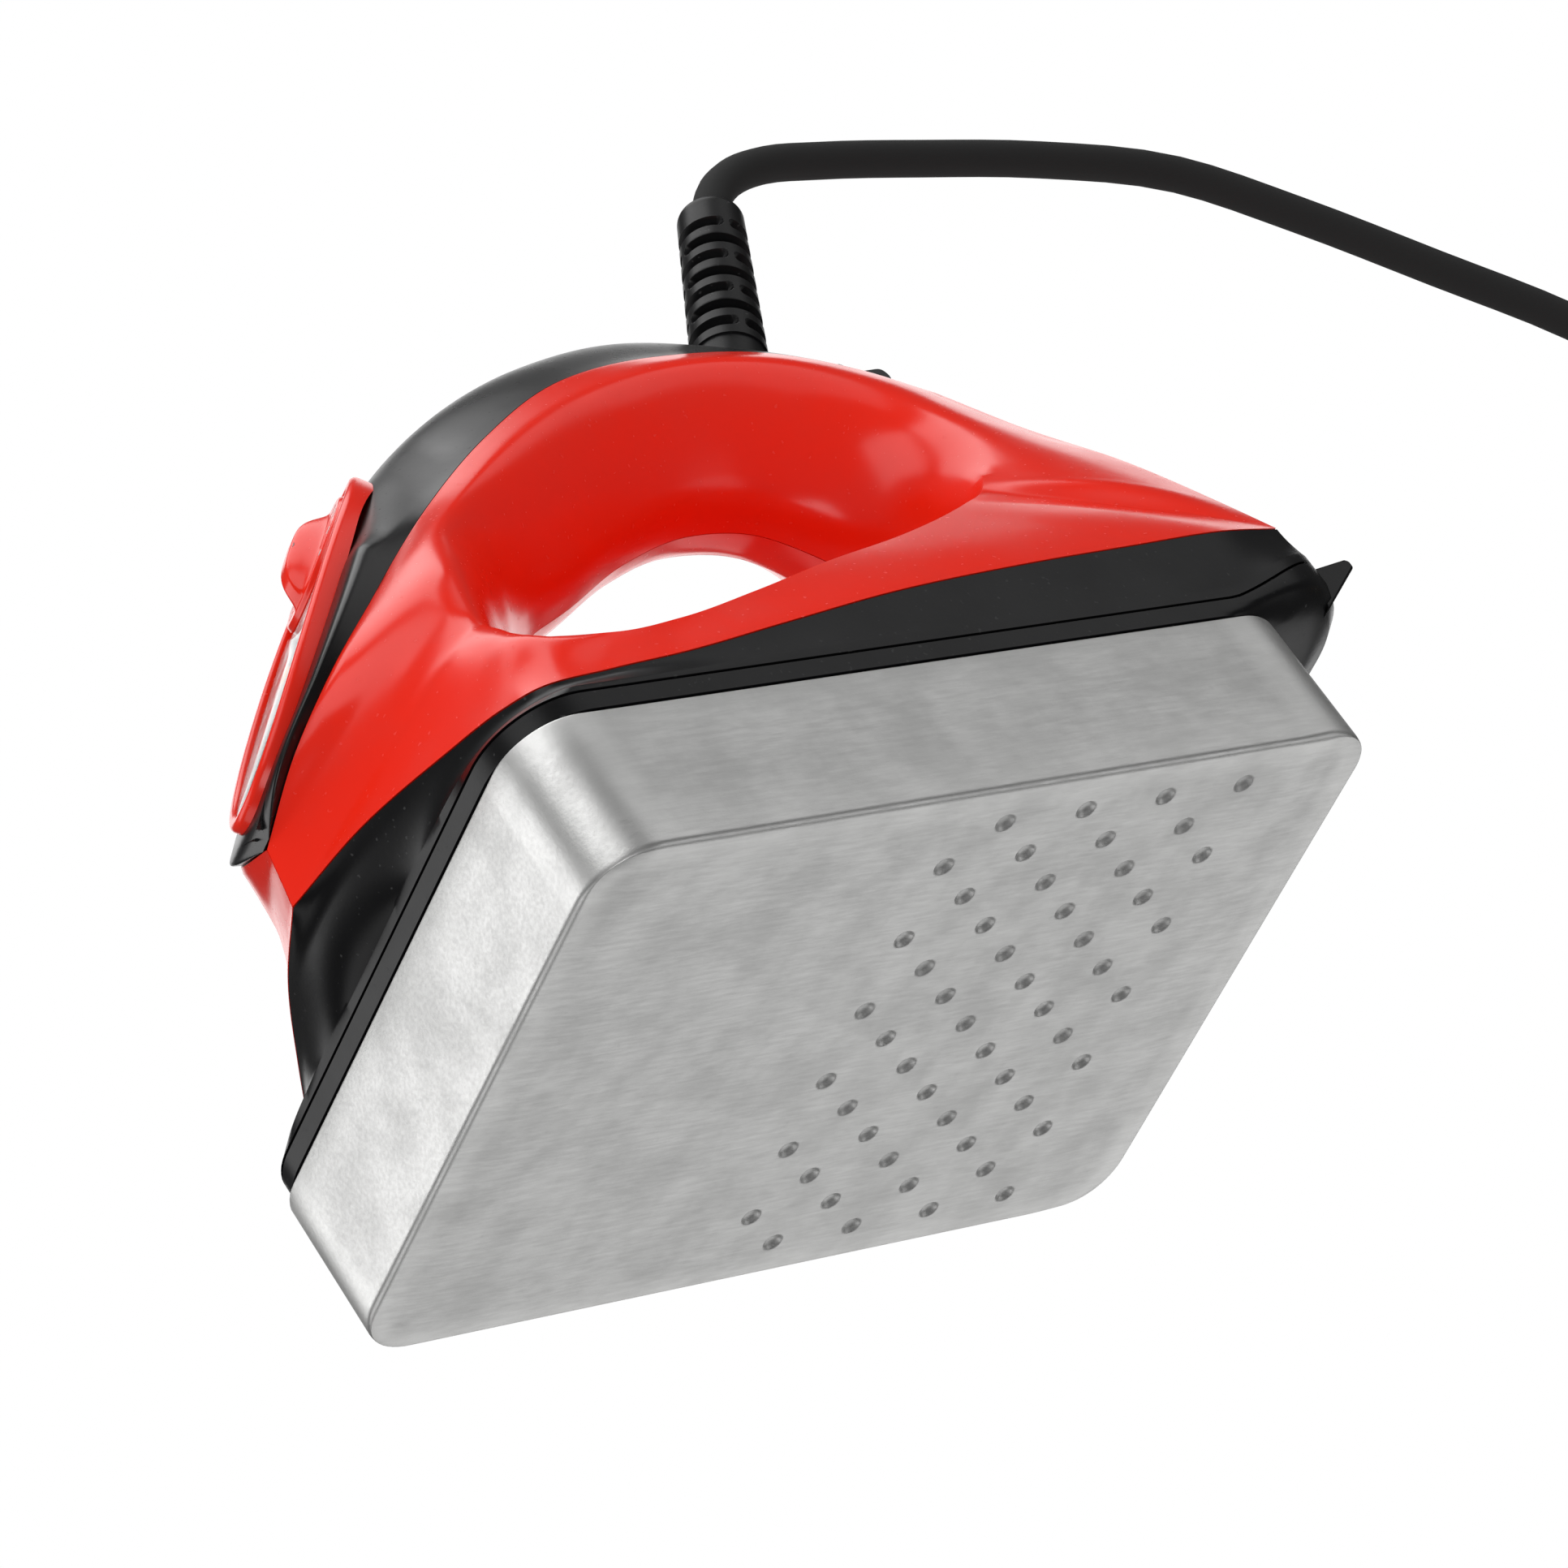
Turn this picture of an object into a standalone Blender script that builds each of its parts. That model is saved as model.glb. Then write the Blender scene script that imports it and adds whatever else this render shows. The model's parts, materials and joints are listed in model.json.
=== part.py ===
"""Waxing iron: an aluminium sole plate under a hollow plastic body with a handle.

The sole face lies at z = 0, +X points to the heel and the cord, and +Y to the far side.
All lengths are in metres. The body is lofted through four rails that run round the
finger opening: the opening's edge on the middle plane, the rim, the seam of the shell,
and what lies beyond the seam (the crown, the heel or the lip over the plate).
"""

import math

import bmesh
import bpy
import numpy as np
from mathutils import Matrix

MM = 0.001
GAP = 0.3 * MM  # between pieces that touch

# --- Driving dimensions -----------------------------------------------------------
PLATE_LENGTH = 150 * MM
PLATE_WIDTH = 112 * MM
PLATE_THICKNESS = 27 * MM
PLATE_CORNER = 14 * MM
SOLE_FILLET = 2.3 * MM
PLATE_WALL = 7 * MM
PLATE_FLOOR = 9 * MM
POCKET_CORNER = 9 * MM
END_BEVEL_RISE = 0.6 * MM
TOE_BEVEL_WIDTH = 9 * MM
HEEL_BEVEL_WIDTH = 12.5 * MM
DIMPLE_DIAMETER = 3.0 * MM
DIMPLE_DEPTH = 0.8 * MM
DIMPLE_PITCH = 16 * MM
DIMPLE_ROWS = 13
DIMPLES_IN_ROW = 4
DIMPLE_FIRST_X = 51 * MM

RING_HEIGHT = 4 * MM
RING_WALL = 5 * MM
HEEL_RISE = 11.5 * MM
HEEL_OVERHANG = 24 * MM
HEEL_CORNER = 20 * MM
HEEL_EDGE = 3 * MM
HEEL_FOOT_WIDTH = 5 * MM
HEEL_FOOT_INSET = 6 * MM  # from the body's side to the foot's outer face
HEEL_FOOT_REACH = 2.4 * MM  # behind the heel

BODY_LENGTH, BODY_WIDTH = PLATE_LENGTH, PLATE_WIDTH  # the lip is flush with the plate
BODY_HEIGHT = 115.2 * MM
SHELL_WALL = 2.4 * MM
SKIRT_WALL = 2.4 * MM

FACE_LENGTH = 91 * MM
FACE_WIDTH = 39.4 * MM
BEZEL_RIM_HEIGHT = 2.6 * MM
BEZEL_CROWN = 2.4 * MM
BEZEL_RIM_WIDTH = 4 * MM
BEZEL_FLOOR = 1.6 * MM
BEZEL_SEAT = 0.75 * MM
BEZEL_DIP = 1 * MM
PANEL_THICKNESS = 0.9 * MM
KNOB_OFFSET = 21 * MM
KNOB_DIAMETER = 26.4 * MM
KNOB_DISC = 1.6 * MM
GRIP_HEIGHT = 5.6 * MM
GRIP_WIDTH = 7.4 * MM
SHAFT_DIAMETER = 4 * MM
SHAFT_SINK = 1.8 * MM
POT_DIAMETER = 16 * MM
POT_HEIGHT = 7 * MM
BOARD_LENGTH = 70 * MM
BOARD_WIDTH = 25 * MM
BOARD_THICKNESS = 1.6 * MM
SPACER_INSET = 4 * MM
SPACER_OFFSET = 5 * MM
LED_DIAMETER = 5 * MM
LED_OFFSET = -8 * MM
SMALL_SCREW = 2.4 * MM

SWITCH_LENGTH = 14.4 * MM
SWITCH_WIDTH = 9 * MM
SWITCH_DEPTH = 11 * MM
SWITCH_WALL = 1 * MM
ROCKER_RADIUS = 5.6 * MM
ROCKER_DIP = 2.2 * MM
ROCKER_WING = 4.6 * MM
ROCKER_SINK = 0.4 * MM
ROCKER_TILT = math.radians(7.5)
BLADE_SIZE = (0.8 * MM, 4.8 * MM, 8 * MM)

GLAND_DIAMETER = 13.4 * MM
GLAND_TIP_DIAMETER = 10.4 * MM
GLAND_LENGTH = 39.9 * MM
GLAND_TILT = math.radians(26.5)
GLAND_NECK = 12.8 * MM
GLAND_FLANGE = 15 * MM
GLAND_FLANGE_DEPTH = 9.5 * MM
GLAND_FLANGE_THICKNESS = 2.5 * MM
SLOT_ROWS = 7
SLOT_FIRST = 4.5 * MM
SLOT_PITCH = 4.6 * MM
SLOT_WIDTH = 1.9 * MM
SLOT_DEPTH = 2.6 * MM

CORD_DIAMETER = 6.8 * MM
CORD_LENGTH_INSIDE = 11 * MM
CLAMP_SIZE = (16 * MM, 16 * MM, 6 * MM)
COIL_CENTRE = (290 * MM, 47.7 * MM)
COIL_INNER, COIL_OUTER = 23.9 * MM, 51.1 * MM
COIL_LAYERS = 2
PLUG_DIAMETER = 37 * MM
PLUG_LENGTH = 42 * MM
PIN_DIAMETER = 4.8 * MM
PIN_LENGTH = 19 * MM
PIN_PITCH = 19 * MM
CLIP_WIDTH = 8 * MM
CLIP_LENGTH = 14 * MM
CLIP_THICKNESS = 1 * MM
SUPPLY_LEAD_DIAMETER = 5 * MM
BOARD_LEAD_DIAMETER = 3 * MM

HEATER_DIAMETER = 8 * MM
HEATER_BEND = 17 * MM
HEATER_REACH = 40 * MM
HEATER_SETBACK = 14 * MM
HEATER_RISE = 12 * MM
HEATER_ELBOW = 6 * MM
ELEMENT_CLAMP = (8 * MM, 48 * MM, 2 * MM)
ELEMENT_CLAMP_X = 6 * MM
SENSOR_X = -14 * MM
FUSE_X = 30 * MM
SENSOR_DIAMETER = 14 * MM
SENSOR_HEIGHT = 6 * MM
FUSE_DIAMETER = 4 * MM
FUSE_LENGTH = 12 * MM
SHIELD_THICKNESS = 0.8 * MM
SHIELD_INSET = 5.6 * MM
CHASSIS_THICKNESS = 1.5 * MM
CHASSIS_INSET = 4.2 * MM
CHASSIS_TOE_INSET, CHASSIS_HEEL_INSET = 8 * MM, 10 * MM
SCREW_DIAMETER = 4 * MM
SCREW_HEAD = 7.5 * MM
HEAD_HEIGHT = 3 * MM
SPACER_DIAMETER = 11 * MM
TERMINAL_SIZE = (30 * MM, 16 * MM, 12 * MM)
TERMINAL_X = 42 * MM

# --- The drawing of the body ------------------------------------------------------
# Each station gives the opening's edge (x, z), the rim, the seam and the point beyond
# the seam (x, y, z each) in millimetres on a body of DRAWN size, then how crisp the rim
# is and whether the seam turns a corner there. They run from the heel's lower corner
# forward along the skirt, up the nose, over the handle and down the hip.
DRAWN_LENGTH, DRAWN_WIDTH, DRAWN_HEIGHT, DRAWN_FOOT = 150, 112, 115.2, 31
STATIONS = (
    ((59, 80.5), (57, -35.2, 78.5), (89, -52.5, 47), (91, -54, 31), 1, 1),
    ((53, 76.5), (49, -38.5, 73.5), (74, -56, 45), (74, -56, 31), 1, 0),
    ((43, 71.3), (38, -41.8, 68), (54, -56, 44.5), (54, -56, 31), 1, 0),
    ((29, 66.3), (25, -44.7, 62.8), (33, -56, 43.8), (33, -56, 31), 1, 0),
    ((10, 61.2), (5, -48.2, 56.5), (5, -55.8, 42), (5, -56, 31), 1, 0),
    ((-11, 57.8), (-14, -50.6, 50.4), (-18, -55.6, 39), (-18, -56, 31), 1, 0),
    ((-26, 55.6), (-32, -52.3, 45.6), (-38, -55.3, 36.4), (-38, -56, 31), 1, 0),
    ((-36, 54.4), (-46, -53, 44), (-52, -54.2, 36), (-55, -55, 31), 1, 0),
    ((-39, 55.2), (-54, -51.5, 46.5), (-63, -51, 37), (-69, -53, 31), 0.8, 0),
    ((-38.6, 57.2), (-57, -49, 50.5), (-65.5, -45, 39.2), (-72, -44, 31), 0.5, 0),
    ((-38, 59), (-57.6, -46.2, 54), (-70.5, -33.5, 41.5), (-75, -30, 31), 0.3, 0),
    ((-37, 61), (-57.2, -44.4, 58), (-76, -17.2, 45.2), (-75, -14, 31), 0.1, 0),
    ((-36.2, 62.5), (-56.4, -42.9, 61.5), (-80.7, 0, 46.6), (-80.7, 12, 46.2), 0, 1),
    ((-35, 64.5), (-55.3, -41.3, 65.5), (-80.7, 0, 56.3), (-80.7, 12, 56), 0, 1),
    ((-33.5, 67), (-53.6, -39.9, 70), (-76.5, -12, 63.5), (-79, 0, 63.7), 0, 0),
    ((-31, 71), (-51, -38, 76), (-70.5, -18.5, 71.5), (-71, 0, 72.9), 0, 0),
    ((-27, 76.5), (-46, -34.5, 83), (-60, -21, 81.8), (-60, 0, 85.6), 0, 0),
    ((-21, 83.5), (-39, -29.5, 91.5), (-48, -21.5, 92.4), (-46, 0, 101.8), 0, 0),
    ((-13, 90), (-28, -24.8, 99.5), (-34, -21.3, 103.4), (-27.3, 0, 123.4), 0, 0),
    ((0, 96.2), (-10, -21.5, 108.5), (-13, -20, 117), (-8, 0, 136.7), 0, 0),
    ((16, 104.2), (12, -19, 120), (13, -16.3, 131.5), (17, 0, 147.2), 0, 0),
    ((33, 108.4), (36, -18, 128), (39, -13, 137.5), (41, 0, 151.2), 0, 0),
    ((45, 106.5), (54, -18.4, 124.5), (60, -12.5, 136), (62, 0, 146.3), 0, 0),
    ((52.5, 101), (63, -19.6, 116.5), (76, -12, 130.5), (79, 0, 139.5), 0, 0),
    ((57.5, 95.5), (66, -22.3, 108), (88, -12, 123), (96, 0, 127), 0, 1),
    ((61.2, 89.5), (66.6, -26.8, 97.5), (92.5, -18, 108), (101, 0, 109), 0.2, 0),
    ((62.2, 85.5), (64, -31, 88), (93, -32, 84), (102, 0, 84), 0.6, 0),
    ((61, 82.3), (60.5, -33.8, 82), (91.5, -44, 62), (101.5, 0, 62), 1, 0),
)
CHIN, RING_TIP, SPINE_END = 12, 13, 24
# How flat the shell runs from the rim to its seam, by station: flat beside the face.
FLATNESS = ((0, 0), (8, 0), (10, 0.75), (15.5, 0.75), (18, 0), (28, 0))
# How far the shell turns towards what lies beyond its seam, by station.
SEAM_EASE = ((0, 0.3), (1, 0.6), (6, 0.6), (8, 0.1), (11, 0.1), (12, 1), (24, 1), (24.1, 0.3), (28, 0.3))
STEPS_BETWEEN = 2
ACROSS_INNER, ACROSS_OUTER = 4, 4


def placed(points):
    """Drawn millimetres as metres on the body's real size, above the base ring."""
    points = np.asarray(points, float)
    size = np.array([BODY_LENGTH / DRAWN_LENGTH, BODY_WIDTH / DRAWN_WIDTH, BODY_HEIGHT / DRAWN_HEIGHT])
    foot = np.array([0, 0, PLATE_THICKNESS + RING_HEIGHT])
    return (points - np.array([0, 0, DRAWN_FOOT])) * size + foot


def unit(vectors):
    return vectors / np.maximum(np.linalg.norm(vectors, axis=-1, keepdims=True), 1e-12)


def hermite(start, end, leave, arrive, t):
    """Cubic from start to end, with the tangents leave and arrive."""
    return (
        (2 * t**3 - 3 * t**2 + 1) * start
        + (t**3 - 2 * t**2 + t) * leave
        + (3 * t**2 - 2 * t**3) * end
        + (t**3 - t**2) * arrive
    )


def ring_through(points, steps, corners=None):
    """A closed smooth curve through the points, with one-sided tangents at corners."""
    after, before = np.roll(points, -1, 0), np.roll(points, 1, 0)
    ahead = np.linalg.norm(after - points, axis=1, keepdims=True)
    behind = np.linalg.norm(points - before, axis=1, keepdims=True)
    out, back = (after - points) / ahead, (points - before) / behind
    leave = (out * behind + back * ahead) / (ahead + behind)
    arrive = leave.copy()
    if corners is not None:
        leave[corners], arrive[corners] = out[corners], back[corners]
    t = (np.arange(steps) / steps)[None, :, None]
    curve = hermite(
        points[:, None], after[:, None],
        (ahead * leave)[:, None], (ahead * np.roll(arrive, -1, 0))[:, None], t,
    )
    return curve.reshape(-1, points.shape[1])


class Body:
    """The rails of the body, sampled at the same parameter."""

    def __init__(self, steps):
        corners = np.array([station[5] for station in STATIONS], bool)
        hole = np.array([(s[0][0], 0, s[0][1]) for s in STATIONS], float)
        rim, seam, beyond = (np.array([s[k] for s in STATIONS], float) for k in (1, 2, 3))
        self.steps = steps
        self.hole = placed(ring_through(hole, steps))
        self.rim = placed(ring_through(rim, steps))
        self.seam = placed(ring_through(seam, steps, corners))
        self.beyond = placed(ring_through(beyond, steps, corners))
        crisp = [s[4] for s in STATIONS]
        at = np.arange(len(STATIONS) * steps) / steps
        self.crisp = np.interp(at, np.arange(len(STATIONS) + 1), [*crisp, crisp[0]])[:, None]
        self.flat = np.interp(at, *zip(*FLATNESS))[:, None]

    def seam_tangent(self):
        """The direction in which the shell's surface crosses the seam."""
        straight = unit(self.seam - self.rim)
        onward = unit(self.beyond - self.rim)
        at = np.arange(len(self.seam)) / self.steps
        share = np.interp(at, *zip(*SEAM_EASE))[:, None]
        return unit(straight * (1 - share) + onward * share)


# --- Mesh helpers -----------------------------------------------------------------
def material(name, colour, roughness, metallic=0.0):
    made = bpy.data.materials.get(name)
    if made is None:
        made = bpy.data.materials.new(name)
        made.use_nodes = True
        shader = made.node_tree.nodes["Principled BSDF"]
        shader.inputs["Base Color"].default_value = (*colour, 1)
        shader.inputs["Roughness"].default_value = roughness
        shader.inputs["Metallic"].default_value = metallic
    return made


RED = ("red_abs", (0.78, 0.028, 0.015), 0.25)
BLACK = ("black_plastic", (0.02, 0.02, 0.022), 0.4)
ALUMINIUM = ("cast_aluminium", (0.62, 0.62, 0.61), 0.42, 1.0)
STEEL = ("zinc_plated_steel", (0.55, 0.56, 0.58), 0.3, 1.0)
BRASS = ("brass", (0.75, 0.55, 0.25), 0.3, 1.0)
RUBBER = ("black_rubber", (0.015, 0.015, 0.015), 0.6)
CERAMIC = ("white_ceramic", (0.8, 0.79, 0.75), 0.6)
LAMINATE = ("circuit_laminate", (0.02, 0.16, 0.06), 0.4)
CLEAR = ("clear_panel", (0.55, 0.56, 0.58), 0.1)
LENS = ("amber_lens", (0.9, 0.35, 0.05), 0.2)
COPPER = ("insulated_wire", (0.45, 0.1, 0.06), 0.5)


def add(name, points, faces, finish, fix_normals=True):
    mesh = bpy.data.meshes.new(name)
    mesh.from_pydata([tuple(p) for p in np.asarray(points, float)], [], faces)
    if fix_normals:
        work = bmesh.new()
        work.from_mesh(mesh)
        bmesh.ops.recalc_face_normals(work, faces=work.faces)
        work.to_mesh(mesh)
        work.free()
    mesh.shade_smooth()
    mesh.set_sharp_from_angle(angle=math.radians(32))
    mesh.materials.append(material(*finish))
    thing = bpy.data.objects.new(name, mesh)
    bpy.context.scene.collection.objects.link(thing)
    return thing


def grid_faces(rows, columns, wrap_rows=False, wrap_columns=False):
    """Quads over a grid of points, numbered row by row."""
    faces = []
    for r in range(rows if wrap_rows else rows - 1):
        for c in range(columns if wrap_columns else columns - 1):
            below, right = (r + 1) % rows, (c + 1) % columns
            faces.append((r * columns + c, r * columns + right, below * columns + right, below * columns + c))
    return faces


def lofted(name, loops, finish, closed=False):
    """A solid through closed loops of equally many points, capped at both ends or run round."""
    loops = np.asarray(loops, float)
    rows, columns = loops.shape[:2]
    faces = grid_faces(rows, columns, wrap_rows=closed, wrap_columns=True)
    if not closed:
        faces.append(tuple(range(columns))[::-1])
        faces.append(tuple((rows - 1) * columns + c for c in range(columns)))
    return add(name, loops.reshape(-1, 3), faces, finish)


def outline(low, high, half_width, low_corner, high_corner, steps=5):
    """A rounded rectangle in plan from x = low to x = high, as points (x, y)."""
    points = []
    for x, y, r, start in (
        (high - high_corner, half_width - high_corner, high_corner, 0),
        (low + low_corner, half_width - low_corner, low_corner, 90),
        (low + low_corner, low_corner - half_width, low_corner, 180),
        (high - high_corner, high_corner - half_width, high_corner, 270),
    ):
        for step in range(steps + 1):
            a = math.radians(start + 90 * step / steps)
            points.append((x + r * math.cos(a), y + r * math.sin(a)))
    return np.array(points)


def at_height(plan, z):
    return np.column_stack([plan, np.full(len(plan), z)])


def circle(radius, sides):
    a = np.arange(sides) * (2 * math.pi / sides)
    return np.column_stack([radius * np.cos(a), radius * np.sin(a)])


def turned(name, profile, finish, sides=24, matrix=None):
    """A solid turned about Z from (radius, height) pairs, capped where the profile ends."""
    loops = [at_height(circle(radius, sides), height) for radius, height in profile]
    thing = lofted(name, loops, finish)
    if matrix is not None:
        thing.data.transform(matrix)
    return thing


def turned_ring(name, profile, finish, sides=24, matrix=None):
    """A ring turned about Z from a closed profile of (radius, height) pairs."""
    loops = [at_height(circle(radius, sides), height) for radius, height in profile]
    thing = lofted(name, loops, finish, closed=True)
    if matrix is not None:
        thing.data.transform(matrix)
    return thing


def block(name, size, finish, matrix=None):
    """A box of the given size with its centre at the origin of the matrix."""
    corners = np.array([(x, y) for x, y in ((1, 1), (-1, 1), (-1, -1), (1, -1))]) * np.array(size[:2]) / 2
    thing = lofted(name, [at_height(corners, -size[2] / 2), at_height(corners, size[2] / 2)], finish)
    if matrix is not None:
        thing.data.transform(matrix)
    return thing


def merged(name, things):
    """Joins separate bodies into one node."""
    work = bmesh.new()
    for thing in things:
        work.from_mesh(thing.data)
    mesh = bpy.data.meshes.new(name)
    work.to_mesh(mesh)
    work.free()
    mesh.materials.append(things[0].data.materials[0])
    mesh.shade_smooth()
    mesh.set_sharp_from_angle(angle=math.radians(32))
    for thing in things:
        bpy.data.objects.remove(thing)
    joined = bpy.data.objects.new(name, mesh)
    bpy.context.scene.collection.objects.link(joined)
    return joined


def numbered(name, things):
    """Names each of several like pieces after its kind, counting from 1."""
    for number, thing in enumerate(things, 1):
        thing.name = f"{name}_{number}"


def combine(thing, tool, operation="DIFFERENCE"):
    """Cuts thing with tool, or joins them, and keeps the modifier on the piece."""
    tool.hide_render = True
    tool.display_type = "WIRE"
    tool.name = f"{thing.name}_{operation.lower()}"
    change = thing.modifiers.new(tool.name, "BOOLEAN")
    change.operation = operation
    change.solver = "EXACT"
    change.object = tool
    return thing


def mirrored(points):
    return np.asarray(points) * np.array([1, -1, 1])


# --- Sole plate and what it carries -------------------------------------------------
HALF_LENGTH, HALF_WIDTH = PLATE_LENGTH / 2, PLATE_WIDTH / 2
POCKET_FLOOR = PLATE_FLOOR
PLATE_TOP = PLATE_THICKNESS
SCREW_INSET = 15 * MM
BOSS_DIAMETER = 11 * MM
SCREW_PLACES = [
    (x * (HALF_LENGTH - PLATE_WALL - SCREW_INSET), y * (HALF_WIDTH - PLATE_WALL - SCREW_INSET))
    for x in (1, -1) for y in (1, -1)
]


def plate_plan(inset, corner):
    return outline(-HALF_LENGTH + inset, HALF_LENGTH - inset, HALF_WIDTH - inset, corner, corner)


def make_sole_plate():
    loops = []
    for step in range(4):
        a = math.radians(90 * step / 3)
        inset = SOLE_FILLET * (1 - math.sin(a))
        loops.append(at_height(plate_plan(inset, PLATE_CORNER - inset), SOLE_FILLET * (1 - math.cos(a))))
    loops.append(at_height(plate_plan(0, PLATE_CORNER), PLATE_TOP))
    loops.append(at_height(plate_plan(PLATE_WALL, POCKET_CORNER), PLATE_TOP))
    loops.append(at_height(plate_plan(PLATE_WALL + 1 * MM, POCKET_CORNER - 1 * MM), POCKET_FLOOR))
    plate = lofted("sole_plate", loops, ALUMINIUM)
    for end, width in ((-1, TOE_BEVEL_WIDTH), (1, HEEL_BEVEL_WIDTH)):
        wedge_length = 2 * width
        tilt = math.atan2(END_BEVEL_RISE, width)
        hinge = Matrix.Translation((end * (HALF_LENGTH - width), 0, 0)) @ Matrix.Rotation(-end * tilt, 4, "Y")
        wedge = block(
            "wedge", (wedge_length, PLATE_WIDTH + 20 * MM, 8 * MM), ALUMINIUM,
            hinge @ Matrix.Translation((end * wedge_length / 2, 0, -4 * MM)),
        )
        combine(plate, wedge)
    posts = []
    for x, y in SCREW_PLACES:
        sink = 1 * MM
        post = at_height(circle(BOSS_DIAMETER / 2, 16), 0) + np.array([x, y, 0])
        pilot = at_height(circle(SCREW_DIAMETER / 2 + GAP, 16), 0) + np.array([x, y, 0])
        up = np.array([0, 0, 1])
        bottom, blind = POCKET_FLOOR - sink, POCKET_FLOOR + 6 * MM
        loops = [post + up * bottom, post + up * PLATE_TOP, pilot + up * PLATE_TOP, pilot + up * blind]
        posts.append(lofted("boss", loops, ALUMINIUM))
    combine(plate, merged("bosses", posts), "UNION")
    radius = SCREW_DIAMETER / 2 + GAP
    pilot = ((radius, POCKET_FLOOR - 4 * MM), (radius, POCKET_FLOOR + 2 * MM))
    combine(plate, turned("pilot", pilot, ALUMINIUM, 12, Matrix.Translation((ELEMENT_CLAMP_X, 0, 0))))
    dimples = []
    wide = DIMPLE_DIAMETER / 2
    profile = ((1.24 * wide, -0.5 * MM), (wide, 0), (0.6 * wide, DIMPLE_DEPTH))
    for row in range(DIMPLE_ROWS):
        y = (row - (DIMPLE_ROWS - 1) / 2) * DIMPLE_PITCH / 2
        for place in range(DIMPLES_IN_ROW):
            x = DIMPLE_FIRST_X - place * DIMPLE_PITCH - (row % 2) * DIMPLE_PITCH / 2
            dimples.append(turned("dimple", profile, ALUMINIUM, 6, Matrix.Translation((x, y, 0))))
    combine(plate, merged("dimples", dimples))
    return plate


def tube(name, points, diameter, finish, resolution=2):
    """A round tube along a polyline, with filled ends."""
    path = bpy.data.curves.new(name, "CURVE")
    path.dimensions = "3D"
    path.bevel_depth = diameter / 2
    path.bevel_resolution = resolution
    path.use_fill_caps = True
    line = path.splines.new("POLY")
    line.points.add(len(points) - 1)
    for point, place in zip(line.points, points):
        point.co = (*place, 1)
    path.materials.append(material(*finish))
    thing = bpy.data.objects.new(name, path)
    bpy.context.scene.collection.objects.link(thing)
    return thing


def through(points, count):
    """Points read at even steps along a smooth open curve through the route's own points."""
    points = np.asarray(points, float)
    step = np.linalg.norm(np.diff(points, axis=0), axis=1)
    knots = np.concatenate([[0], np.cumsum(step)])
    slope = np.gradient(points, knots, axis=0)
    fine = []
    for i in range(len(points) - 1):
        t = np.linspace(0, 1, 24, endpoint=False)[:, None]
        fine.append(hermite(points[i], points[i + 1], slope[i] * step[i], slope[i + 1] * step[i], t))
    fine = np.concatenate([*fine, points[-1:]])
    along = np.concatenate([[0], np.cumsum(np.linalg.norm(np.diff(fine, axis=0), axis=1))])
    places = np.linspace(0, along[-1], count)
    return np.column_stack([np.interp(places, along, fine[:, k]) for k in range(3)])


HEATER_Z = POCKET_FLOOR + GAP + HEATER_DIAMETER / 2
HEATER_END_X = HALF_LENGTH - PLATE_WALL - HEATER_SETBACK


def make_heating_element():
    """A hairpin tube on the pocket's floor, whose ends turn up at the heel."""
    side, elbow = HEATER_BEND, HEATER_ELBOW
    points = [(HEATER_END_X, side, HEATER_Z + HEATER_RISE)]
    for a in np.radians([0, 22.5, 45, 67.5, 90]):
        points.append((HEATER_END_X - elbow * (1 - math.cos(a)), side, HEATER_Z + elbow * (1 - math.sin(a))))
    for x in np.linspace(HEATER_END_X - 2 * elbow, -HEATER_REACH + side, 5):
        points.append((x, side, HEATER_Z))
    for a in np.radians(np.arange(15, 91, 15)):
        points.append((-HEATER_REACH + side - side * math.sin(a), side * math.cos(a), HEATER_Z))
    points += [(x, -y, z) for x, y, z in points[-2::-1]]
    return tube("heating_element", points, HEATER_DIAMETER, STEEL)


# --- Shells of the body -------------------------------------------------------------
FINE = 20
STEP = FINE // STEPS_BETWEEN
LAST = len(STATIONS)
RAILS = Body(FINE)
SEAM_TANGENT = RAILS.seam_tangent()
REAR_FOOT = placed((101.5, 0, 46.5))
HIP_DEPTH = 26 * MM
MIDDLE = np.array([1, 0, 1])
ACROSS_COVER = 6


def inward_at_seam():
    """The direction in which the rim faces of neighbouring shells meet along the seam."""
    core = RAILS.seam * np.array([0.6, 0, 1])
    over = slice(RING_TIP * FINE, SPINE_END * FINE + 1)
    core[over] = (RAILS.hole[over] + RAILS.beyond[over] * MIDDLE) / 2
    hips = slice(SPINE_END * FINE + 1, LAST * FINE)
    core[hips] = RAILS.seam[hips] * MIDDLE - np.array([HIP_DEPTH, 0, 0])
    return unit(core - RAILS.seam), core


SEAM_INWARD, CORE = inward_at_seam()


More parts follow.
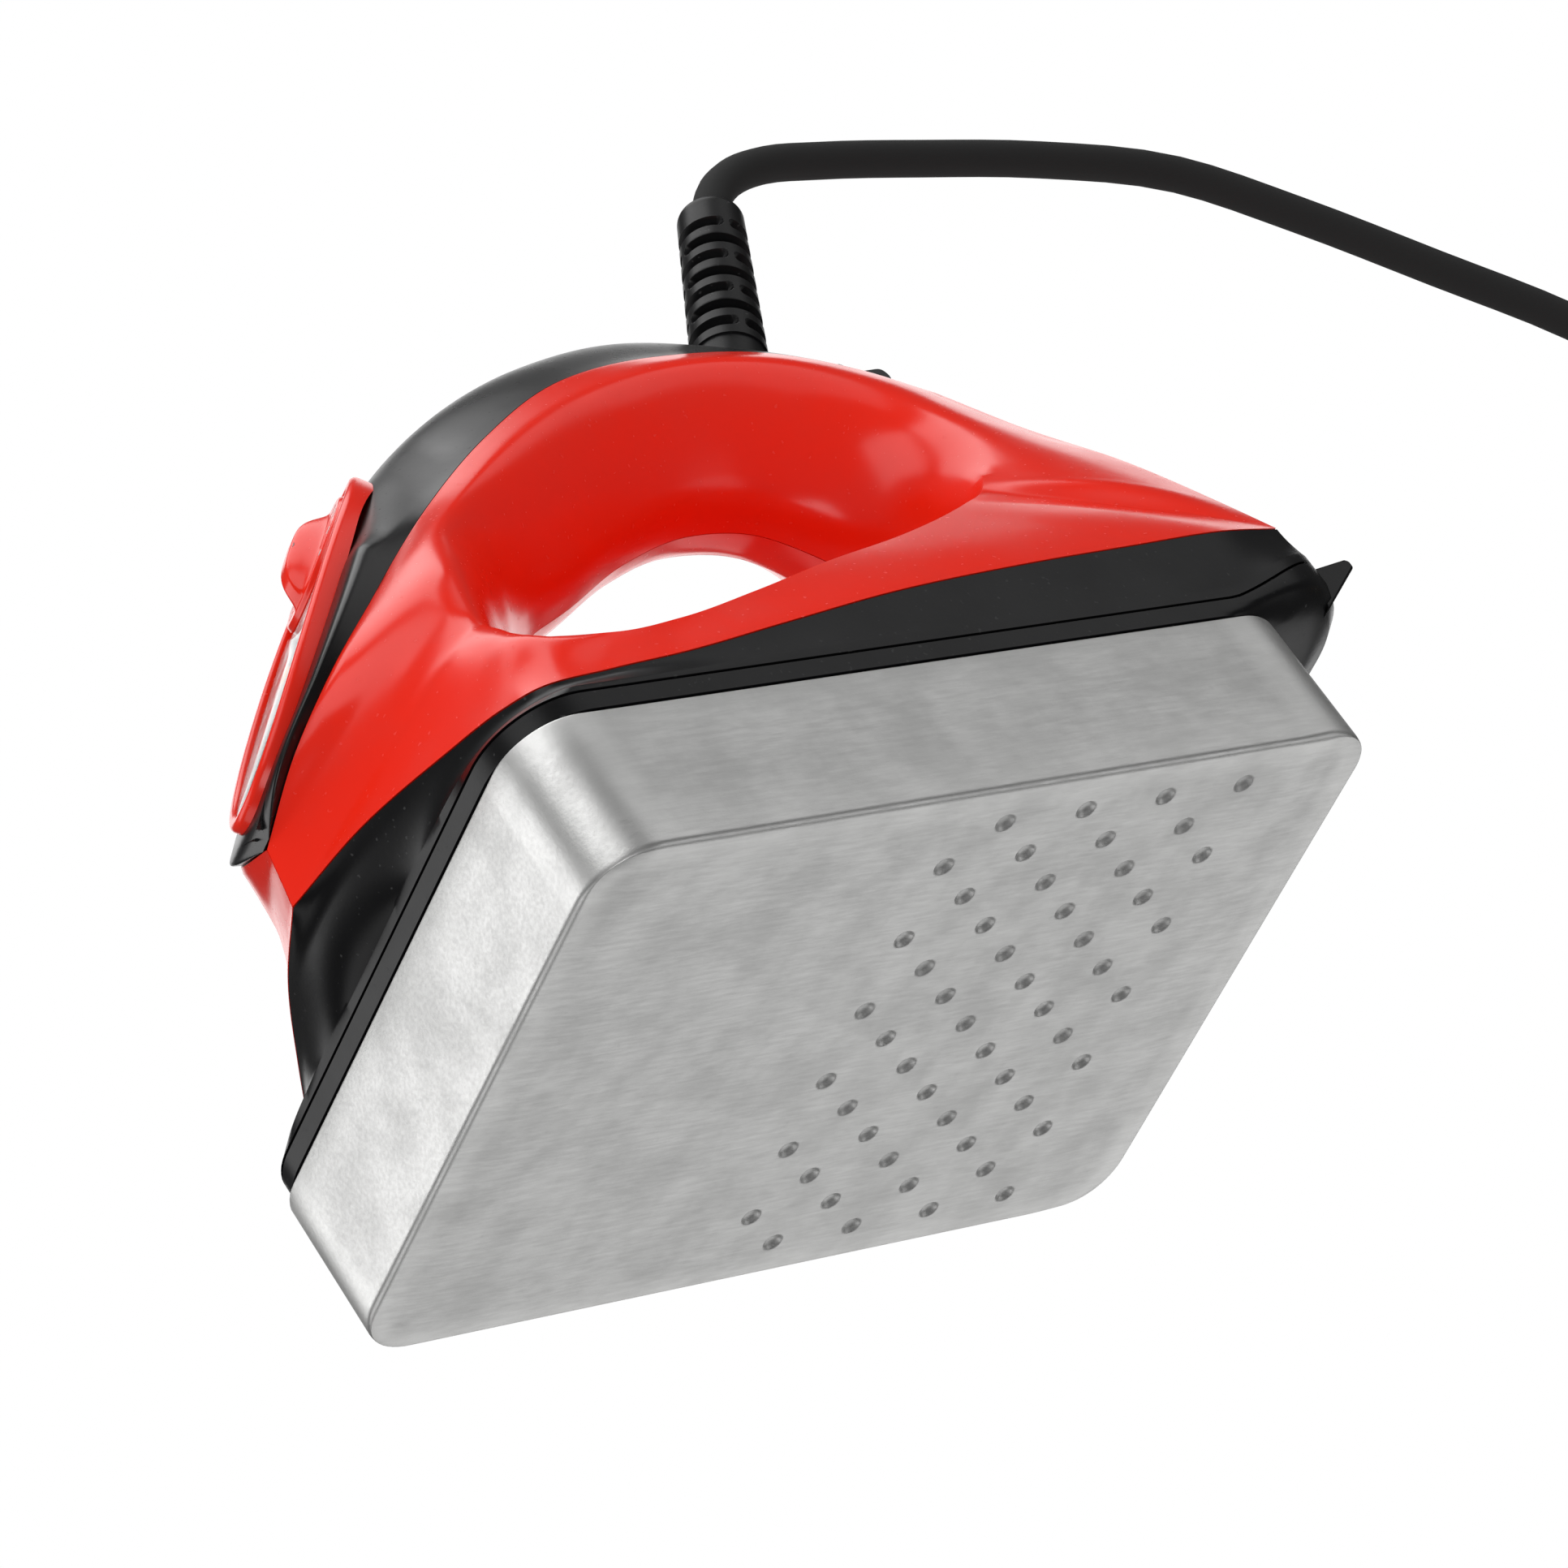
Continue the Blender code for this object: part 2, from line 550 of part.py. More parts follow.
def walled(name, grid, borders, wall, finish, wrap_rows=False, wrap_columns=False, lowest=-1.0):
    """A wall under a grid of points. borders holds the inward direction of edge points, and
    the inner side stays above lowest."""
    rows, columns = grid.shape[:2]

    def slope(axis, wrap):
        ahead, behind = np.roll(grid, -1, axis), np.roll(grid, 1, axis)
        if not wrap:
            ahead = np.concatenate([np.delete(ahead, -1, axis), np.take(grid, [-1], axis)], axis)
            behind = np.concatenate([np.take(grid, [0], axis), np.delete(behind, 0, axis)], axis)
        return unit(ahead - grid) + unit(grid - behind)

    normal = unit(np.cross(slope(0, wrap_rows), slope(1, wrap_columns)))
    fixed = ~np.isnan(borders[..., 0])
    if (normal * borders)[fixed].sum() > 0:
        normal = -normal
    inward = np.where(fixed[..., None], borders, -normal)
    lean = np.clip(-(inward * normal).sum(-1, keepdims=True), 0.6, 1)
    inner = grid + inward * wall / lean
    inner[..., 2] = np.maximum(inner[..., 2], lowest)
    outer_faces = grid_faces(rows, columns, wrap_rows, wrap_columns)
    size = rows * columns
    faces = outer_faces + [tuple(i + size for i in face[::-1]) for face in outer_faces]
    number = np.arange(size).reshape(rows, columns)
    edges = []
    if not wrap_columns:
        edges += [(number[:, 0], wrap_rows), (number[::-1, -1], wrap_rows)]
    if not wrap_rows:
        edges += [(number[::-1][-1], wrap_columns), (number[-1][::-1], wrap_columns)]
    for edge, wrap in edges:
        following = np.roll(edge, -1)
        pairs = list(zip(edge, following)) if wrap else list(zip(edge[:-1], following[:-1]))
        faces += [(int(a), int(b), int(b) + size, int(a) + size) for a, b in pairs]
    return add(name, np.concatenate([grid.reshape(-1, 3), inner.reshape(-1, 3)]), faces, finish)


def shell_grid():
    """Sections of the left shell from the opening over the rim to the seam."""
    rows = np.arange(0, len(RAILS.seam), STEP)
    hole, rim, seam = (rail[rows][:, None] for rail in (RAILS.hole, RAILS.rim, RAILS.seam))
    crisp, flat, at_seam = (values[rows][:, None] for values in (RAILS.crisp, RAILS.flat, SEAM_TANGENT))
    inner = np.linalg.norm(rim - hole, axis=-1, keepdims=True)
    outer = np.linalg.norm(seam - rim, axis=-1, keepdims=True)
    leave = np.array([0, -1.0, 0]) * inner * 1.1
    smooth = unit(unit(seam - hole) * (1 - flat) + unit(seam - rim) * flat)
    settle_in = unit(2 * (rim - hole) - leave)
    settle_out = unit(2 * (seam - rim) - at_seam * outer)
    into = unit(smooth * (1 - crisp) + settle_in * crisp) * inner * (1.1 - 0.6 * flat)
    out = unit(smooth * (1 - crisp) + settle_out * crisp) * outer * (1.1 - flat)
    t_in = np.linspace(0, 1, ACROSS_INNER + 1)[None, :-1, None]
    t_out = np.linspace(0, 1, ACROSS_OUTER + 1)[None, :, None]
    inside = hermite(hole, rim, leave, into, t_in)
    outside = hermite(rim, seam, out, at_seam * outer * 1.1, t_out)
    grid = np.concatenate([inside, outside], axis=1)
    grid[..., 1] = np.minimum(grid[..., 1], -GAP / 2)
    borders = np.full(grid.shape, np.nan)
    around = unit(np.roll(grid[:, 0], -1, 0) - np.roll(grid[:, 0], 1, 0))
    borders[:, 0] = unit(np.cross(around, np.array([0, 1.0, 0])) * MIDDLE)
    centre = grid[:, 0].mean(0)
    if (borders[:, 0] * (grid[:, 0] - centre)).sum() < 0:
        borders[:, 0] *= -1
    borders[:, -1] = SEAM_INWARD[rows]
    return grid, borders


def make_shell(name, side):
    grid, borders = shell_grid()
    flip = np.array([1, -side, 1])
    return walled(name, grid * flip, borders * flip, SHELL_WALL, RED, wrap_rows=True)


def cover_of(half, half_inward, row_cores, name, finish, wall):
    """A shell across the middle plane from its left half and the inward directions at its edge."""
    grid = np.concatenate([half, mirrored(half[:, -2::-1])], axis=1)
    borders = np.full(grid.shape, np.nan)
    borders[:, 0], borders[:, -1] = half_inward, mirrored(half_inward)
    for row, core in row_cores:
        borders[row] = unit(core - grid[row])
    return walled(name, grid, borders, wall, finish)


def make_spine_cover():
    """Boxy around the dial, where it stands proud of the shells, and round over the handle."""
    first = round((RING_TIP + 0.15) * FINE)
    rows = np.array([first, *range(RING_TIP * FINE + STEP, SPINE_END * FINE + 1, STEP)])
    seam, crown, slope = RAILS.seam[rows], RAILS.beyond[rows] * MIDDLE, SEAM_TANGENT[rows]
    edge = seam + unit(crown + np.array([1 * MM, 0, 2 * MM]) - seam) * GAP * 2
    boxy = np.clip((18.6 - rows / FINE) / 2.0, 0, 1)[:, None, None]
    power = 1 - 0.74 * boxy
    angle = np.linspace(1, 0, ACROSS_COVER + 1)[None, :, None] * math.pi / 2
    lateral = (edge * np.array([0, 1, 0]))[:, None]
    depth = (edge - crown)[:, None] - lateral
    box = crown[:, None] + lateral * np.sin(angle) ** power + depth * (1 - np.cos(angle) ** power)
    chord = np.linalg.norm(crown - edge, axis=1)[:, None, None]
    t = np.linspace(0, 1, ACROSS_COVER + 1)[None, :, None]
    arch = hermite(edge[:, None], crown[:, None], slope[:, None] * chord, np.array([0, 1.0, 0]) * chord, t)
    half = box * boxy + arch * (1 - boxy)
    ends = ((0, CORE[RING_TIP * FINE]), (-1, CORE[SPINE_END * FINE]))
    return cover_of(half, SEAM_INWARD[rows], ends, "spine_cover", BLACK, SHELL_WALL)


def make_rear_cover():
    """The panel between the two hips, from the end of the spine down to the heel."""
    rows = np.arange(SPINE_END * FINE, LAST * FINE + 1, STEP)
    seam = RAILS.seam[rows % (LAST * FINE)]
    back = RAILS.beyond[rows % (LAST * FINE)] * MIDDLE
    last_full = RAILS.beyond[(LAST - 1) * FINE] * MIDDLE
    share = np.clip(rows / FINE - (LAST - 1), 0, 1)[:, None]
    back = np.where(share > 0, last_full * (1 - share) + REAR_FOOT * share, back)
    edge = seam + unit(back - seam) * GAP * 2
    shift = np.array([0.3, 0, -1.0]) * GAP
    edge[0], back[0] = edge[0] + shift, back[0] + shift
    edge[-1, 2] += GAP / 2
    back[-1, 2] += GAP / 2
    chord = np.linalg.norm(back - edge, axis=1)[:, None, None]
    t = np.linspace(0, 1, ACROSS_COVER + 1)[None, :, None]
    half = hermite(edge[:, None], back[:, None], HEEL_LEAVE * chord, np.array([0, 1.0, 0]) * chord, t)
    foot_core = REAR_FOOT + np.array([-2 * HIP_DEPTH, 0, 0])
    ends = ((0, CORE[SPINE_END * FINE]), (-1, foot_core))
    return cover_of(half, SEAM_INWARD[rows % (LAST * FINE)], ends, "rear_cover", RED, SHELL_WALL)


# --- Base: the ring over the plate and the housing skirt --------------------------------
LIP_BASE = PLATE_TOP + RING_HEIGHT
HEEL_START = HALF_LENGTH - 8 * MM
HEEL_END = HALF_LENGTH + HEEL_OVERHANG
HEEL_LEAVE = unit(np.array([0.7, 1.0, 0]))
HEEL_ROWS = 7
SKIRT_ROWS = 4


def nearest(points, curve):
    """The point of a closed plan curve that lies nearest to each point."""
    start, end = curve, np.roll(curve, -1, 0)
    run = end - start
    length = np.maximum((run**2).sum(1), 1e-12)
    share = np.clip(((points[:, None] - start) * run).sum(2) / length, 0, 1)
    feet = start + share[..., None] * run
    best = ((feet - points[:, None]) ** 2).sum(2).argmin(1)
    return feet[np.arange(len(points)), best]


def lip_plan(inset=0.0):
    return outline(
        -HALF_LENGTH + inset, HEEL_END - inset, HALF_WIDTH - inset,
        PLATE_CORNER - inset, HEEL_CORNER - inset, 10,
    )


def lip_height(plan):
    """The lip's height over the plate: level along the sides, rising under the heel."""
    share = np.clip((plan[:, 0] - HEEL_START) / (HEEL_END - HEEL_START), 0, 1)
    return LIP_BASE + HEEL_RISE * share**1.2


def boundary_loop():
    """The closed line between shells and skirt, its inward direction, and the lip under it."""
    rows = np.arange(0, CHIN * FINE + 1, STEP)
    turn = np.linspace(0, 1, HEEL_ROWS + 1)[1:, None]
    corner = RAILS.seam[0]
    chord = np.linalg.norm(REAR_FOOT - corner)
    heel = hermite(corner, REAR_FOOT, HEEL_LEAVE * chord, np.array([0, 1.0, 0]) * chord, turn)
    heel_inward = unit(REAR_FOOT - np.array([2 * HIP_DEPTH, 0, 0]) - heel)
    below = RAILS.beyond[rows][:, :2]
    below[-1] = (-HALF_LENGTH, 0)
    start = np.array([HEEL_END - HEEL_CORNER * 0.5, -HALF_WIDTH + HEEL_CORNER * 0.15])
    below_heel = start + (np.array([HEEL_END, 0.0]) - start) * np.column_stack([np.sqrt(turn), turn])
    left = np.concatenate([heel[::-1], RAILS.seam[rows]])
    inward = np.concatenate([heel_inward[::-1], SEAM_INWARD[rows]])
    below = np.concatenate([below_heel[::-1], below])
    upper = np.concatenate([left, mirrored(left[-2:0:-1])])
    inward = np.concatenate([inward, mirrored(inward[-2:0:-1])])
    plan = np.concatenate([below, (below * np.array([1, -1]))[-2:0:-1]])
    return upper, inward, nearest(plan, lip_plan())


def make_base_housing():
    """The skirt: from the shells' boundary it flares out to the lip over the plate."""
    upper, inward, plan = boundary_loop()
    upper = upper - np.array([0, 0, GAP])
    lip = np.column_stack([plan, lip_height(plan) + GAP])
    top_edge = lip + np.array([0, 0, 1.0]) * np.minimum((upper - lip)[:, 2:] * 0.2, 1.6 * MM)
    chord = np.linalg.norm(upper - top_edge, axis=1, keepdims=True)
    flat = (top_edge - upper) * np.array([1, 1, 0])
    flare = np.linalg.norm(flat, axis=1, keepdims=True)
    down = np.array([0, 0, -1.0])
    arrive = unit(down * 0.5 + unit(flat) * np.clip(flare / (6 * MM), 0, 1.2)) * chord * 0.9
    t = np.linspace(0, 1, SKIRT_ROWS + 1)[:, None, None]
    grid = np.concatenate([hermite(upper, top_edge, down * chord, arrive, t), lip[None]])
    borders = np.full(grid.shape, np.nan)
    inset = nearest(plan, lip_plan(SKIRT_WALL))
    borders[0] = inward
    borders[-2:] = unit(np.column_stack([inset - plan, np.zeros(len(plan))]))
    lowest = np.concatenate([np.tile(top_edge[:, 2], (len(grid) - 1, 1)), lip[None, :, 2]])
    return walled("base_housing", grid, borders, SKIRT_WALL, BLACK, wrap_columns=True, lowest=lowest)


def add_heel_feet(ring):
    """Two wedges behind the heel, on which the iron leans when it is set down upright."""
    root, top, tip = HEEL_END - 9 * MM, HEEL_END - 7 * MM, HEEL_END + HEEL_FOOT_REACH
    low, high = lip_height(np.array([(root, 0), (top, 0)])) - np.array([4.6, 0.2]) * MM
    profile = (
        (root, low, 1), (tip, high - 0.6 * MM, 0.55), (tip, high + 0.8 * MM, 0.55),
        (tip - 0.8 * MM, high + 1.3 * MM, 0.6), (top, high, 1),
    )
    feet = []
    for side in (-1, 1):
        outer = side * (HALF_WIDTH - HEEL_FOOT_INSET)
        near = [(x, outer, z) for x, z, _ in profile]
        far = [(x, outer - side * HEEL_FOOT_WIDTH * width, z) for x, z, width in profile]
        feet.append(lofted("foot", [near, far], BLACK))
    return combine(ring, merged("feet", feet), "UNION")


def make_base_ring():
    _, _, plan = boundary_loop()
    foot = nearest(plan, plate_plan(0, PLATE_CORNER))
    inner_foot = nearest(plan, plate_plan(RING_WALL, PLATE_CORNER - RING_WALL))
    inner_lip = nearest(plan, lip_plan(RING_WALL))
    top = lip_height(plan) - GAP / 2
    low = PLATE_TOP + GAP
    overhang = np.clip((plan[:, :1] - HEEL_START) / HEEL_RISE, 0, 1)
    under = plan + (nearest(plan, lip_plan(HEEL_EDGE)) - plan) * overhang
    loops = [
        at_height(foot, low),
        np.column_stack([under, low + 0.3 * (top - low)]),
        np.column_stack([plan, low + 0.55 * (top - low)]),
        np.column_stack([plan, top]),
        np.column_stack([inner_lip, top]),
        at_height(inner_foot, low),
    ]
    return add_heel_feet(lofted("base_ring", loops, BLACK, closed=True))


# --- Chassis between the plate and the body ---------------------------------------------
SHIELD_Z = PLATE_TOP + GAP
CHASSIS_Z = LIP_BASE + GAP / 2
CHASSIS_TOP = CHASSIS_Z + CHASSIS_THICKNESS
CLEARANCE_HOLE = SCREW_DIAMETER + 2 * GAP


def rod(name, diameter, low, high, finish=STEEL, sides=12, at=(0, 0), matrix=None):
    """A round bar from z = low to z = high."""
    place = Matrix.Translation((*at, 0))
    if matrix is not None:
        place = matrix @ place
    return turned(name, ((diameter / 2, low), (diameter / 2, high)), finish, sides, place)


def plate_with_holes(name, plan, low, thickness, finish):
    """A flat plate with holes for the plate's screws and the element's ends."""
    plate = lofted(name, [at_height(plan, low), at_height(plan, low + thickness)], finish)
    start, end = low - thickness, low + 2 * thickness
    holes = [rod("hole", CLEARANCE_HOLE, start, end, at=place) for place in SCREW_PLACES]
    for y in (-HEATER_BEND, HEATER_BEND):
        holes.append(rod("hole", 5 * MM, start, end, at=(HEATER_END_X, y)))
    return combine(plate, merged("holes", holes))


def make_heat_shield():
    plan = plate_plan(SHIELD_INSET, PLATE_CORNER - SHIELD_INSET)
    return plate_with_holes("heat_shield", plan, SHIELD_Z, SHIELD_THICKNESS, STEEL)


def make_chassis_plate():
    corner = PLATE_CORNER - CHASSIS_INSET
    toe, heel = -HALF_LENGTH + CHASSIS_TOE_INSET, HALF_LENGTH - CHASSIS_HEEL_INSET
    plan = outline(toe, heel, HALF_WIDTH - CHASSIS_INSET, corner, corner)
    return plate_with_holes("chassis_plate", plan, CHASSIS_Z, CHASSIS_THICKNESS, STEEL)


def make_heat_spacers():
    low, high = SHIELD_Z + SHIELD_THICKNESS + GAP, CHASSIS_Z - GAP
    bore, outer = CLEARANCE_HOLE / 2, SPACER_DIAMETER / 2
    profile = ((bore, low), (outer, low), (outer, high), (bore, high))
    places = [Matrix.Translation((x, y, 0)) for x, y in SCREW_PLACES]
    numbered("heat_spacer", [turned_ring("spacer", profile, CERAMIC, 16, place) for place in places])


def screw(name, diameter, head, head_height, low, seat, matrix, sides=12):
    """A pan-head screw: its shank starts at low, and its head sits on seat."""
    shank, wide = diameter / 2, head / 2
    profile = (
        (shank * 0.6, low), (shank, low + shank), (shank, seat), (wide, seat),
        (wide, seat + 0.6 * head_height), (wide * 0.7, seat + head_height),
    )
    return turned(name, profile, STEEL, sides, matrix)


def make_plate_screws():
    low, seat = POCKET_FLOOR + 7 * MM, CHASSIS_TOP + GAP
    places = [Matrix.Translation((x, y, 0)) for x, y in SCREW_PLACES]
    screws = [screw("screw", SCREW_DIAMETER, SCREW_HEAD, HEAD_HEIGHT, low, seat, place) for place in places]
    numbered("plate_screw", screws)


CLAMP_Z = POCKET_FLOOR + HEATER_DIAMETER + 2 * GAP


def make_element_clamp():
    """A bar across both legs of the element, held down in the middle."""
    place = Matrix.Translation((ELEMENT_CLAMP_X, 0, CLAMP_Z + ELEMENT_CLAMP[2] / 2))
    bar = block("element_clamp", ELEMENT_CLAMP, STEEL, place)
    low, high = CLAMP_Z - 1 * MM, CLAMP_Z + ELEMENT_CLAMP[2] + 1 * MM
    return combine(bar, rod("hole", CLEARANCE_HOLE, low, high, at=(ELEMENT_CLAMP_X, 0)))


def make_element_screw():
    low, seat = POCKET_FLOOR - 3.5 * MM, CLAMP_Z + ELEMENT_CLAMP[2] + GAP
    place = Matrix.Translation((ELEMENT_CLAMP_X, 0, 0))
    return screw("element_screw", SCREW_DIAMETER, SCREW_HEAD, HEAD_HEIGHT, low, seat, place)


def make_temperature_sensor():
    low, radius = POCKET_FLOOR + GAP, SENSOR_DIAMETER / 2
    profile = ((radius, low), (radius, low + SENSOR_HEIGHT - 1 * MM), (radius - 2 * MM, low + SENSOR_HEIGHT))
    return turned("temperature_sensor", profile, CERAMIC, 16, Matrix.Translation((SENSOR_X, 0, 0)))


def make_thermal_fuse():
    radius, half = FUSE_DIAMETER / 2, FUSE_LENGTH / 2
    ease, end = 0.1 * radius, 0.6 * radius
    profile = ((end, -half), (radius, ease - half), (radius, half - ease), (end, half))
    lying = Matrix.Rotation(math.pi / 2, 4, "Y")
    place = Matrix.Translation((FUSE_X, 0, POCKET_FLOOR + GAP + radius)) @ lying
    return turned("thermal_fuse", profile, CERAMIC, 12, place)


def make_terminal_block():
    size = np.array(TERMINAL_SIZE)
    place = Matrix.Translation((TERMINAL_X, 0, CHASSIS_TOP + GAP + size[2] / 2))
    base = block("terminal_block", size, CERAMIC, place)
    grooves = []
    for y in (-size[1] / 6, size[1] / 6):
        top = Matrix.Translation((TERMINAL_X, y, CHASSIS_TOP + GAP + size[2]))
        grooves.append(block("groove", (size[0] + 2 * MM, 0.8 * MM, 6 * MM), CERAMIC, top))
    return combine(base, merged("grooves", grooves))


# --- Dial on the sloping face -------------------------------------------------------------
FACE_LOW, FACE_HIGH = placed((-81.5, 0, 60.8)), placed((-22, 0, 129.5))
UP_SLOPE = unit(FACE_HIGH - FACE_LOW)
OFF_FACE = np.array([-UP_SLOPE[2], 0, UP_SLOPE[0]])
FACE_MIDDLE = (FACE_LOW + FACE_HIGH) / 2
KNOB_BASE = BEZEL_FLOOR + 2 * GAP
KNOB_TOP = KNOB_BASE + KNOB_DISC
POT_TOP = -SHELL_WALL - 0.7 * MM
BOARD_TOP = POT_TOP - POT_HEIGHT - GAP


def frame(origin, x_axis, y_axis, z_axis):
    """The matrix of a frame with the given axes."""
    columns = [(*x_axis, 0), (*y_axis, 0), (*z_axis, 0), (*origin, 1)]
    return Matrix(columns).transposed()


FACE = frame(FACE_MIDDLE, UP_SLOPE, (0, 1, 0), OFF_FACE)
KNOB_AXIS = FACE @ Matrix.Translation((KNOB_OFFSET, 0, 0))


def oval(half_length, half_width, sides=40, power=2.4):
    """A superellipse as points (x, y)."""
    a = np.arange(sides) * (2 * math.pi / sides)
    c, s = np.cos(a), np.sin(a)
    bend = 2 / power
    x, y = np.sign(c) * abs(c) ** bend, np.sign(s) * abs(s) ** bend
    return np.column_stack([half_length * x, half_width * y])


def bezel_plan(inset):
    return oval(FACE_LENGTH / 2 - inset, FACE_WIDTH / 2 - inset)


def bezel_rim(x):
    return BEZEL_RIM_HEIGHT + BEZEL_CROWN * (1 - (2 * x / FACE_LENGTH) ** 2)


def bezel_seat(x):
    """How high the bezel's underside lies: lower at the low end, where the cover falls away."""
    share = np.clip((-x - 0.46 * FACE_LENGTH) / (0.04 * FACE_LENGTH), 0, 1)
    return BEZEL_SEAT - BEZEL_DIP * share**2


def over(plan, heights):
    return np.column_stack([plan, heights])


def in_frame(thing, matrix):
    thing.data.transform(matrix)
    return thing


def face_holes():
    """Cutters for the knob's shaft and the lamp."""
    low, high = -SHELL_WALL - 3 * MM, BEZEL_FLOOR + 3 * MM
    shaft = rod("shaft_hole", SHAFT_DIAMETER + 1 * MM, low, high, at=(KNOB_OFFSET, 0), matrix=FACE)
    lamp = rod("lamp_hole", LED_DIAMETER + 2 * GAP, low, high, at=(LED_OFFSET, 0), matrix=FACE)
    return [shaft, lamp]


def cut_dial_holes(cover):
    combine(cover, merged("face_holes", face_holes()))


def make_dial_bezel():
    outer, inner = bezel_plan(0), bezel_plan(BEZEL_RIM_WIDTH)
    loops = [over(0.88 * outer, np.full(len(outer), BEZEL_SEAT)), over(outer, bezel_seat(outer[:, 0]))]
    for inset, drop in ((0, 1.4 * MM), (0.5 * MM, 0.4 * MM), (1.6 * MM, 0), (3.0 * MM, 0.3 * MM)):
        plan = bezel_plan(inset)
        loops.append(over(plan, bezel_rim(plan[:, 0]) - drop))
    loops.append(over(inner, np.full(len(inner), BEZEL_FLOOR)))
    bezel = in_frame(lofted("dial_bezel", loops, RED), FACE)
    return combine(bezel, merged("bezel_holes", face_holes()))


def make_dial_panel():
    """The clear panel under the knob, hollowed where the knob turns."""
    plan = bezel_plan(BEZEL_RIM_WIDTH + GAP)
    plan[:, 0] = np.minimum(plan[:, 0], KNOB_OFFSET - 0.35 * KNOB_DIAMETER)
    low = BEZEL_FLOOR + GAP
    high = low + PANEL_THICKNESS
    panel = lofted("dial_panel", [over(plan, np.full(len(plan), z)) for z in (low, high)], CLEAR)
    room = rod("room", KNOB_DIAMETER + 1.2 * MM, 0, 2 * high, at=(KNOB_OFFSET, 0), sides=40, matrix=FACE)
    return combine(in_frame(panel, FACE), room)


def make_temperature_knob():
    """A thin disc with an arched grip across it, turned about the shaft."""
    radius = KNOB_DIAMETER / 2
    profile = (
        (radius - 0.4 * MM, KNOB_BASE), (radius, KNOB_BASE + 0.4 * MM),
        (radius, KNOB_TOP - 0.5 * MM), (radius - 0.6 * MM, KNOB_TOP),
    )
    knob = turned("temperature_knob", profile, RED, 36)
    sections = []
    for t in np.linspace(-1, 1, 13):
        rise = 0.4 * MM + (GRIP_HEIGHT - 0.4 * MM) * (1 - abs(t) ** 2.2)
        wide = GRIP_WIDTH / 2 * (1 - 0.45 * t**2)
        side = [(wide, -0.6 * KNOB_DISC), (wide, 0.25 * rise), (0.72 * wide, 0.8 * rise), (0.35 * wide, rise)]
        section = side + [(-y, z) for y, z in side[::-1]]
        sections.append([(t * (radius - 1 * MM), y, KNOB_TOP + z) for y, z in section])
    combine(knob, lofted("grip", sections, RED), "UNION")
    socket = rod("socket", SHAFT_DIAMETER + 2 * GAP, 0, KNOB_TOP + GRIP_HEIGHT - SHAFT_SINK)
    combine(knob, socket)
    for thing in (knob, *[change.object for change in knob.modifiers]):
        thing.matrix_world = KNOB_AXIS
    return knob


def make_potentiometer_shaft():
    top = KNOB_TOP + GRIP_HEIGHT - SHAFT_SINK - GAP
    return rod("potentiometer_shaft", SHAFT_DIAMETER, POT_TOP - POT_HEIGHT, top, matrix=KNOB_AXIS)


def make_potentiometer():
    bore, outer = SHAFT_DIAMETER / 2 + GAP, POT_DIAMETER / 2
    low = POT_TOP - POT_HEIGHT
    profile = ((bore, low), (outer, low), (outer, POT_TOP), (bore, POT_TOP))
    return turned_ring("potentiometer", profile, BLACK, 20, KNOB_AXIS)


SPACER_PLACES = [(k * (BOARD_LENGTH / 2 - SPACER_INSET), k * SPACER_OFFSET) for k in (1, -1)]


def make_control_board():
    place = FACE @ Matrix.Translation((0, 0, BOARD_TOP - BOARD_THICKNESS / 2))
    board = block("control_board", (BOARD_LENGTH, BOARD_WIDTH, BOARD_THICKNESS), LAMINATE, place)
    low, high = BOARD_TOP - 2 * BOARD_THICKNESS, BOARD_TOP + BOARD_THICKNESS
    bore = SMALL_SCREW + 2 * GAP
    holes = [rod("hole", bore, low, high, sides=10, at=at, matrix=FACE) for at in SPACER_PLACES]
    return combine(board, merged("holes", holes))


def make_board_spacers():
    bore, outer = SMALL_SCREW / 2 + GAP, SMALL_SCREW / 2 + 1.4 * MM
    low, high = BOARD_TOP + GAP, POT_TOP
    profile = ((bore, low), (outer, low), (outer, high), (bore, high))
    places = [FACE @ Matrix.Translation((*at, 0)) for at in SPACER_PLACES]
    numbered("board_spacer", [turned_ring("spacer", profile, BLACK, 12, place) for place in places])


def make_board_screws():
    upside_down = Matrix.Rotation(math.pi, 4, "X")
    seat, tip = GAP - BOARD_TOP + BOARD_THICKNESS, 1 * MM - POT_TOP
    screws = []
    for x, y in SPACER_PLACES:
        place = FACE @ Matrix.Translation((x, y, 0)) @ upside_down
        screws.append(screw("screw", SMALL_SCREW, 2 * SMALL_SCREW, 1.6 * MM, tip, seat, place, 10))
    numbered("board_screw", screws)


def make_indicator_lamp():
    radius = LED_DIAMETER / 2
    low, high = BOARD_TOP + GAP, BEZEL_FLOOR
    profile = (
        (radius + 0.4 * MM, low), (radius + 0.4 * MM, low + 1 * MM), (radius, low + 1 * MM),
        (radius, high - 1.5 * MM), (0.75 * radius, high - 0.5 * MM), (0.3 * radius, high),
    )
    return turned("indicator_lamp", profile, LENS, 16, FACE @ Matrix.Translation((LED_OFFSET, 0, 0)))


# --- Switch on the crown ----------------------------------------------------------------
def crown_frame(station):
    """A frame on the crown, with x along it to the rear and z out of it."""
    at = round(station * FINE)
    along = unit((RAILS.beyond[at + 1] - RAILS.beyond[at - 1]) * MIDDLE)
    return frame(RAILS.beyond[at] * MIDDLE, along, (0, 1, 0), (-along[2], 0, along[0]))


SWITCH = crown_frame(23.35)
ROCKER_AXIS = SWITCH @ Matrix.Translation((0, 0, -ROCKER_SINK))
CAVITY_DEPTH = ROCKER_SINK + ROCKER_RADIUS + GAP


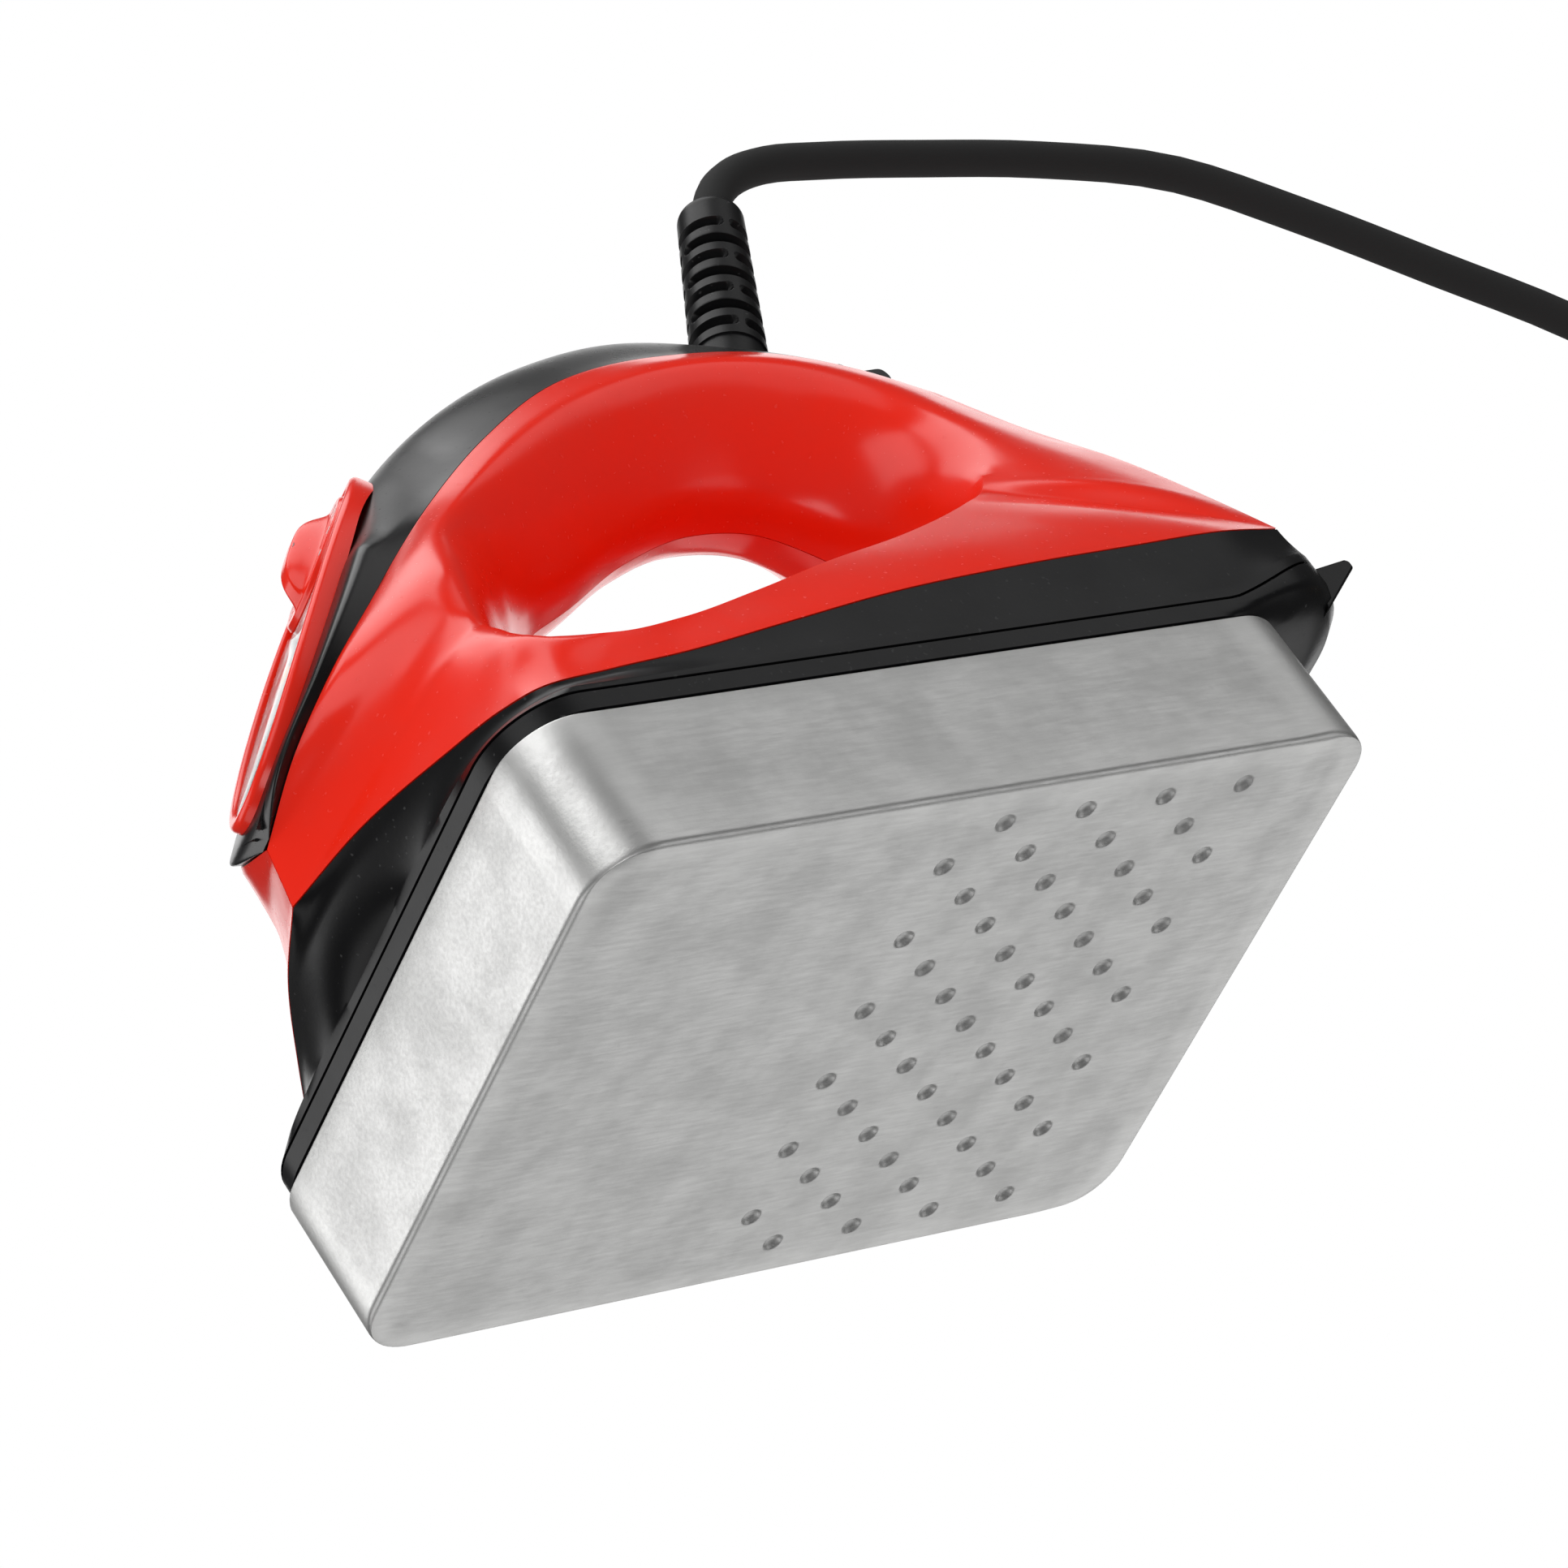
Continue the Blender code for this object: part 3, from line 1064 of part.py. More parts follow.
def cut_switch_opening(cover):
    size = (SWITCH_LENGTH + 2 * GAP, SWITCH_WIDTH + 2 * GAP, SWITCH_DEPTH)
    combine(cover, block("opening", size, BLACK, SWITCH))


def make_switch_body():
    def corners(length, width, z):
        return [(x * length / 2, y * width / 2, z) for x, y in ((1, 1), (-1, 1), (-1, -1), (1, -1))]

    hollow = (SWITCH_LENGTH - 2 * SWITCH_WALL, SWITCH_WIDTH - 2 * SWITCH_WALL)
    loops = [
        corners(SWITCH_LENGTH, SWITCH_WIDTH, -SWITCH_DEPTH), corners(SWITCH_LENGTH, SWITCH_WIDTH, 0),
        corners(*hollow, 0), corners(*hollow, -CAVITY_DEPTH),
    ]
    return in_frame(lofted("switch_body", loops, BLACK), SWITCH)


def make_switch_rocker():
    """A rocker with a round belly and two wings, resting on its rear contact."""
    wing = ROCKER_RADIUS - GAP
    around = np.radians(np.linspace(200, 340, 9))
    profile = [(ROCKER_RADIUS * math.cos(a), ROCKER_RADIUS * math.sin(a)) for a in around]
    profile += [(wing, ROCKER_WING), (0, ROCKER_DIP), (-wing, ROCKER_WING)]
    half = SWITCH_WIDTH / 2 - SWITCH_WALL - GAP
    rocker = lofted("switch_rocker", [[(x, y, z) for x, z in profile] for y in (-half, half)], BLACK)
    rocker.data.transform(Matrix.Rotation(-ROCKER_TILT, 4, "Y"))
    rocker.matrix_world = ROCKER_AXIS
    return rocker


def make_switch_blades():
    blades = []
    for x in (-0.25 * SWITCH_LENGTH, 0.25 * SWITCH_LENGTH):
        place = SWITCH @ Matrix.Translation((x, 0, -SWITCH_DEPTH - GAP - BLADE_SIZE[2] / 2))
        blades.append(block("blade", BLADE_SIZE, BRASS, place))
    numbered("switch_blade", blades)


# --- Cord, its strain relief and its plug -------------------------------------------------
GLAND_FOOT = RAILS.beyond[round(22.12 * FINE)] * MIDDLE
GLAND = Matrix.Translation(GLAND_FOOT) @ Matrix.Rotation(GLAND_TILT, 4, "Y")
GLAND_LOW = -GLAND_FLANGE_DEPTH - GLAND_FLANGE_THICKNESS


def cut_gland_hole(cover):
    bore = GLAND_NECK + 2 * GAP
    combine(cover, rod("neck_hole", bore, -GLAND_FLANGE_DEPTH, 6 * MM, sides=24, matrix=GLAND))


def make_strain_relief():
    """Moulded on the cord: a flange inside, a neck, and a slotted taper outside."""
    flange, neck, base, tip = (d / 2 for d in (GLAND_FLANGE, GLAND_NECK, GLAND_DIAMETER, GLAND_TIP_DIAMETER))
    profile = (
        (flange, GLAND_LOW), (flange, -GLAND_FLANGE_DEPTH), (neck, -GLAND_FLANGE_DEPTH), (neck, 1.2 * MM),
        (base, 1.2 * MM), (base, 5 * MM), (tip, GLAND_LENGTH - 0.8 * MM), (tip - 0.8 * MM, GLAND_LENGTH),
    )
    relief = turned("strain_relief", profile, RUBBER, 24, GLAND)
    slots = []
    for row in range(SLOT_ROWS):
        u = SLOT_FIRST + row * SLOT_PITCH
        radius = base + (tip - base) * u / GLAND_LENGTH
        for half_turn in (0, 1):
            turn = Matrix.Rotation(math.pi * (half_turn + row % 2 / 2), 4, "Z")
            place = GLAND @ turn @ Matrix.Translation((radius, 0, u))
            slots.append(block("slot", (2 * SLOT_DEPTH, 1.5 * radius, SLOT_WIDTH), RUBBER, place))
    return combine(relief, merged("slots", slots))


def make_cord_inside():
    high = GLAND_LOW - GAP
    depths = [high - share * CORD_LENGTH_INSIDE for share in (0, 0.5, 1)]
    points = [GLAND @ Matrix.Translation((0, 0, depth)) for depth in depths]
    return tube("cord_inside", [point.to_translation() for point in points], CORD_DIAMETER, RUBBER)


def make_cord_clamp():
    middle = GLAND_LOW - GAP - CORD_LENGTH_INSIDE / 2
    place = GLAND @ Matrix.Translation((0, 0, middle))
    clamp = block("cord_clamp", CLAMP_SIZE, BLACK, place)
    bore = rod("bore", CORD_DIAMETER + 2 * GAP, -CLAMP_SIZE[2], CLAMP_SIZE[2], sides=24, matrix=place)
    return combine(clamp, bore)


# The cord's way: out of the strain relief, over, and down to the floor beside its coil.
CORD_ROUTE = (
    (0.0822, 0, 0.1826), (0.0871, 0, 0.1881), (0.0936, 0, 0.1919), (0.1013, 0, 0.1937),
    (0.1130, 0, 0.1936), (0.1360, 0, 0.1918),
    (0.1617, 0, 0.1888), (0.1902, 0, 0.1817), (0.2107, 0, 0.1682), (0.2325, 0, 0.1510), (0.2540, 0, 0.1335),
    (0.2612, 0, 0.1258), (0.2660, 0, 0.1155), (0.2680, 0, 0.1040), (0.2670, 0, 0.0900), (0.2645, 0, 0.0720),
    (0.2615, 0, 0.0520), (0.2602, 0, 0.0360), (0.2612, 0, 0.0251), (0.2639, 0, 0.0185), (0.2672, 0, 0.0139),
)
TAIL_ROUTE = (
    (0.2423, 0.0214, 0.0103), (0.2423, 0.0130, 0.0107), (0.2423, 0.0040, 0.0128),
    (0.2423, -0.0050, 0.0162), (0.2423, -0.0120, 0.0183), (0.2423, -0.0170, 0.0185),
)
PLUG_ENTRY = Matrix.Translation((0.2423, -0.0175, PLUG_DIAMETER / 2)) @ Matrix.Rotation(math.pi / 2, 4, "X")


def make_power_cord():
    return tube("power_cord", through(CORD_ROUTE, 36), CORD_DIAMETER, RUBBER)


def make_cord_tail():
    return tube("cord_tail", through(TAIL_ROUTE, 5), CORD_DIAMETER, RUBBER)


def make_cord_coil():
    height, ease = (COIL_LAYERS + 0.03) * CORD_DIAMETER, 0.3 * CORD_DIAMETER
    lower = ((COIL_INNER, ease), (COIL_INNER + ease, 0), (COIL_OUTER - ease, 0), (COIL_OUTER, ease))
    profile = lower + tuple((radius, height - z) for radius, z in lower[::-1])
    return turned_ring("cord_coil", profile, RUBBER, 36, Matrix.Translation((*COIL_CENTRE, 0)))


def make_plug_body():
    """An earthed two-pin plug: a round face with a neck that narrows to the cord."""
    radius, length = PLUG_DIAMETER / 2, PLUG_LENGTH
    profile = (
        (5.4 * MM, 0), (6.2 * MM, 0.22 * length), (0.55 * radius, 0.34 * length),
        (0.8 * radius, 0.46 * length), (0.86 * radius, 0.62 * length), (radius, 0.7 * length),
        (radius, length - 0.8 * MM), (radius - 0.8 * MM, length),
    )
    plug = turned("plug_body", profile, RUBBER, 28, PLUG_ENTRY)
    notches = []
    notch_length = CLIP_LENGTH + GAP
    size = (2 * (CLIP_THICKNESS + 2 * GAP), CLIP_WIDTH + 2 * GAP, notch_length + 2 * MM)
    for half_turn in (0, 1):
        turn = Matrix.Rotation(math.pi * (half_turn + 0.5), 4, "Z")
        place = PLUG_ENTRY @ turn @ Matrix.Translation((radius, 0, length + 1 * MM - notch_length / 2))
        notches.append(block("notch", size, RUBBER, place))
    return combine(plug, merged("notches", notches))


def make_plug_earth_clips():
    clips = []
    for half_turn in (0, 1):
        turn = Matrix.Rotation(math.pi * (half_turn + 0.5), 4, "Z")
        out, along = PLUG_DIAMETER / 2 - GAP - CLIP_THICKNESS / 2, PLUG_LENGTH - CLIP_LENGTH / 2
        place = PLUG_ENTRY @ turn @ Matrix.Translation((out, 0, along))
        clips.append(block("clip", (CLIP_THICKNESS, CLIP_WIDTH, CLIP_LENGTH - GAP), BRASS, place))
    numbered("plug_earth_clip", clips)


def make_plug_pins():
    pins = []
    low, high, radius = PLUG_LENGTH + GAP, PLUG_LENGTH + PIN_LENGTH, PIN_DIAMETER / 2
    for x in (-PIN_PITCH / 2, PIN_PITCH / 2):
        profile = ((radius, low), (radius, high - 1 * MM), (0.6 * radius, high))
        pins.append(turned("pin", profile, BRASS, 12, PLUG_ENTRY @ Matrix.Translation((x, 0, 0))))
    numbered("plug_pin", pins)


# --- Leads inside -------------------------------------------------------------------------
LEAD_HEIGHT = CHASSIS_TOP + GAP + TERMINAL_SIZE[2] / 2


def make_supply_lead():
    """The mains wires in their sleeve, from the cord's clamp round the opening to the terminals."""
    low = GLAND_LOW - 4 * GAP - CORD_LENGTH_INSIDE
    start = [GLAND @ Matrix.Translation((0, 0, z)) for z in (low, low - 4 * MM)]
    end = TERMINAL_X + TERMINAL_SIZE[0] / 2 + GAP
    middle = placed([(56, 0, 112.5), (64, 0, 106.5), (73, 0, 99), (79, 0, 86), (80, 0, 70), (74, 0, 52)])
    finish = [(end + 8 * MM, 0, LEAD_HEIGHT + 1 * MM), (end, 0, LEAD_HEIGHT)]
    route = [*(place.to_translation() for place in start), *middle, *finish]
    return tube("supply_lead", through(route, 16), SUPPLY_LEAD_DIAMETER, COPPER)


def make_board_lead():
    start = FACE @ Matrix.Translation((-0.25 * BOARD_LENGTH, 0, BOARD_TOP - BOARD_THICKNESS - 3 * GAP))
    end = TERMINAL_X - TERMINAL_SIZE[0] / 2 - GAP
    middle = placed([(-51, 0, 66), (-49, 0, 56), (-44, 0, 47), (-30, 0, 42), (0, 0, 40)])
    route = [start.to_translation(), *middle, (end, 0, LEAD_HEIGHT)]
    return tube("board_lead", through(route, 14), BOARD_LEAD_DIAMETER, COPPER)


def make_element_leads():
    """From each end of the element up through the shield and the chassis to the terminals."""
    leads = []
    for side in (-1, 1):
        y = side * HEATER_BEND
        edge = side * (TERMINAL_SIZE[1] / 2 + 2 * GAP)
        route = [
            (HEATER_END_X, y, HEATER_Z + HEATER_RISE + GAP), (HEATER_END_X, y, CHASSIS_Z),
            (HEATER_END_X, y, CHASSIS_TOP + 2 * MM),
            (HEATER_END_X - 3 * MM, y - side * 2 * MM, LEAD_HEIGHT - 1 * MM),
            (HEATER_END_X - 7 * MM, edge + side * 3 * MM, LEAD_HEIGHT),
            (HEATER_END_X - 7 * MM, edge, LEAD_HEIGHT),
        ]
        leads.append(tube("lead", through(route, 10), BOARD_LEAD_DIAMETER, COPPER))
    numbered("element_lead", leads)


# --- Build --------------------------------------------------------------------------
def clear_scene():
    for thing in list(bpy.data.objects):
        bpy.data.objects.remove(thing)


def main():
    clear_scene()
    make_sole_plate()
    make_heating_element()
    make_element_clamp()
    make_element_screw()
    make_temperature_sensor()
    make_thermal_fuse()
    make_heat_shield()
    make_heat_spacers()
    make_chassis_plate()
    make_plate_screws()
    make_terminal_block()
    make_base_ring()
    make_base_housing()
    make_shell("left_shell", -1)
    make_shell("right_shell", 1)
    cover = make_spine_cover()
    cut_dial_holes(cover)
    cut_switch_opening(cover)
    cut_gland_hole(cover)
    make_rear_cover()
    make_dial_bezel()
    make_dial_panel()
    make_temperature_knob()
    make_potentiometer_shaft()
    make_potentiometer()
    make_control_board()
    make_board_spacers()
    make_board_screws()
    make_indicator_lamp()
    make_switch_body()
    make_switch_rocker()
    make_switch_blades()
    make_strain_relief()
    make_cord_inside()
    make_cord_clamp()
    make_power_cord()
    make_cord_coil()
    make_cord_tail()
    make_plug_body()
    make_plug_pins()
    make_plug_earth_clips()
    make_supply_lead()
    make_board_lead()
    make_element_leads()


main()
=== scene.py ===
"""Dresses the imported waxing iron: smooth body, plate, dial, switch, strain relief, cord and plug.

All lengths are in metres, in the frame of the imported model: the sole face lies at z = 0,
+X points to the heel and the cord, and +Y to the far side.
"""

import json
import math

import bmesh
import bpy
import numpy as np
from mathutils import Matrix, Vector


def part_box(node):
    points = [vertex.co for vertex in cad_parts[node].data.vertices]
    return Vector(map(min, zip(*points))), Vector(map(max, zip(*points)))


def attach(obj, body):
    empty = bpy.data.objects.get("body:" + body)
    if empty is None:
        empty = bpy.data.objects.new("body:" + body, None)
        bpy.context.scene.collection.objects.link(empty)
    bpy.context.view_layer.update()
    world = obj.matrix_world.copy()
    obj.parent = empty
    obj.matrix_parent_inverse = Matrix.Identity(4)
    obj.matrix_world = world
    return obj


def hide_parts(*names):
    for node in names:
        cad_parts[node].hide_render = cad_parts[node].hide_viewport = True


bl_info = {
    "name": "Waxing Iron",
    "version": (1, 0, 0),
    "blender": (4, 5, 0),
    "location": "View3D > Sidebar > Waxing Iron",
    "description": "Builds the visible pieces and finishes of a waxing iron",
    "category": "Add Mesh",
}

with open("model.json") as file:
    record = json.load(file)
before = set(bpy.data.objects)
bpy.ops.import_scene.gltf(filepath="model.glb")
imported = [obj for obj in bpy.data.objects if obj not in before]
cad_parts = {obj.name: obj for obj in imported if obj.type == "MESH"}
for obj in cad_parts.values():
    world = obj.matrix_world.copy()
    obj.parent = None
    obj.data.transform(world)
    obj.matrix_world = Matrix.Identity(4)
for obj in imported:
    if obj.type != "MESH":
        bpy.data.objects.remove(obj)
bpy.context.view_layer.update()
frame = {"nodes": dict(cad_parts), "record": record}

MM = 0.001
GAP = 0.3 * MM  # between pieces that touch
MERGE_DISTANCE = 0.002 * MM
SMOOTH_ANGLE = 32  # degrees between faces that still shade as one
PLATE_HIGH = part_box("sole_plate")[1]
HEEL_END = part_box("base_housing")[1].x - 2.5 * MM

# --- Settings ---------------------------------------------------------------------
class IronBodySettings(bpy.types.PropertyGroup):
    """The hollow body's wall and its colour."""

    shell_wall: bpy.props.FloatProperty(
        name="Shell Wall", description="Thickness of the shells and covers",
        default=2.4 * MM, min=1 * MM, max=4 * MM, subtype="DISTANCE", unit="LENGTH",
    )
    red_colour: bpy.props.FloatVectorProperty(
        name="Body Colour", description="Colour of the shells, rear cover, dial frame and knob",
        default=(0.80, 0.016, 0.004), min=0.0, max=1.0, size=3, subtype="COLOR",
    )


class IronPlateSettings(bpy.types.PropertyGroup):
    """The sole plate's edge, its wax dimples and its metal."""

    sole_fillet: bpy.props.FloatProperty(
        name="Sole Fillet", description="Radius of the edge between sole and walls",
        default=1.2 * MM, min=0.4 * MM, max=3 * MM, subtype="DISTANCE", unit="LENGTH",
    )
    dimple_radius: bpy.props.FloatProperty(
        name="Dimple Radius", description="Radius of each wax dimple",
        default=1.85 * MM, min=1 * MM, max=2.5 * MM, subtype="DISTANCE", unit="LENGTH",
    )
    dimple_depth: bpy.props.FloatProperty(
        name="Dimple Depth", description="Depth of each wax dimple",
        default=0.9 * MM, min=0.2 * MM, max=1.5 * MM, subtype="DISTANCE", unit="LENGTH",
    )
    colour: bpy.props.FloatVectorProperty(
        name="Plate Colour", description="Colour of the cast sole plate",
        default=(0.74, 0.74, 0.73), min=0.0, max=1.0, size=3, subtype="COLOR",
    )


class IronDialSettings(bpy.types.PropertyGroup):
    """The dial's frame and knob."""

    frame_length: bpy.props.FloatProperty(
        name="Frame Length", description="Length of the dial's frame",
        default=81.6 * MM, min=76 * MM, max=90 * MM, subtype="DISTANCE", unit="LENGTH",
    )
    frame_width: bpy.props.FloatProperty(
        name="Frame Width", description="Width of the dial's frame",
        default=33 * MM, min=30 * MM, max=38 * MM, subtype="DISTANCE", unit="LENGTH",
    )
    knob_radius: bpy.props.FloatProperty(
        name="Knob Radius", description="Radius of the knob's disc",
        default=11.8 * MM, min=10 * MM, max=13 * MM, subtype="DISTANCE", unit="LENGTH",
    )
    grip_height: bpy.props.FloatProperty(
        name="Grip Height", description="Height of the arched grip over the disc",
        default=4.3 * MM, min=2 * MM, max=8 * MM, subtype="DISTANCE", unit="LENGTH",
    )
    grip_width: bpy.props.FloatProperty(
        name="Grip Width", description="Width of the arched grip at its middle",
        default=7 * MM, min=4 * MM, max=10 * MM, subtype="DISTANCE", unit="LENGTH",
    )


class IronCordSettings(bpy.types.PropertyGroup):
    """The strain relief's slots and the cord's rubber."""

    slot_depth: bpy.props.FloatProperty(
        name="Slot Depth", description="Depth of the strain relief's slots",
        default=2.2 * MM, min=0.5 * MM, max=2.4 * MM, subtype="DISTANCE", unit="LENGTH",
    )
    rubber_colour: bpy.props.FloatVectorProperty(
        name="Cord Colour", description="Colour of the cord's rubber",
        default=(0.009, 0.009, 0.0095), min=0.0, max=1.0, size=3, subtype="COLOR",
    )


class IronStudioSettings(bpy.types.PropertyGroup):
    """The light that the iron stands in."""

    world_light: bpy.props.FloatProperty(
        name="World Light", description="Strength of the even light from all round",
        default=0.55, min=0.0, max=2.0,
    )
    lamp_light: bpy.props.FloatProperty(
        name="Lamp Light", description="Strength of the soft boxes, 1 as designed",
        default=1.0, min=0.0, max=4.0,
    )


class IronSettings(bpy.types.PropertyGroup):
    """All settings of the iron, by group."""

    body: bpy.props.PointerProperty(type=IronBodySettings)
    plate: bpy.props.PointerProperty(type=IronPlateSettings)
    dial: bpy.props.PointerProperty(type=IronDialSettings)
    cord: bpy.props.PointerProperty(type=IronCordSettings)
    studio: bpy.props.PointerProperty(type=IronStudioSettings)


def settings():
    """The settings as they stand in the scene."""
    return bpy.context.scene.iron


# --- The drawing of the body ------------------------------------------------------
# Each station gives the opening's edge (x, z), the rim, the seam and the point beyond
# the seam (x, y, z each) in millimetres, then how crisp the rim is and whether the seam
# turns a corner there. They run from the heel's lower corner forward along the skirt,
# up the nose, over the handle and down the hip.
STATIONS = (
    ((59, 80.5), (57, -35.2, 78.5), (89, -52.5, 47), (91, -54, 31), 1, 1),
    ((53, 76.5), (49, -38.5, 73.5), (74, -56, 45), (74, -56, 31), 1, 0),
    ((43, 71.3), (38, -41.8, 68), (54, -56, 44.5), (54, -56, 31), 1, 0),
    ((29, 66.3), (25, -44.7, 62.8), (33, -56, 43.8), (33, -56, 31), 1, 0),
    ((10, 61.2), (5, -48.2, 56.5), (5, -55.8, 42), (5, -56, 31), 1, 0),
    ((-11, 57.8), (-14, -50.6, 50.4), (-18, -55.6, 39), (-18, -56, 31), 1, 0),
    ((-26, 55.6), (-32, -52.3, 45.6), (-38, -55.3, 36.4), (-38, -56, 31), 1, 0),
    ((-36, 54.4), (-46, -53, 44), (-52, -54.2, 36), (-55, -55, 31), 1, 0),
    ((-39, 55.2), (-54, -51.5, 46.5), (-63, -51, 37), (-69, -53, 31), 0.8, 0),
    ((-38.6, 57.2), (-57, -49, 50.5), (-65.5, -45, 39.2), (-72, -44, 31), 0.5, 0),
    ((-38, 59), (-57.6, -46.2, 54), (-70.5, -33.5, 41.5), (-75, -30, 31), 0.3, 0),
    ((-37, 61), (-57.2, -44.4, 58), (-77.2, -17.2, 43.9), (-75, -14, 31), 0.1, 0),
    ((-36.2, 62.5), (-56.4, -42.9, 61.5), (-82.6, 0, 44.6), (-82.6, 12, 44.3), 0, 1),
    ((-35, 64.5), (-55.3, -41.3, 65.5), (-80.7, 0, 56.3), (-80.7, 12, 56), 0, 1),
    ((-33.5, 67), (-53.6, -39.9, 70), (-76.5, -12, 63.5), (-79, 0, 63.7), 0, 0),
    ((-31, 71), (-51, -38, 76), (-68.2, -20.8, 72.0), (-71, 0, 72.9), 0, 0),
    ((-27, 76.5), (-46, -34.5, 83), (-56.5, -24.4, 82.1), (-60, 0, 85.6), 0, 0),
    ((-21, 83.5), (-39, -29.5, 91.5), (-45.3, -23.9, 92.1), (-46, 0, 101.8), 0, 0),
    ((-13, 90), (-28, -24.8, 99.5), (-32.8, -22.0, 102.6), (-27.3, 0, 123.4), 0, 0),
    ((0, 96.2), (-10, -21.5, 108.5), (-13, -20, 117), (-8, 0, 136.7), 0, 0),
    ((16, 104.2), (12, -19, 120), (13, -16.3, 131.5), (17, 0, 147.2), 0, 0),
    ((33, 108.4), (36, -18, 128), (39, -13, 137.5), (41, 0, 151.2), 0, 0),
    ((45, 106.5), (54, -18.4, 124.5), (60, -12.5, 136), (62, 0, 146.3), 0, 0),
    ((52.5, 101), (63, -19.6, 116.5), (76, -12, 130.5), (79, 0, 139.5), 0, 0),
    ((57.5, 95.5), (66, -22.3, 108), (88, -12, 123), (96, 0, 127), 0, 1),
    ((61.2, 89.5), (66.6, -26.8, 97.5), (92.5, -18, 108), (101, 0, 109), 0.2, 0),
    ((62.2, 85.5), (64, -31, 88), (93, -32, 84), (102, 0, 84), 0.6, 0),
    ((61, 82.3), (60.5, -33.8, 82), (91.5, -44, 62), (101.5, 0, 62), 1, 0),
)
CHIN, RING_TIP, SPINE_END = 12, 13, 24
# How often points are averaged with their neighbours, and how much of it they take each time.
SHELL_PASSES, SHELL_SHARE, NOSE_PASSES, NOSE_SHARE = 50, 0.4, 80, 0.45
NOSE_START, NOSE_FULL = -62 * MM, -72 * MM
# How flat the shell runs from the rim to its seam, by station: flat beside the face.
FLATNESS = ((0, 0), (8, 0), (10, 0.75), (15.5, 0.75), (18, 0), (28, 0))
# How far the shell turns towards what lies beyond its seam, by station.
SEAM_EASE = (
    (0, 0.3), (1, 0.6), (6, 0.6), (8, 0.1), (11, 0.1), (12, 1), (24, 1), (24.1, 0.3), (28, 0.3),
)
FINE = 20  # samples from one station to the next
STEP = 2  # of these samples, how many lie between two rows of a shell
LAST = len(STATIONS)
MIDDLE = np.array([1, 0, 1])  # carries a point into the middle plane
MIRROR = np.array([1, -1, 1])  # carries a point to the other side
ACROSS = np.array([0, 1.0, 0])
REAR_FOOT = np.array([101.5, 0, 46.5]) * MM
HIP_DEPTH = 26 * MM
PLATE_CORNER, RING_WALL = 14 * MM, 5 * MM
HALF_LENGTH, HALF_WIDTH, PLATE_TOP = PLATE_HIGH.x, PLATE_HIGH.y, PLATE_HIGH.z
LIP_BASE, HEEL_RISE, HEEL_CORNER, HEEL_EDGE = PLATE_TOP + 4 * MM, 11.5 * MM, 20 * MM, 3 * MM
HEEL_START = HALF_LENGTH - 8 * MM
HEEL_LEAVE = np.array([0.7, 1.0, 0]) / math.hypot(0.7, 1)
SKIRT_WALL = 2.4 * MM


# --- Curves and rails -------------------------------------------------------------
def unit(vectors):
    """The vectors at length 1."""
    return vectors / np.maximum(np.linalg.norm(vectors, axis=-1, keepdims=True), 1e-12)


def hermite(start, end, leave, arrive, t):
    """Cubic from start to end, with the tangents leave and arrive."""
    return (
        (2 * t**3 - 3 * t**2 + 1) * start
        + (t**3 - 2 * t**2 + t) * leave
        + (3 * t**2 - 2 * t**3) * end
        + (t**3 - t**2) * arrive
    )


def smoothstep(low, high, values):
    """Runs from 0 at low to 1 at high, with level ends."""
    t = np.clip((values - low) / (high - low), 0, 1)
    return t * t * (3 - 2 * t)


def ring_through(points, steps, corners=None):
    """A closed smooth curve through the points, with one-sided tangents at corners."""
    after, before = np.roll(points, -1, 0), np.roll(points, 1, 0)
    ahead = np.linalg.norm(after - points, axis=1, keepdims=True)
    behind = np.linalg.norm(points - before, axis=1, keepdims=True)
    out, back = (after - points) / ahead, (points - before) / behind
    leave = (out * behind + back * ahead) / (ahead + behind)
    arrive = leave.copy()
    if corners is not None:
        leave[corners], arrive[corners] = out[corners], back[corners]
    t = (np.arange(steps) / steps)[None, :, None]
    curve = hermite(
        points[:, None], after[:, None],
        (ahead * leave)[:, None], (ahead * np.roll(arrive, -1, 0))[:, None], t,
    )
    return curve.reshape(-1, points.shape[1])


class Rails:
    """The four rails of the body, sampled at the same parameter."""

    def __init__(self, steps):
        corners = np.array([station[5] for station in STATIONS], bool)
        hole = np.array([(s[0][0], 0, s[0][1]) for s in STATIONS], float) * MM
        rim, seam, beyond = (np.array([s[k] for s in STATIONS], float) * MM for k in (1, 2, 3))
        self.hole = ring_through(hole, steps)
        self.rim = ring_through(rim, steps)
        self.seam = ring_through(seam, steps, corners)
        self.beyond = ring_through(beyond, steps, corners)
        at = np.arange(LAST * steps) / steps
        crisp = [s[4] for s in STATIONS]
        self.crisp = np.interp(at, np.arange(LAST + 1), [*crisp, crisp[0]])[:, None]
        self.flat = np.interp(at, *zip(*FLATNESS))[:, None]
        share = np.interp(at, *zip(*SEAM_EASE))[:, None]
        straight, onward = unit(self.seam - self.rim), unit(self.beyond - self.rim)
        self.at_seam = unit(straight * (1 - share) + onward * share)
        core = self.seam * np.array([0.6, 0, 1])
        over = slice(RING_TIP * steps, SPINE_END * steps + 1)
        core[over] = (self.hole[over] + self.beyond[over] * MIDDLE) / 2
        hips = slice(SPINE_END * steps + 1, LAST * steps)
        core[hips] = self.seam[hips] * MIDDLE - np.array([HIP_DEPTH, 0, 0])
        self.core, self.inward = core, unit(core - self.seam)


RAILS = Rails(FINE)
FACE_LOW, FACE_HIGH = np.array([-81.5, 0, 60.8]) * MM, np.array([-22, 0, 129.5]) * MM
UP_SLOPE = unit(FACE_HIGH - FACE_LOW)
OFF_FACE = np.array([-UP_SLOPE[2], 0, UP_SLOPE[0]])


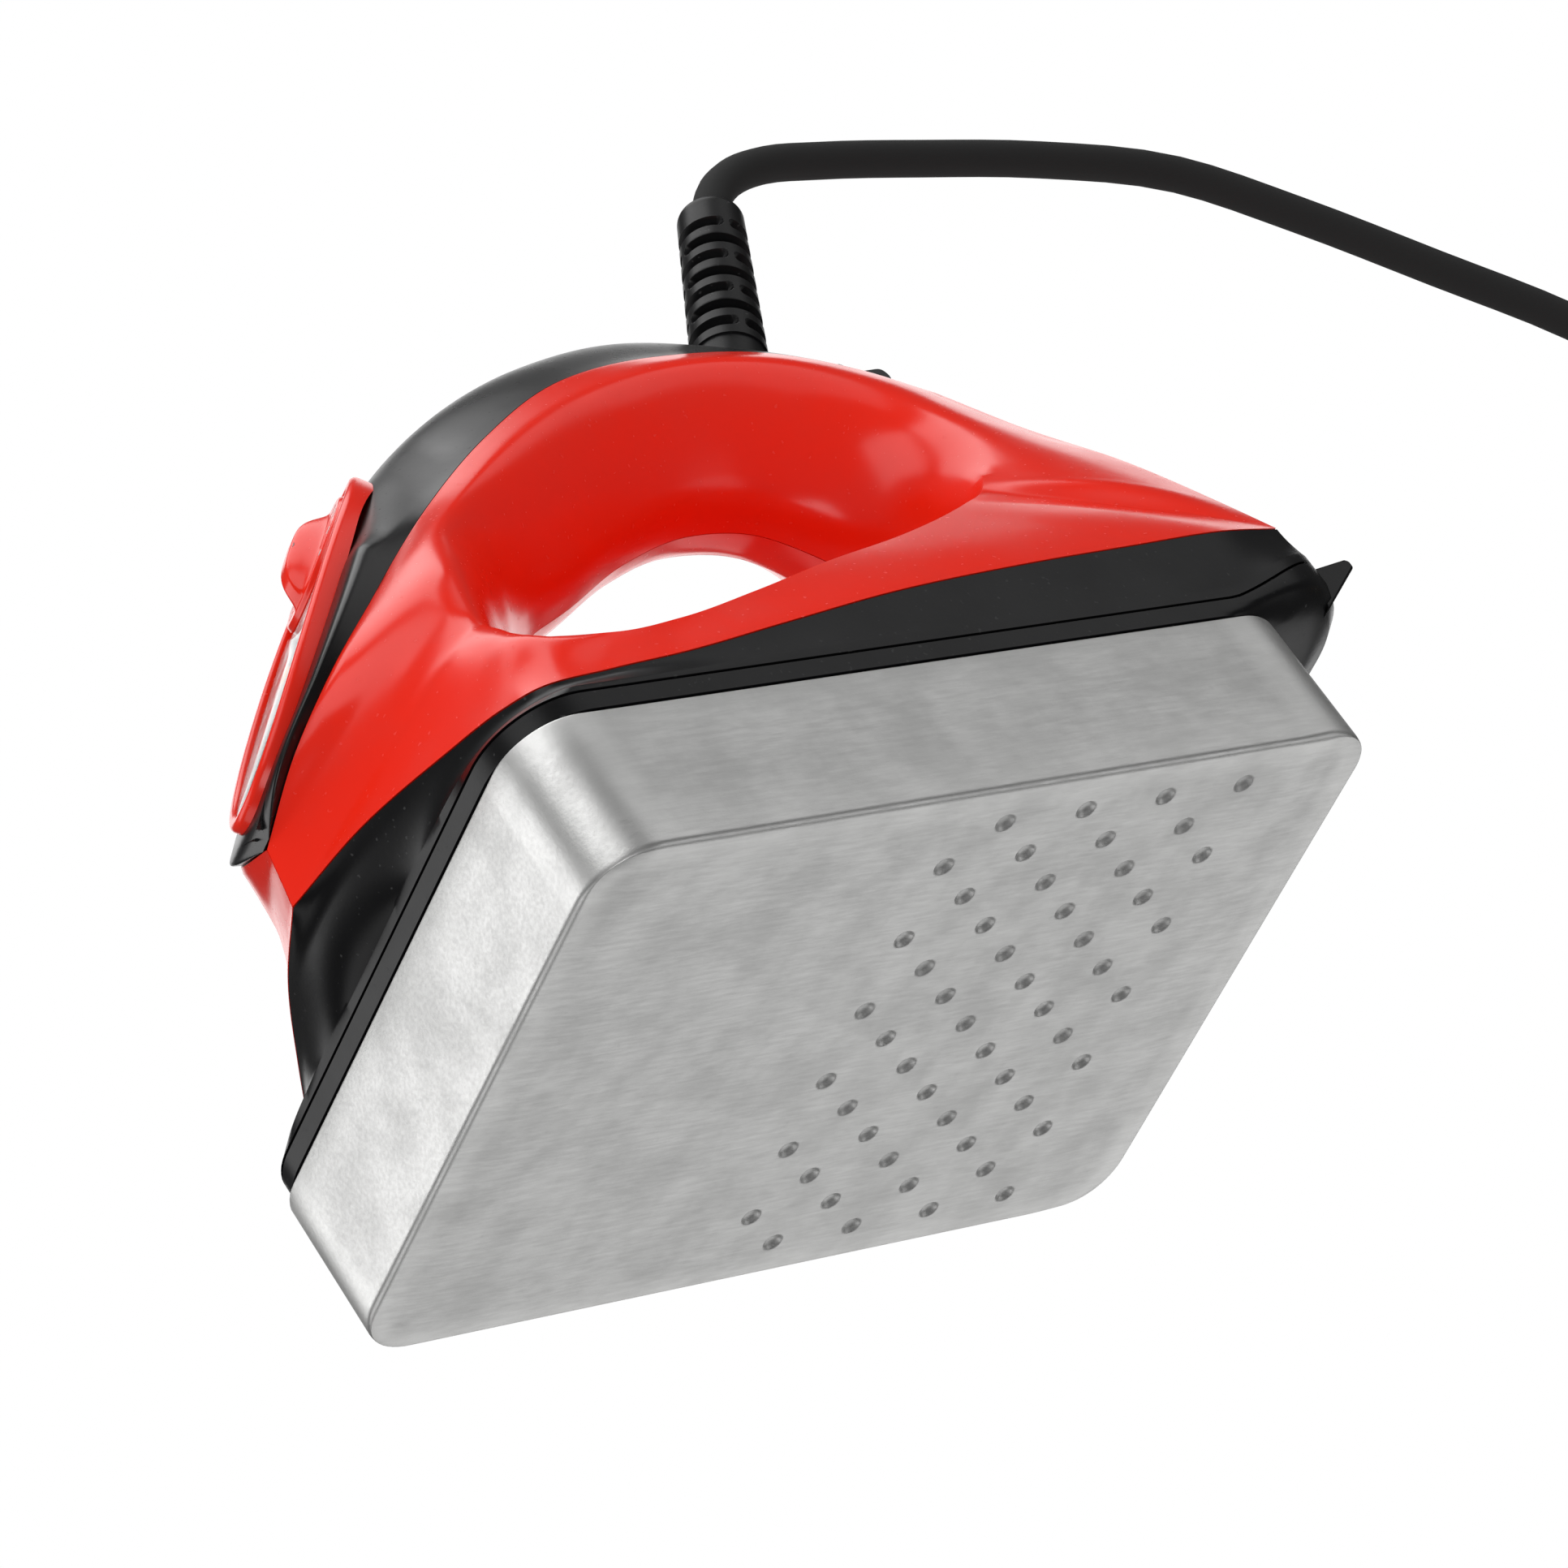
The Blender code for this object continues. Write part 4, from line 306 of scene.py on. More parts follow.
def axes(origin, x_axis, y_axis, z_axis):
    """The matrix of a frame with the given axes."""
    return Matrix([(*x_axis, 0), (*y_axis, 0), (*z_axis, 0), (*origin, 1)]).transposed()


def crown_axes(station):
    """A frame on the crown, with x along it to the rear and z out of it."""
    at = round(station * FINE)
    along = unit((RAILS.beyond[at + 1] - RAILS.beyond[at - 1]) * MIDDLE)
    return axes(RAILS.beyond[at] * MIDDLE, along, (0, 1, 0), (-along[2], 0, along[0]))


FACE = axes((FACE_LOW + FACE_HIGH) / 2, UP_SLOPE, (0, 1, 0), OFF_FACE)
SWITCH = crown_axes(23.35)
GLAND_FOOT = RAILS.beyond[round(22.12 * FINE)] * MIDDLE
GLAND = Matrix.Translation(GLAND_FOOT) @ Matrix.Rotation(math.radians(26.5), 4, "Y")


def moved(points, matrix):
    """Points of any grid, carried into the frame of the matrix."""
    turn = np.array(matrix.to_3x3())
    return np.asarray(points, float) @ turn.T + np.array(matrix.to_translation())


# --- Meshes -----------------------------------------------------------------------
def linked(name, data):
    """A new object with its data, in the scene."""
    thing = bpy.data.objects.new(name, data)
    bpy.context.scene.collection.objects.link(thing)
    return thing


def closed_mesh(name, points, faces, merge=0.0):
    """A mesh from points and faces, with doubles merged and its faces turned outwards."""
    mesh = bpy.data.meshes.new(name)
    mesh.from_pydata(np.asarray(points, float).reshape(-1, 3).tolist(), [], faces)
    work = bmesh.new()
    work.from_mesh(mesh)
    if merge:
        bmesh.ops.remove_doubles(work, verts=work.verts, dist=merge)
    bmesh.ops.recalc_face_normals(work, faces=work.faces)
    work.to_mesh(mesh)
    work.free()
    return mesh


def smoothed(mesh, sharp):
    """Smooth shading, but for edges that turn by more than the sharp angle in degrees."""
    mesh.shade_smooth()
    mesh.set_sharp_from_angle(angle=math.radians(sharp))
    return mesh


def lifted(plan, z):
    """Plan points (x, y) at one height, or at a height each."""
    return np.column_stack([plan, np.broadcast_to(z, len(plan))])


def polar(radius, around, height):
    """A grid of points from distances to the axis, angles round it, and heights."""
    x, y = radius * np.cos(around), radius * np.sin(around)
    return np.stack(np.broadcast_arrays(x, y, height), -1)


def quads(rows, columns, wrap_rows=False, wrap_columns=False, first=0):
    """The faces of a grid of points numbered row by row, as an array of four corners each."""
    r = np.arange(rows if wrap_rows else rows - 1)[:, None]
    c = np.arange(columns if wrap_columns else columns - 1)[None, :]
    below, right = (r + 1) % rows, (c + 1) % columns
    corners = (r * columns + c, r * columns + right, below * columns + right, below * columns + c)
    return np.stack(np.broadcast_arrays(*corners), -1).reshape(-1, 4) + first


def add_piece(
    name, points, faces, finish, body="iron", nodes=(), sharp=SMOOTH_ANGLE, bevel=0.0, caps=(),
):
    """A finished mesh object from points, quads and flat caps, riding on its body."""
    all_faces = np.asarray(faces).tolist() + [list(map(int, cap)) for cap in caps]
    thing = linked(name, smoothed(closed_mesh(name, points, all_faces, MERGE_DISTANCE), sharp))
    if bevel:
        rounding = thing.modifiers.new("Rounded edges", "BEVEL")
        rounding.width = bevel
        rounding.segments = 3
        rounding.limit_method = "ANGLE"
        rounding.angle_limit = math.radians(40)
    return dress(thing, finish, body, nodes)


def dress(thing, finish, body="iron", nodes=()):
    """Gives an object its finish and its body, and hides the nodes that it stands for."""
    made, slot = FINISHES[finish]
    thing.data.materials.clear()
    thing.data.materials.append(bpy.data.materials.get(finish) or made(finish))
    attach(thing, body)
    if nodes:
        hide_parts(*nodes)
    return thing


def cut(thing, tools):
    """Cuts closed shapes out of an object and leaves a plain mesh."""
    for tool in tools:
        change = thing.modifiers.new("Opening", "BOOLEAN")
        change.operation, change.solver, change.object = "DIFFERENCE", "EXACT", tool
    graph = bpy.context.evaluated_depsgraph_get()
    mesh = bpy.data.meshes.new_from_object(thing.evaluated_get(graph))
    if not mesh.polygons:
        raise RuntimeError(f"{thing.name}: nothing is left of it after the cut")
    thing.modifiers.clear()
    thing.data = smoothed(mesh, SMOOTH_ANGLE)
    for tool in tools:
        bpy.data.objects.remove(tool)
    return thing


def tool_from(loops):
    """A closed shape through loops of equally many points, used for cutting."""
    faces, caps = capped(np.asarray(loops, float))
    return linked("tool", closed_mesh("tool", loops, faces.tolist() + [list(cap) for cap in caps]))


def angles(sides):
    """Equal steps round a full turn, in radians."""
    return np.arange(sides) * (2 * math.pi / sides)


def circle(radius, sides, z=0.0):
    """A circle about Z at one height."""
    return polar(radius, angles(sides), z)


def round_tool(radius, low, high, matrix, sides=64):
    """A cylinder from low to high along the matrix's Z, used for cutting."""
    return tool_from([moved(circle(radius, sides, z), matrix) for z in (low, high)])


def turned(profile, sides):
    """A grid of points turned about Z from (radius, height) pairs."""
    profile = np.asarray(profile, float)
    return polar(profile[:, :1], angles(sides), profile[:, 1:])


def capped(grid):
    """Faces of a tube of loops, and the flat caps at both ends."""
    rows, columns = grid.shape[:2]
    ends = (range(columns)[::-1], range((rows - 1) * columns, rows * columns))
    return quads(rows, columns, wrap_columns=True), ends


def add_tube(name, loops, finish, body="iron", nodes=(), **shading):
    """A closed piece through loops of equally many points, flat at both ends."""
    faces, caps = capped(loops)
    return add_piece(name, loops, faces, finish, body, nodes, caps=caps, **shading)


def rounded_profile(profile, radius, steps=4):
    """A profile whose inner corners are replaced by short arcs: each corner is a quadratic
    curve from a point before it to a point after it."""
    profile = np.asarray(profile, float)
    points = [profile[0]]
    for before, corner, after in zip(profile[:-2], profile[1:-1], profile[2:]):
        reach_in = min(radius, 0.45 * np.linalg.norm(corner - before))
        reach_out = min(radius, 0.45 * np.linalg.norm(after - corner))
        start = corner + unit(before - corner) * reach_in
        end = corner + unit(after - corner) * reach_out
        t = np.linspace(0, 1, steps + 1)[:, None]
        points.extend((1 - t) ** 2 * start + 2 * t * (1 - t) * corner + t**2 * end)
    points.append(profile[-1])
    return np.array(points)


# --- Shells -----------------------------------------------------------------------
def walled(grid, borders, wall, wrap_rows=False, wrap_columns=False, lowest=-1.0):
    """Points and faces of a wall under a grid of points: the inner side is the grid moved
    inwards along its normals, or along the directions that borders gives for edge points."""
    rows, columns = grid.shape[:2]

    def slope(axis, wrap):
        ahead, behind = np.roll(grid, -1, axis), np.roll(grid, 1, axis)
        if not wrap:
            ahead = np.concatenate([np.delete(ahead, -1, axis), np.take(grid, [-1], axis)], axis)
            behind = np.concatenate([np.take(grid, [0], axis), np.delete(behind, 0, axis)], axis)
        return unit(ahead - grid) + unit(grid - behind)

    normal = unit(np.cross(slope(0, wrap_rows), slope(1, wrap_columns)))
    fixed = ~np.isnan(borders[..., 0])
    if (normal * borders)[fixed].sum() > 0:
        normal = -normal
    inward = np.where(fixed[..., None], borders, -normal)
    lean = np.clip(-(inward * normal).sum(-1, keepdims=True), 0.6, 1)
    inner = grid + inward * wall / lean
    inner[..., 2] = np.maximum(inner[..., 2], lowest)
    outer = quads(rows, columns, wrap_rows, wrap_columns)
    size = rows * columns
    number = np.arange(size).reshape(rows, columns)
    edges = []
    if not wrap_columns:
        edges += [(number[:, 0], wrap_rows), (number[::-1, -1], wrap_rows)]
    if not wrap_rows:
        edges += [(number[-1], wrap_columns), (number[0][::-1], wrap_columns)]
    sides = []
    for edge, wrap in edges:
        following = np.roll(edge, -1)
        pair = np.stack([edge, following], -1)[: None if wrap else -1]
        sides.append(np.column_stack([pair, pair[:, ::-1] + size]))
    faces = np.concatenate([outer, outer[:, ::-1] + size, *sides])
    return np.concatenate([grid.reshape(-1, 3), inner.reshape(-1, 3)]), faces


def shell_grid(across_inner=10, across_outer=14):
    """Sections of the left shell: a cubic from the opening to the rim, and another from the
    rim to the seam, with a common tangent at the rim. Where the rim is soft, the points are
    averaged with their neighbours, so that no section shows."""
    rows = np.arange(0, len(RAILS.seam), STEP)
    hole, rim, seam = (rail[rows][:, None] for rail in (RAILS.hole, RAILS.rim, RAILS.seam))
    values = (RAILS.crisp, RAILS.flat, RAILS.at_seam)
    crisp, flat, at_seam = (value[rows][:, None] for value in values)
    inner = np.linalg.norm(rim - hole, axis=-1, keepdims=True)
    outer = np.linalg.norm(seam - rim, axis=-1, keepdims=True)
    leave = np.array([0, -1.0, 0]) * inner * 1.1
    smooth = unit(unit(seam - hole) * (1 - flat) + unit(seam - rim) * flat)
    settle_in = unit(2 * (rim - hole) - leave)
    settle_out = unit(2 * (seam - rim) - at_seam * outer)
    into = unit(smooth * (1 - crisp) + settle_in * crisp) * inner * (1.1 - 0.6 * flat)
    out = unit(smooth * (1 - crisp) + settle_out * crisp) * outer * (1.1 - flat)
    t_in = np.linspace(0, 1, across_inner + 1)[None, :-1, None]
    t_out = np.linspace(0, 1, across_outer + 1)[None, :, None]
    inside = hermite(hole, rim, leave, into, t_in)
    outside = hermite(rim, seam, out, at_seam * outer * 1.1, t_out)
    grid = np.concatenate([inside, outside], axis=1)
    ease = np.zeros((1, grid.shape[1], 1))
    ease[0, 4:-2] = SHELL_SHARE
    ease = ease * (1 - crisp) ** 2
    shifts = ((1, 0), (-1, 0), (1, 1), (-1, 1))
    for _ in range(SHELL_PASSES):
        beside = sum(np.roll(grid, shift, axis) for shift, axis in shifts) / 4
        grid = grid + ease * (beside - grid)
    grid[..., 1] = np.minimum(grid[..., 1], -GAP / 4)
    borders = np.full(grid.shape, np.nan)
    around = unit(np.roll(grid[:, 0], -1, 0) - np.roll(grid[:, 0], 1, 0))
    borders[:, 0] = unit(np.cross(around, np.array([0, 1.0, 0])) * MIDDLE)
    centre = grid[:, 0].mean(0)
    if (borders[:, 0] * (grid[:, 0] - centre)).sum() < 0:
        borders[:, 0] *= -1
    borders[:, -1] = RAILS.inward[rows]
    return grid, borders


def make_shells():
    """The left half as drawn, and its mirror image."""
    grid, borders = shell_grid()
    for name, side in (("left_shell", -1), ("right_shell", 1)):
        flip = np.array([1, -side, 1])
        points, faces = walled(
            grid * flip, borders * flip, settings().body.shell_wall, wrap_rows=True,
        )
        add_piece(name + "_moulding", points, faces, "red_gloss", nodes=[name], sharp=40)


def across_middle(half, half_inward, row_cores, wall):
    """A wall across the middle plane from its left half and the inward directions at its edge."""
    grid = np.concatenate([half, half[:, -2::-1] * MIRROR], axis=1)
    borders = np.full(grid.shape, np.nan)
    borders[:, 0], borders[:, -1] = half_inward, half_inward * MIRROR
    for row, core in row_cores:
        borders[row] = unit(core - grid[row])
    return walled(grid, borders, wall)


def make_spine_cover(across=18):
    """Sections from the seam to the crown: superelliptic around the dial, where the cover
    stands proud of the shells, and a cubic arch over the handle."""
    first = round((RING_TIP + 0.15) * FINE)
    rows = np.array([first, *range(RING_TIP * FINE + 4, SPINE_END * FINE + 1, STEP)])
    seam, crown, slope = RAILS.seam[rows], RAILS.beyond[rows] * MIDDLE, RAILS.at_seam[rows]
    edge = seam + unit(crown + np.array([1, 0, 2]) * MM - seam) * GAP
    boxy = np.clip((18.6 - rows / FINE) / 2.0, 0, 1)[:, None, None]
    power = 1 - 0.74 * boxy
    angle = np.linspace(1, 0, across + 1)[None, :, None] * math.pi / 2
    lateral = (edge * np.array([0, 1, 0]))[:, None]
    depth = (edge - crown)[:, None] - lateral
    box = crown[:, None] + lateral * np.sin(angle) ** power + depth * (1 - np.cos(angle) ** power)
    chord = np.linalg.norm(crown - edge, axis=1)[:, None, None]
    t = np.linspace(0, 1, across + 1)[None, :, None]
    arch = hermite(edge[:, None], crown[:, None], slope[:, None] * chord, ACROSS * chord, t)
    half = box * boxy + arch * (1 - boxy)
    ends = ((0, RAILS.core[RING_TIP * FINE]), (-1, RAILS.core[SPINE_END * FINE]))
    points, faces = across_middle(half, RAILS.inward[rows], ends, settings().body.shell_wall)
    cover = add_piece(
        "spine_cover_moulding", points, faces, "black_gloss", nodes=["spine_cover"], sharp=40,
    )
    length, width, depth = SWITCH_LENGTH / 2 + GAP, SWITCH_WIDTH / 2 + GAP, 11 * MM
    corners = np.array([(length, width), (-length, width), (-length, -width), (length, -width)])
    opening = tool_from([moved(lifted(corners, z), SWITCH) for z in (-depth, depth)])
    neck = round_tool(GLAND_NECK / 2 + GAP, -9 * MM, 6 * MM, GLAND)
    cut(cover, [opening, neck, *face_tools(-6 * MM)])


def make_rear_cover(across=18):
    """The panel between the hips: cubics from each seam to the middle line of the back."""
    rows = np.arange(SPINE_END * FINE, LAST * FINE + 1, STEP)
    at = rows % (LAST * FINE)
    seam, back = RAILS.seam[at], RAILS.beyond[at] * MIDDLE
    last_full = RAILS.beyond[(LAST - 1) * FINE] * MIDDLE
    share = np.clip(rows / FINE - (LAST - 1), 0, 1)[:, None]
    back = np.where(share > 0, last_full * (1 - share) + REAR_FOOT * share, back)
    edge = seam + unit(back - seam) * GAP
    shift = np.array([0.3, 0, -1.0]) * GAP
    edge[0], back[0] = edge[0] + shift, back[0] + shift
    edge[-1, 2] += GAP / 2
    back[-1, 2] += GAP / 2
    chord = np.linalg.norm(back - edge, axis=1)[:, None, None]
    t = np.linspace(0, 1, across + 1)[None, :, None]
    half = hermite(edge[:, None], back[:, None], HEEL_LEAVE * chord, ACROSS * chord, t)
    ends = ((0, RAILS.core[SPINE_END * FINE]), (-1, REAR_FOOT - np.array([2 * HIP_DEPTH, 0, 0])))
    points, faces = across_middle(half, RAILS.inward[at], ends, settings().body.shell_wall)
    add_piece(
        "rear_cover_moulding", points, faces, "red_gloss", nodes=["rear_cover"], sharp=40,
    )


# --- Base: ring and housing ---------------------------------------------------------
def rounded_plan(low, high, half_width, low_corner, high_corner, steps=24):
    """A rounded rectangle in plan from x = low to x = high: four quarter circles."""
    corners = (
        (high - high_corner, half_width - high_corner, high_corner, 0),
        (low + low_corner, half_width - low_corner, low_corner, 90),
        (low + low_corner, low_corner - half_width, low_corner, 180),
        (high - high_corner, high_corner - half_width, high_corner, 270),
    )
    turn = np.linspace(0, 90, steps + 1)
    arcs = [polar(r, np.radians(start + turn), 0)[:, :2] + (x, y) for x, y, r, start in corners]
    return np.concatenate(arcs)


def plate_plan(inset):
    """The plate's outline, moved in by the inset."""
    corner = PLATE_CORNER - inset
    length = HALF_LENGTH - inset
    return rounded_plan(-length, length, HALF_WIDTH - inset, corner, corner)


def lip_plan(inset=0.0):
    """The outline of the lip over the plate, moved in by the inset."""
    return rounded_plan(
        -HALF_LENGTH + inset, HEEL_END - inset, HALF_WIDTH - inset,
        PLATE_CORNER - inset, HEEL_CORNER - inset,
    )


def lip_height(plan):
    """The lip's height over the plate: level along the sides, rising under the heel."""
    share = np.clip((plan[:, 0] - HEEL_START) / (HEEL_END - HEEL_START), 0, 1)
    return LIP_BASE + HEEL_RISE * share**1.2


def nearest(points, curve):
    """The point of a closed plan curve that lies nearest to each point."""
    start, end = curve, np.roll(curve, -1, 0)
    run = end - start
    length = np.maximum((run**2).sum(1), 1e-12)
    share = np.clip(((points[:, None] - start) * run).sum(2) / length, 0, 1)
    feet = start + share[..., None] * run
    best = ((feet - points[:, None]) ** 2).sum(2).argmin(1)
    return feet[np.arange(len(points)), best]


def boundary_loop():
    """The closed line between shells and skirt, its inward direction, and the lip under it."""
    rows = np.arange(0, CHIN * FINE + 1, STEP)
    turn = np.linspace(0, 1, 41)[1:, None]
    corner = RAILS.seam[0]
    chord = np.linalg.norm(REAR_FOOT - corner)
    heel = hermite(corner, REAR_FOOT, HEEL_LEAVE * chord, ACROSS * chord, turn)
    heel_inward = unit(REAR_FOOT - np.array([2 * HIP_DEPTH, 0, 0]) - heel)
    below = RAILS.beyond[rows][:, :2].copy()
    to_middle = rows > (CHIN - 1) * FINE
    below[to_middle] = RAILS.beyond[(CHIN - 1) * FINE, :2] * (CHIN - rows[to_middle, None] / FINE)
    below[to_middle, 0] = -HALF_LENGTH
    start = np.array([HEEL_END - HEEL_CORNER * 0.5, -HALF_WIDTH + HEEL_CORNER * 0.15])
    to_heel = np.array([HEEL_END, 0.0]) - start
    below_heel = start + to_heel * np.column_stack([np.sqrt(turn), turn])
    left = np.concatenate([heel[::-1], RAILS.seam[rows]])
    inward = np.concatenate([heel_inward[::-1], RAILS.inward[rows]])
    below = np.concatenate([below_heel[::-1], below])
    upper = np.concatenate([left, left[-2:0:-1] * MIRROR])
    inward = np.concatenate([inward, inward[-2:0:-1] * MIRROR])
    plan = np.concatenate([below, (below * MIRROR[:2])[-2:0:-1]])
    return upper, inward, nearest(plan, lip_plan())


def make_base_housing(rows=18):
    """The skirt: cubics from the shells' boundary that flare out to the lip over the plate,
    averaged with their neighbours over the nose, so that no ridge runs down its middle."""
    upper, inward, plan = boundary_loop()
    upper = upper - np.array([0, 0, GAP])
    lip = np.column_stack([plan, lip_height(plan) + GAP / 2])
    top_edge = lip + np.array([0, 0, 1.0]) * np.minimum((upper - lip)[:, 2:] * 0.2, 1.6 * MM)
    chord = np.linalg.norm(upper - top_edge, axis=1, keepdims=True)
    flat = (top_edge - upper) * np.array([1, 1, 0])
    flare = np.linalg.norm(flat, axis=1, keepdims=True)
    down = np.array([0, 0, -1.0])
    arrive = unit(down * 0.5 + unit(flat) * np.clip(flare / (6 * MM), 0, 1.2)) * chord * 0.9
    t = np.linspace(0, 1, rows + 1)[:, None, None]
    skirt = hermite(upper, top_edge, down * chord, arrive, t)
    ease = smoothstep(NOSE_START, NOSE_FULL, skirt[..., :1]) * smoothstep(0, 0.25, t) * NOSE_SHARE
    for _ in range(NOSE_PASSES):
        skirt = skirt + ease * ((np.roll(skirt, 1, 1) + np.roll(skirt, -1, 1)) / 2 - skirt)
    grid = np.concatenate([skirt, lip[None]])
    borders = np.full(grid.shape, np.nan)
    inset = nearest(plan, lip_plan(SKIRT_WALL))
    borders[0] = inward
    borders[-2:] = unit(np.column_stack([inset - plan, np.zeros(len(plan))]))
    lowest = np.concatenate([np.tile(top_edge[:, 2], (len(grid) - 1, 1)), lip[None, :, 2]])
    points, faces = walled(grid, borders, SKIRT_WALL, wrap_columns=True, lowest=lowest)
    add_piece(
        "base_housing_moulding", points, faces, "black_satin", nodes=["base_housing"], sharp=40,
    )


def make_base_ring():
    """A closed section carried round the plate: foot, overhanging heel, lip and inner side."""
    _, _, plan = boundary_loop()
    top, low = lip_height(plan) - GAP / 4, PLATE_TOP + GAP
    overhang = np.clip((plan[:, :1] - HEEL_START) / HEEL_RISE, 0, 1)
    under = plan + (nearest(plan, lip_plan(HEEL_EDGE)) - plan) * overhang
    mid = plan + (nearest(plan, lip_plan(0.25 * HEEL_EDGE)) - plan) * overhang
    foot, inner_foot = nearest(plan, plate_plan(0)), nearest(plan, plate_plan(RING_WALL))
    soft = 0.3 * MM
    sections = (
        (foot, low), (0.35 * foot + 0.65 * under, low + 0.12 * (top - low)),
        (under, low + 0.3 * (top - low)), (mid, low + 0.45 * (top - low)),
        (plan, low + 0.65 * (top - low)), (plan, top - soft), (nearest(plan, lip_plan(soft)), top),
        (nearest(plan, lip_plan(RING_WALL)), top), (inner_foot, low),
    )
    grid = np.array([lifted(points, height) for points, height in sections])
    add_piece(
        "base_ring_moulding", grid, quads(*grid.shape[:2], wrap_rows=True, wrap_columns=True),
        "black_satin", nodes=["base_ring"], sharp=40,
    )


def make_heel_feet():
    """Two wedges behind the heel: a side outline, swept across and narrowed to the tip."""
    root, top, tip = HEEL_END - 9 * MM, HEEL_END - 7 * MM, HEEL_END + 2.4 * MM
    low, high = lip_height(np.array([(root, 0), (top, 0)])) - np.array([8.2, 0.2]) * MM
    outline = np.array([
        (root, low, 1), (tip, high - 0.6 * MM, 0.55), (tip, high + 0.8 * MM, 0.55),
        (tip - 0.8 * MM, high + 1.3 * MM, 0.6), (top, high, 1),
    ])
    across = np.array([0, 1.0])[:, None]
    for number, side in ((1, -1), (2, 1)):
        outer = side * (HALF_WIDTH - 6 * MM)
        y = outer - side * 5 * MM * outline[:, 2] * across
        loops = np.stack(np.broadcast_arrays(outline[:, 0], y, outline[:, 1]), -1)
        add_tube(f"heel_foot_{number}", loops, "black_satin", bevel=0.4 * MM)


# --- Sole plate -------------------------------------------------------------------
PLATE_WALL, PLATE_FLOOR = 7 * MM, 9 * MM
SOLE_CORNER, WALL_CORNER, HEEL_GROWTH = 7.5 * MM, 11 * MM, 1.5 * MM
BEVEL_RISE, TOE_BEVEL, HEEL_BEVEL = 0.6 * MM, 9 * MM, 12.5 * MM
DIMPLE_PITCH, DIMPLE_ROWS, DIMPLES_IN_ROW, DIMPLE_FIRST_X = 16 * MM, 13, 4, 51 * MM
DIMPLE_LINES = np.array([0, 0.45, 0.9, 1.25, 1.55, 1.75, 1.9, 2.1, 2.6]) / 1.85  # in radii
SOLE_SPACING = 3 * MM


def dimple_centres():
    """Rows of dimples half a pitch apart, with every second row shifted by half a pitch."""
    row, place = np.meshgrid(np.arange(DIMPLE_ROWS), np.arange(DIMPLES_IN_ROW), indexing="ij")
    x = DIMPLE_FIRST_X - place * DIMPLE_PITCH - (row % 2) * DIMPLE_PITCH / 2
    y = (row - (DIMPLE_ROWS - 1) / 2) * DIMPLE_PITCH / 2
    return np.column_stack([x.ravel(), y.ravel()])


def lines_near(centres, low, high):
    """Grid lines from low to high, close together across each dimple."""
    near = DIMPLE_LINES * settings().plate.dimple_radius
    around = np.concatenate([-near, near])
    lines = np.concatenate([(centres[:, None] + around).ravel(), [low, high]])
    rough = np.arange(low, high, SOLE_SPACING)
    far = np.abs(rough[:, None] - centres).min(1) > near[-1] + 1 * MM
    lines = np.concatenate([lines, rough[far]])
    return np.unique(np.round(lines[(lines >= low) & (lines <= high)], 7))


def sole_height(points):
    """Bevels that rise to the ends, and a hollow paraboloid with a sharp edge for each dimple."""
    x = points[..., 0]
    heel = np.clip(x - (HALF_LENGTH - HEEL_BEVEL), 0, None) / HEEL_BEVEL
    toe = np.clip(-x - (HALF_LENGTH - TOE_BEVEL), 0, None) / TOE_BEVEL
    height = BEVEL_RISE * (heel + toe)
    for centre in dimple_centres():
        away = np.linalg.norm(points - centre, axis=-1) / settings().plate.dimple_radius
        height = height + settings().plate.dimple_depth * np.clip(1 - away**2.6, 0, None)
    return height


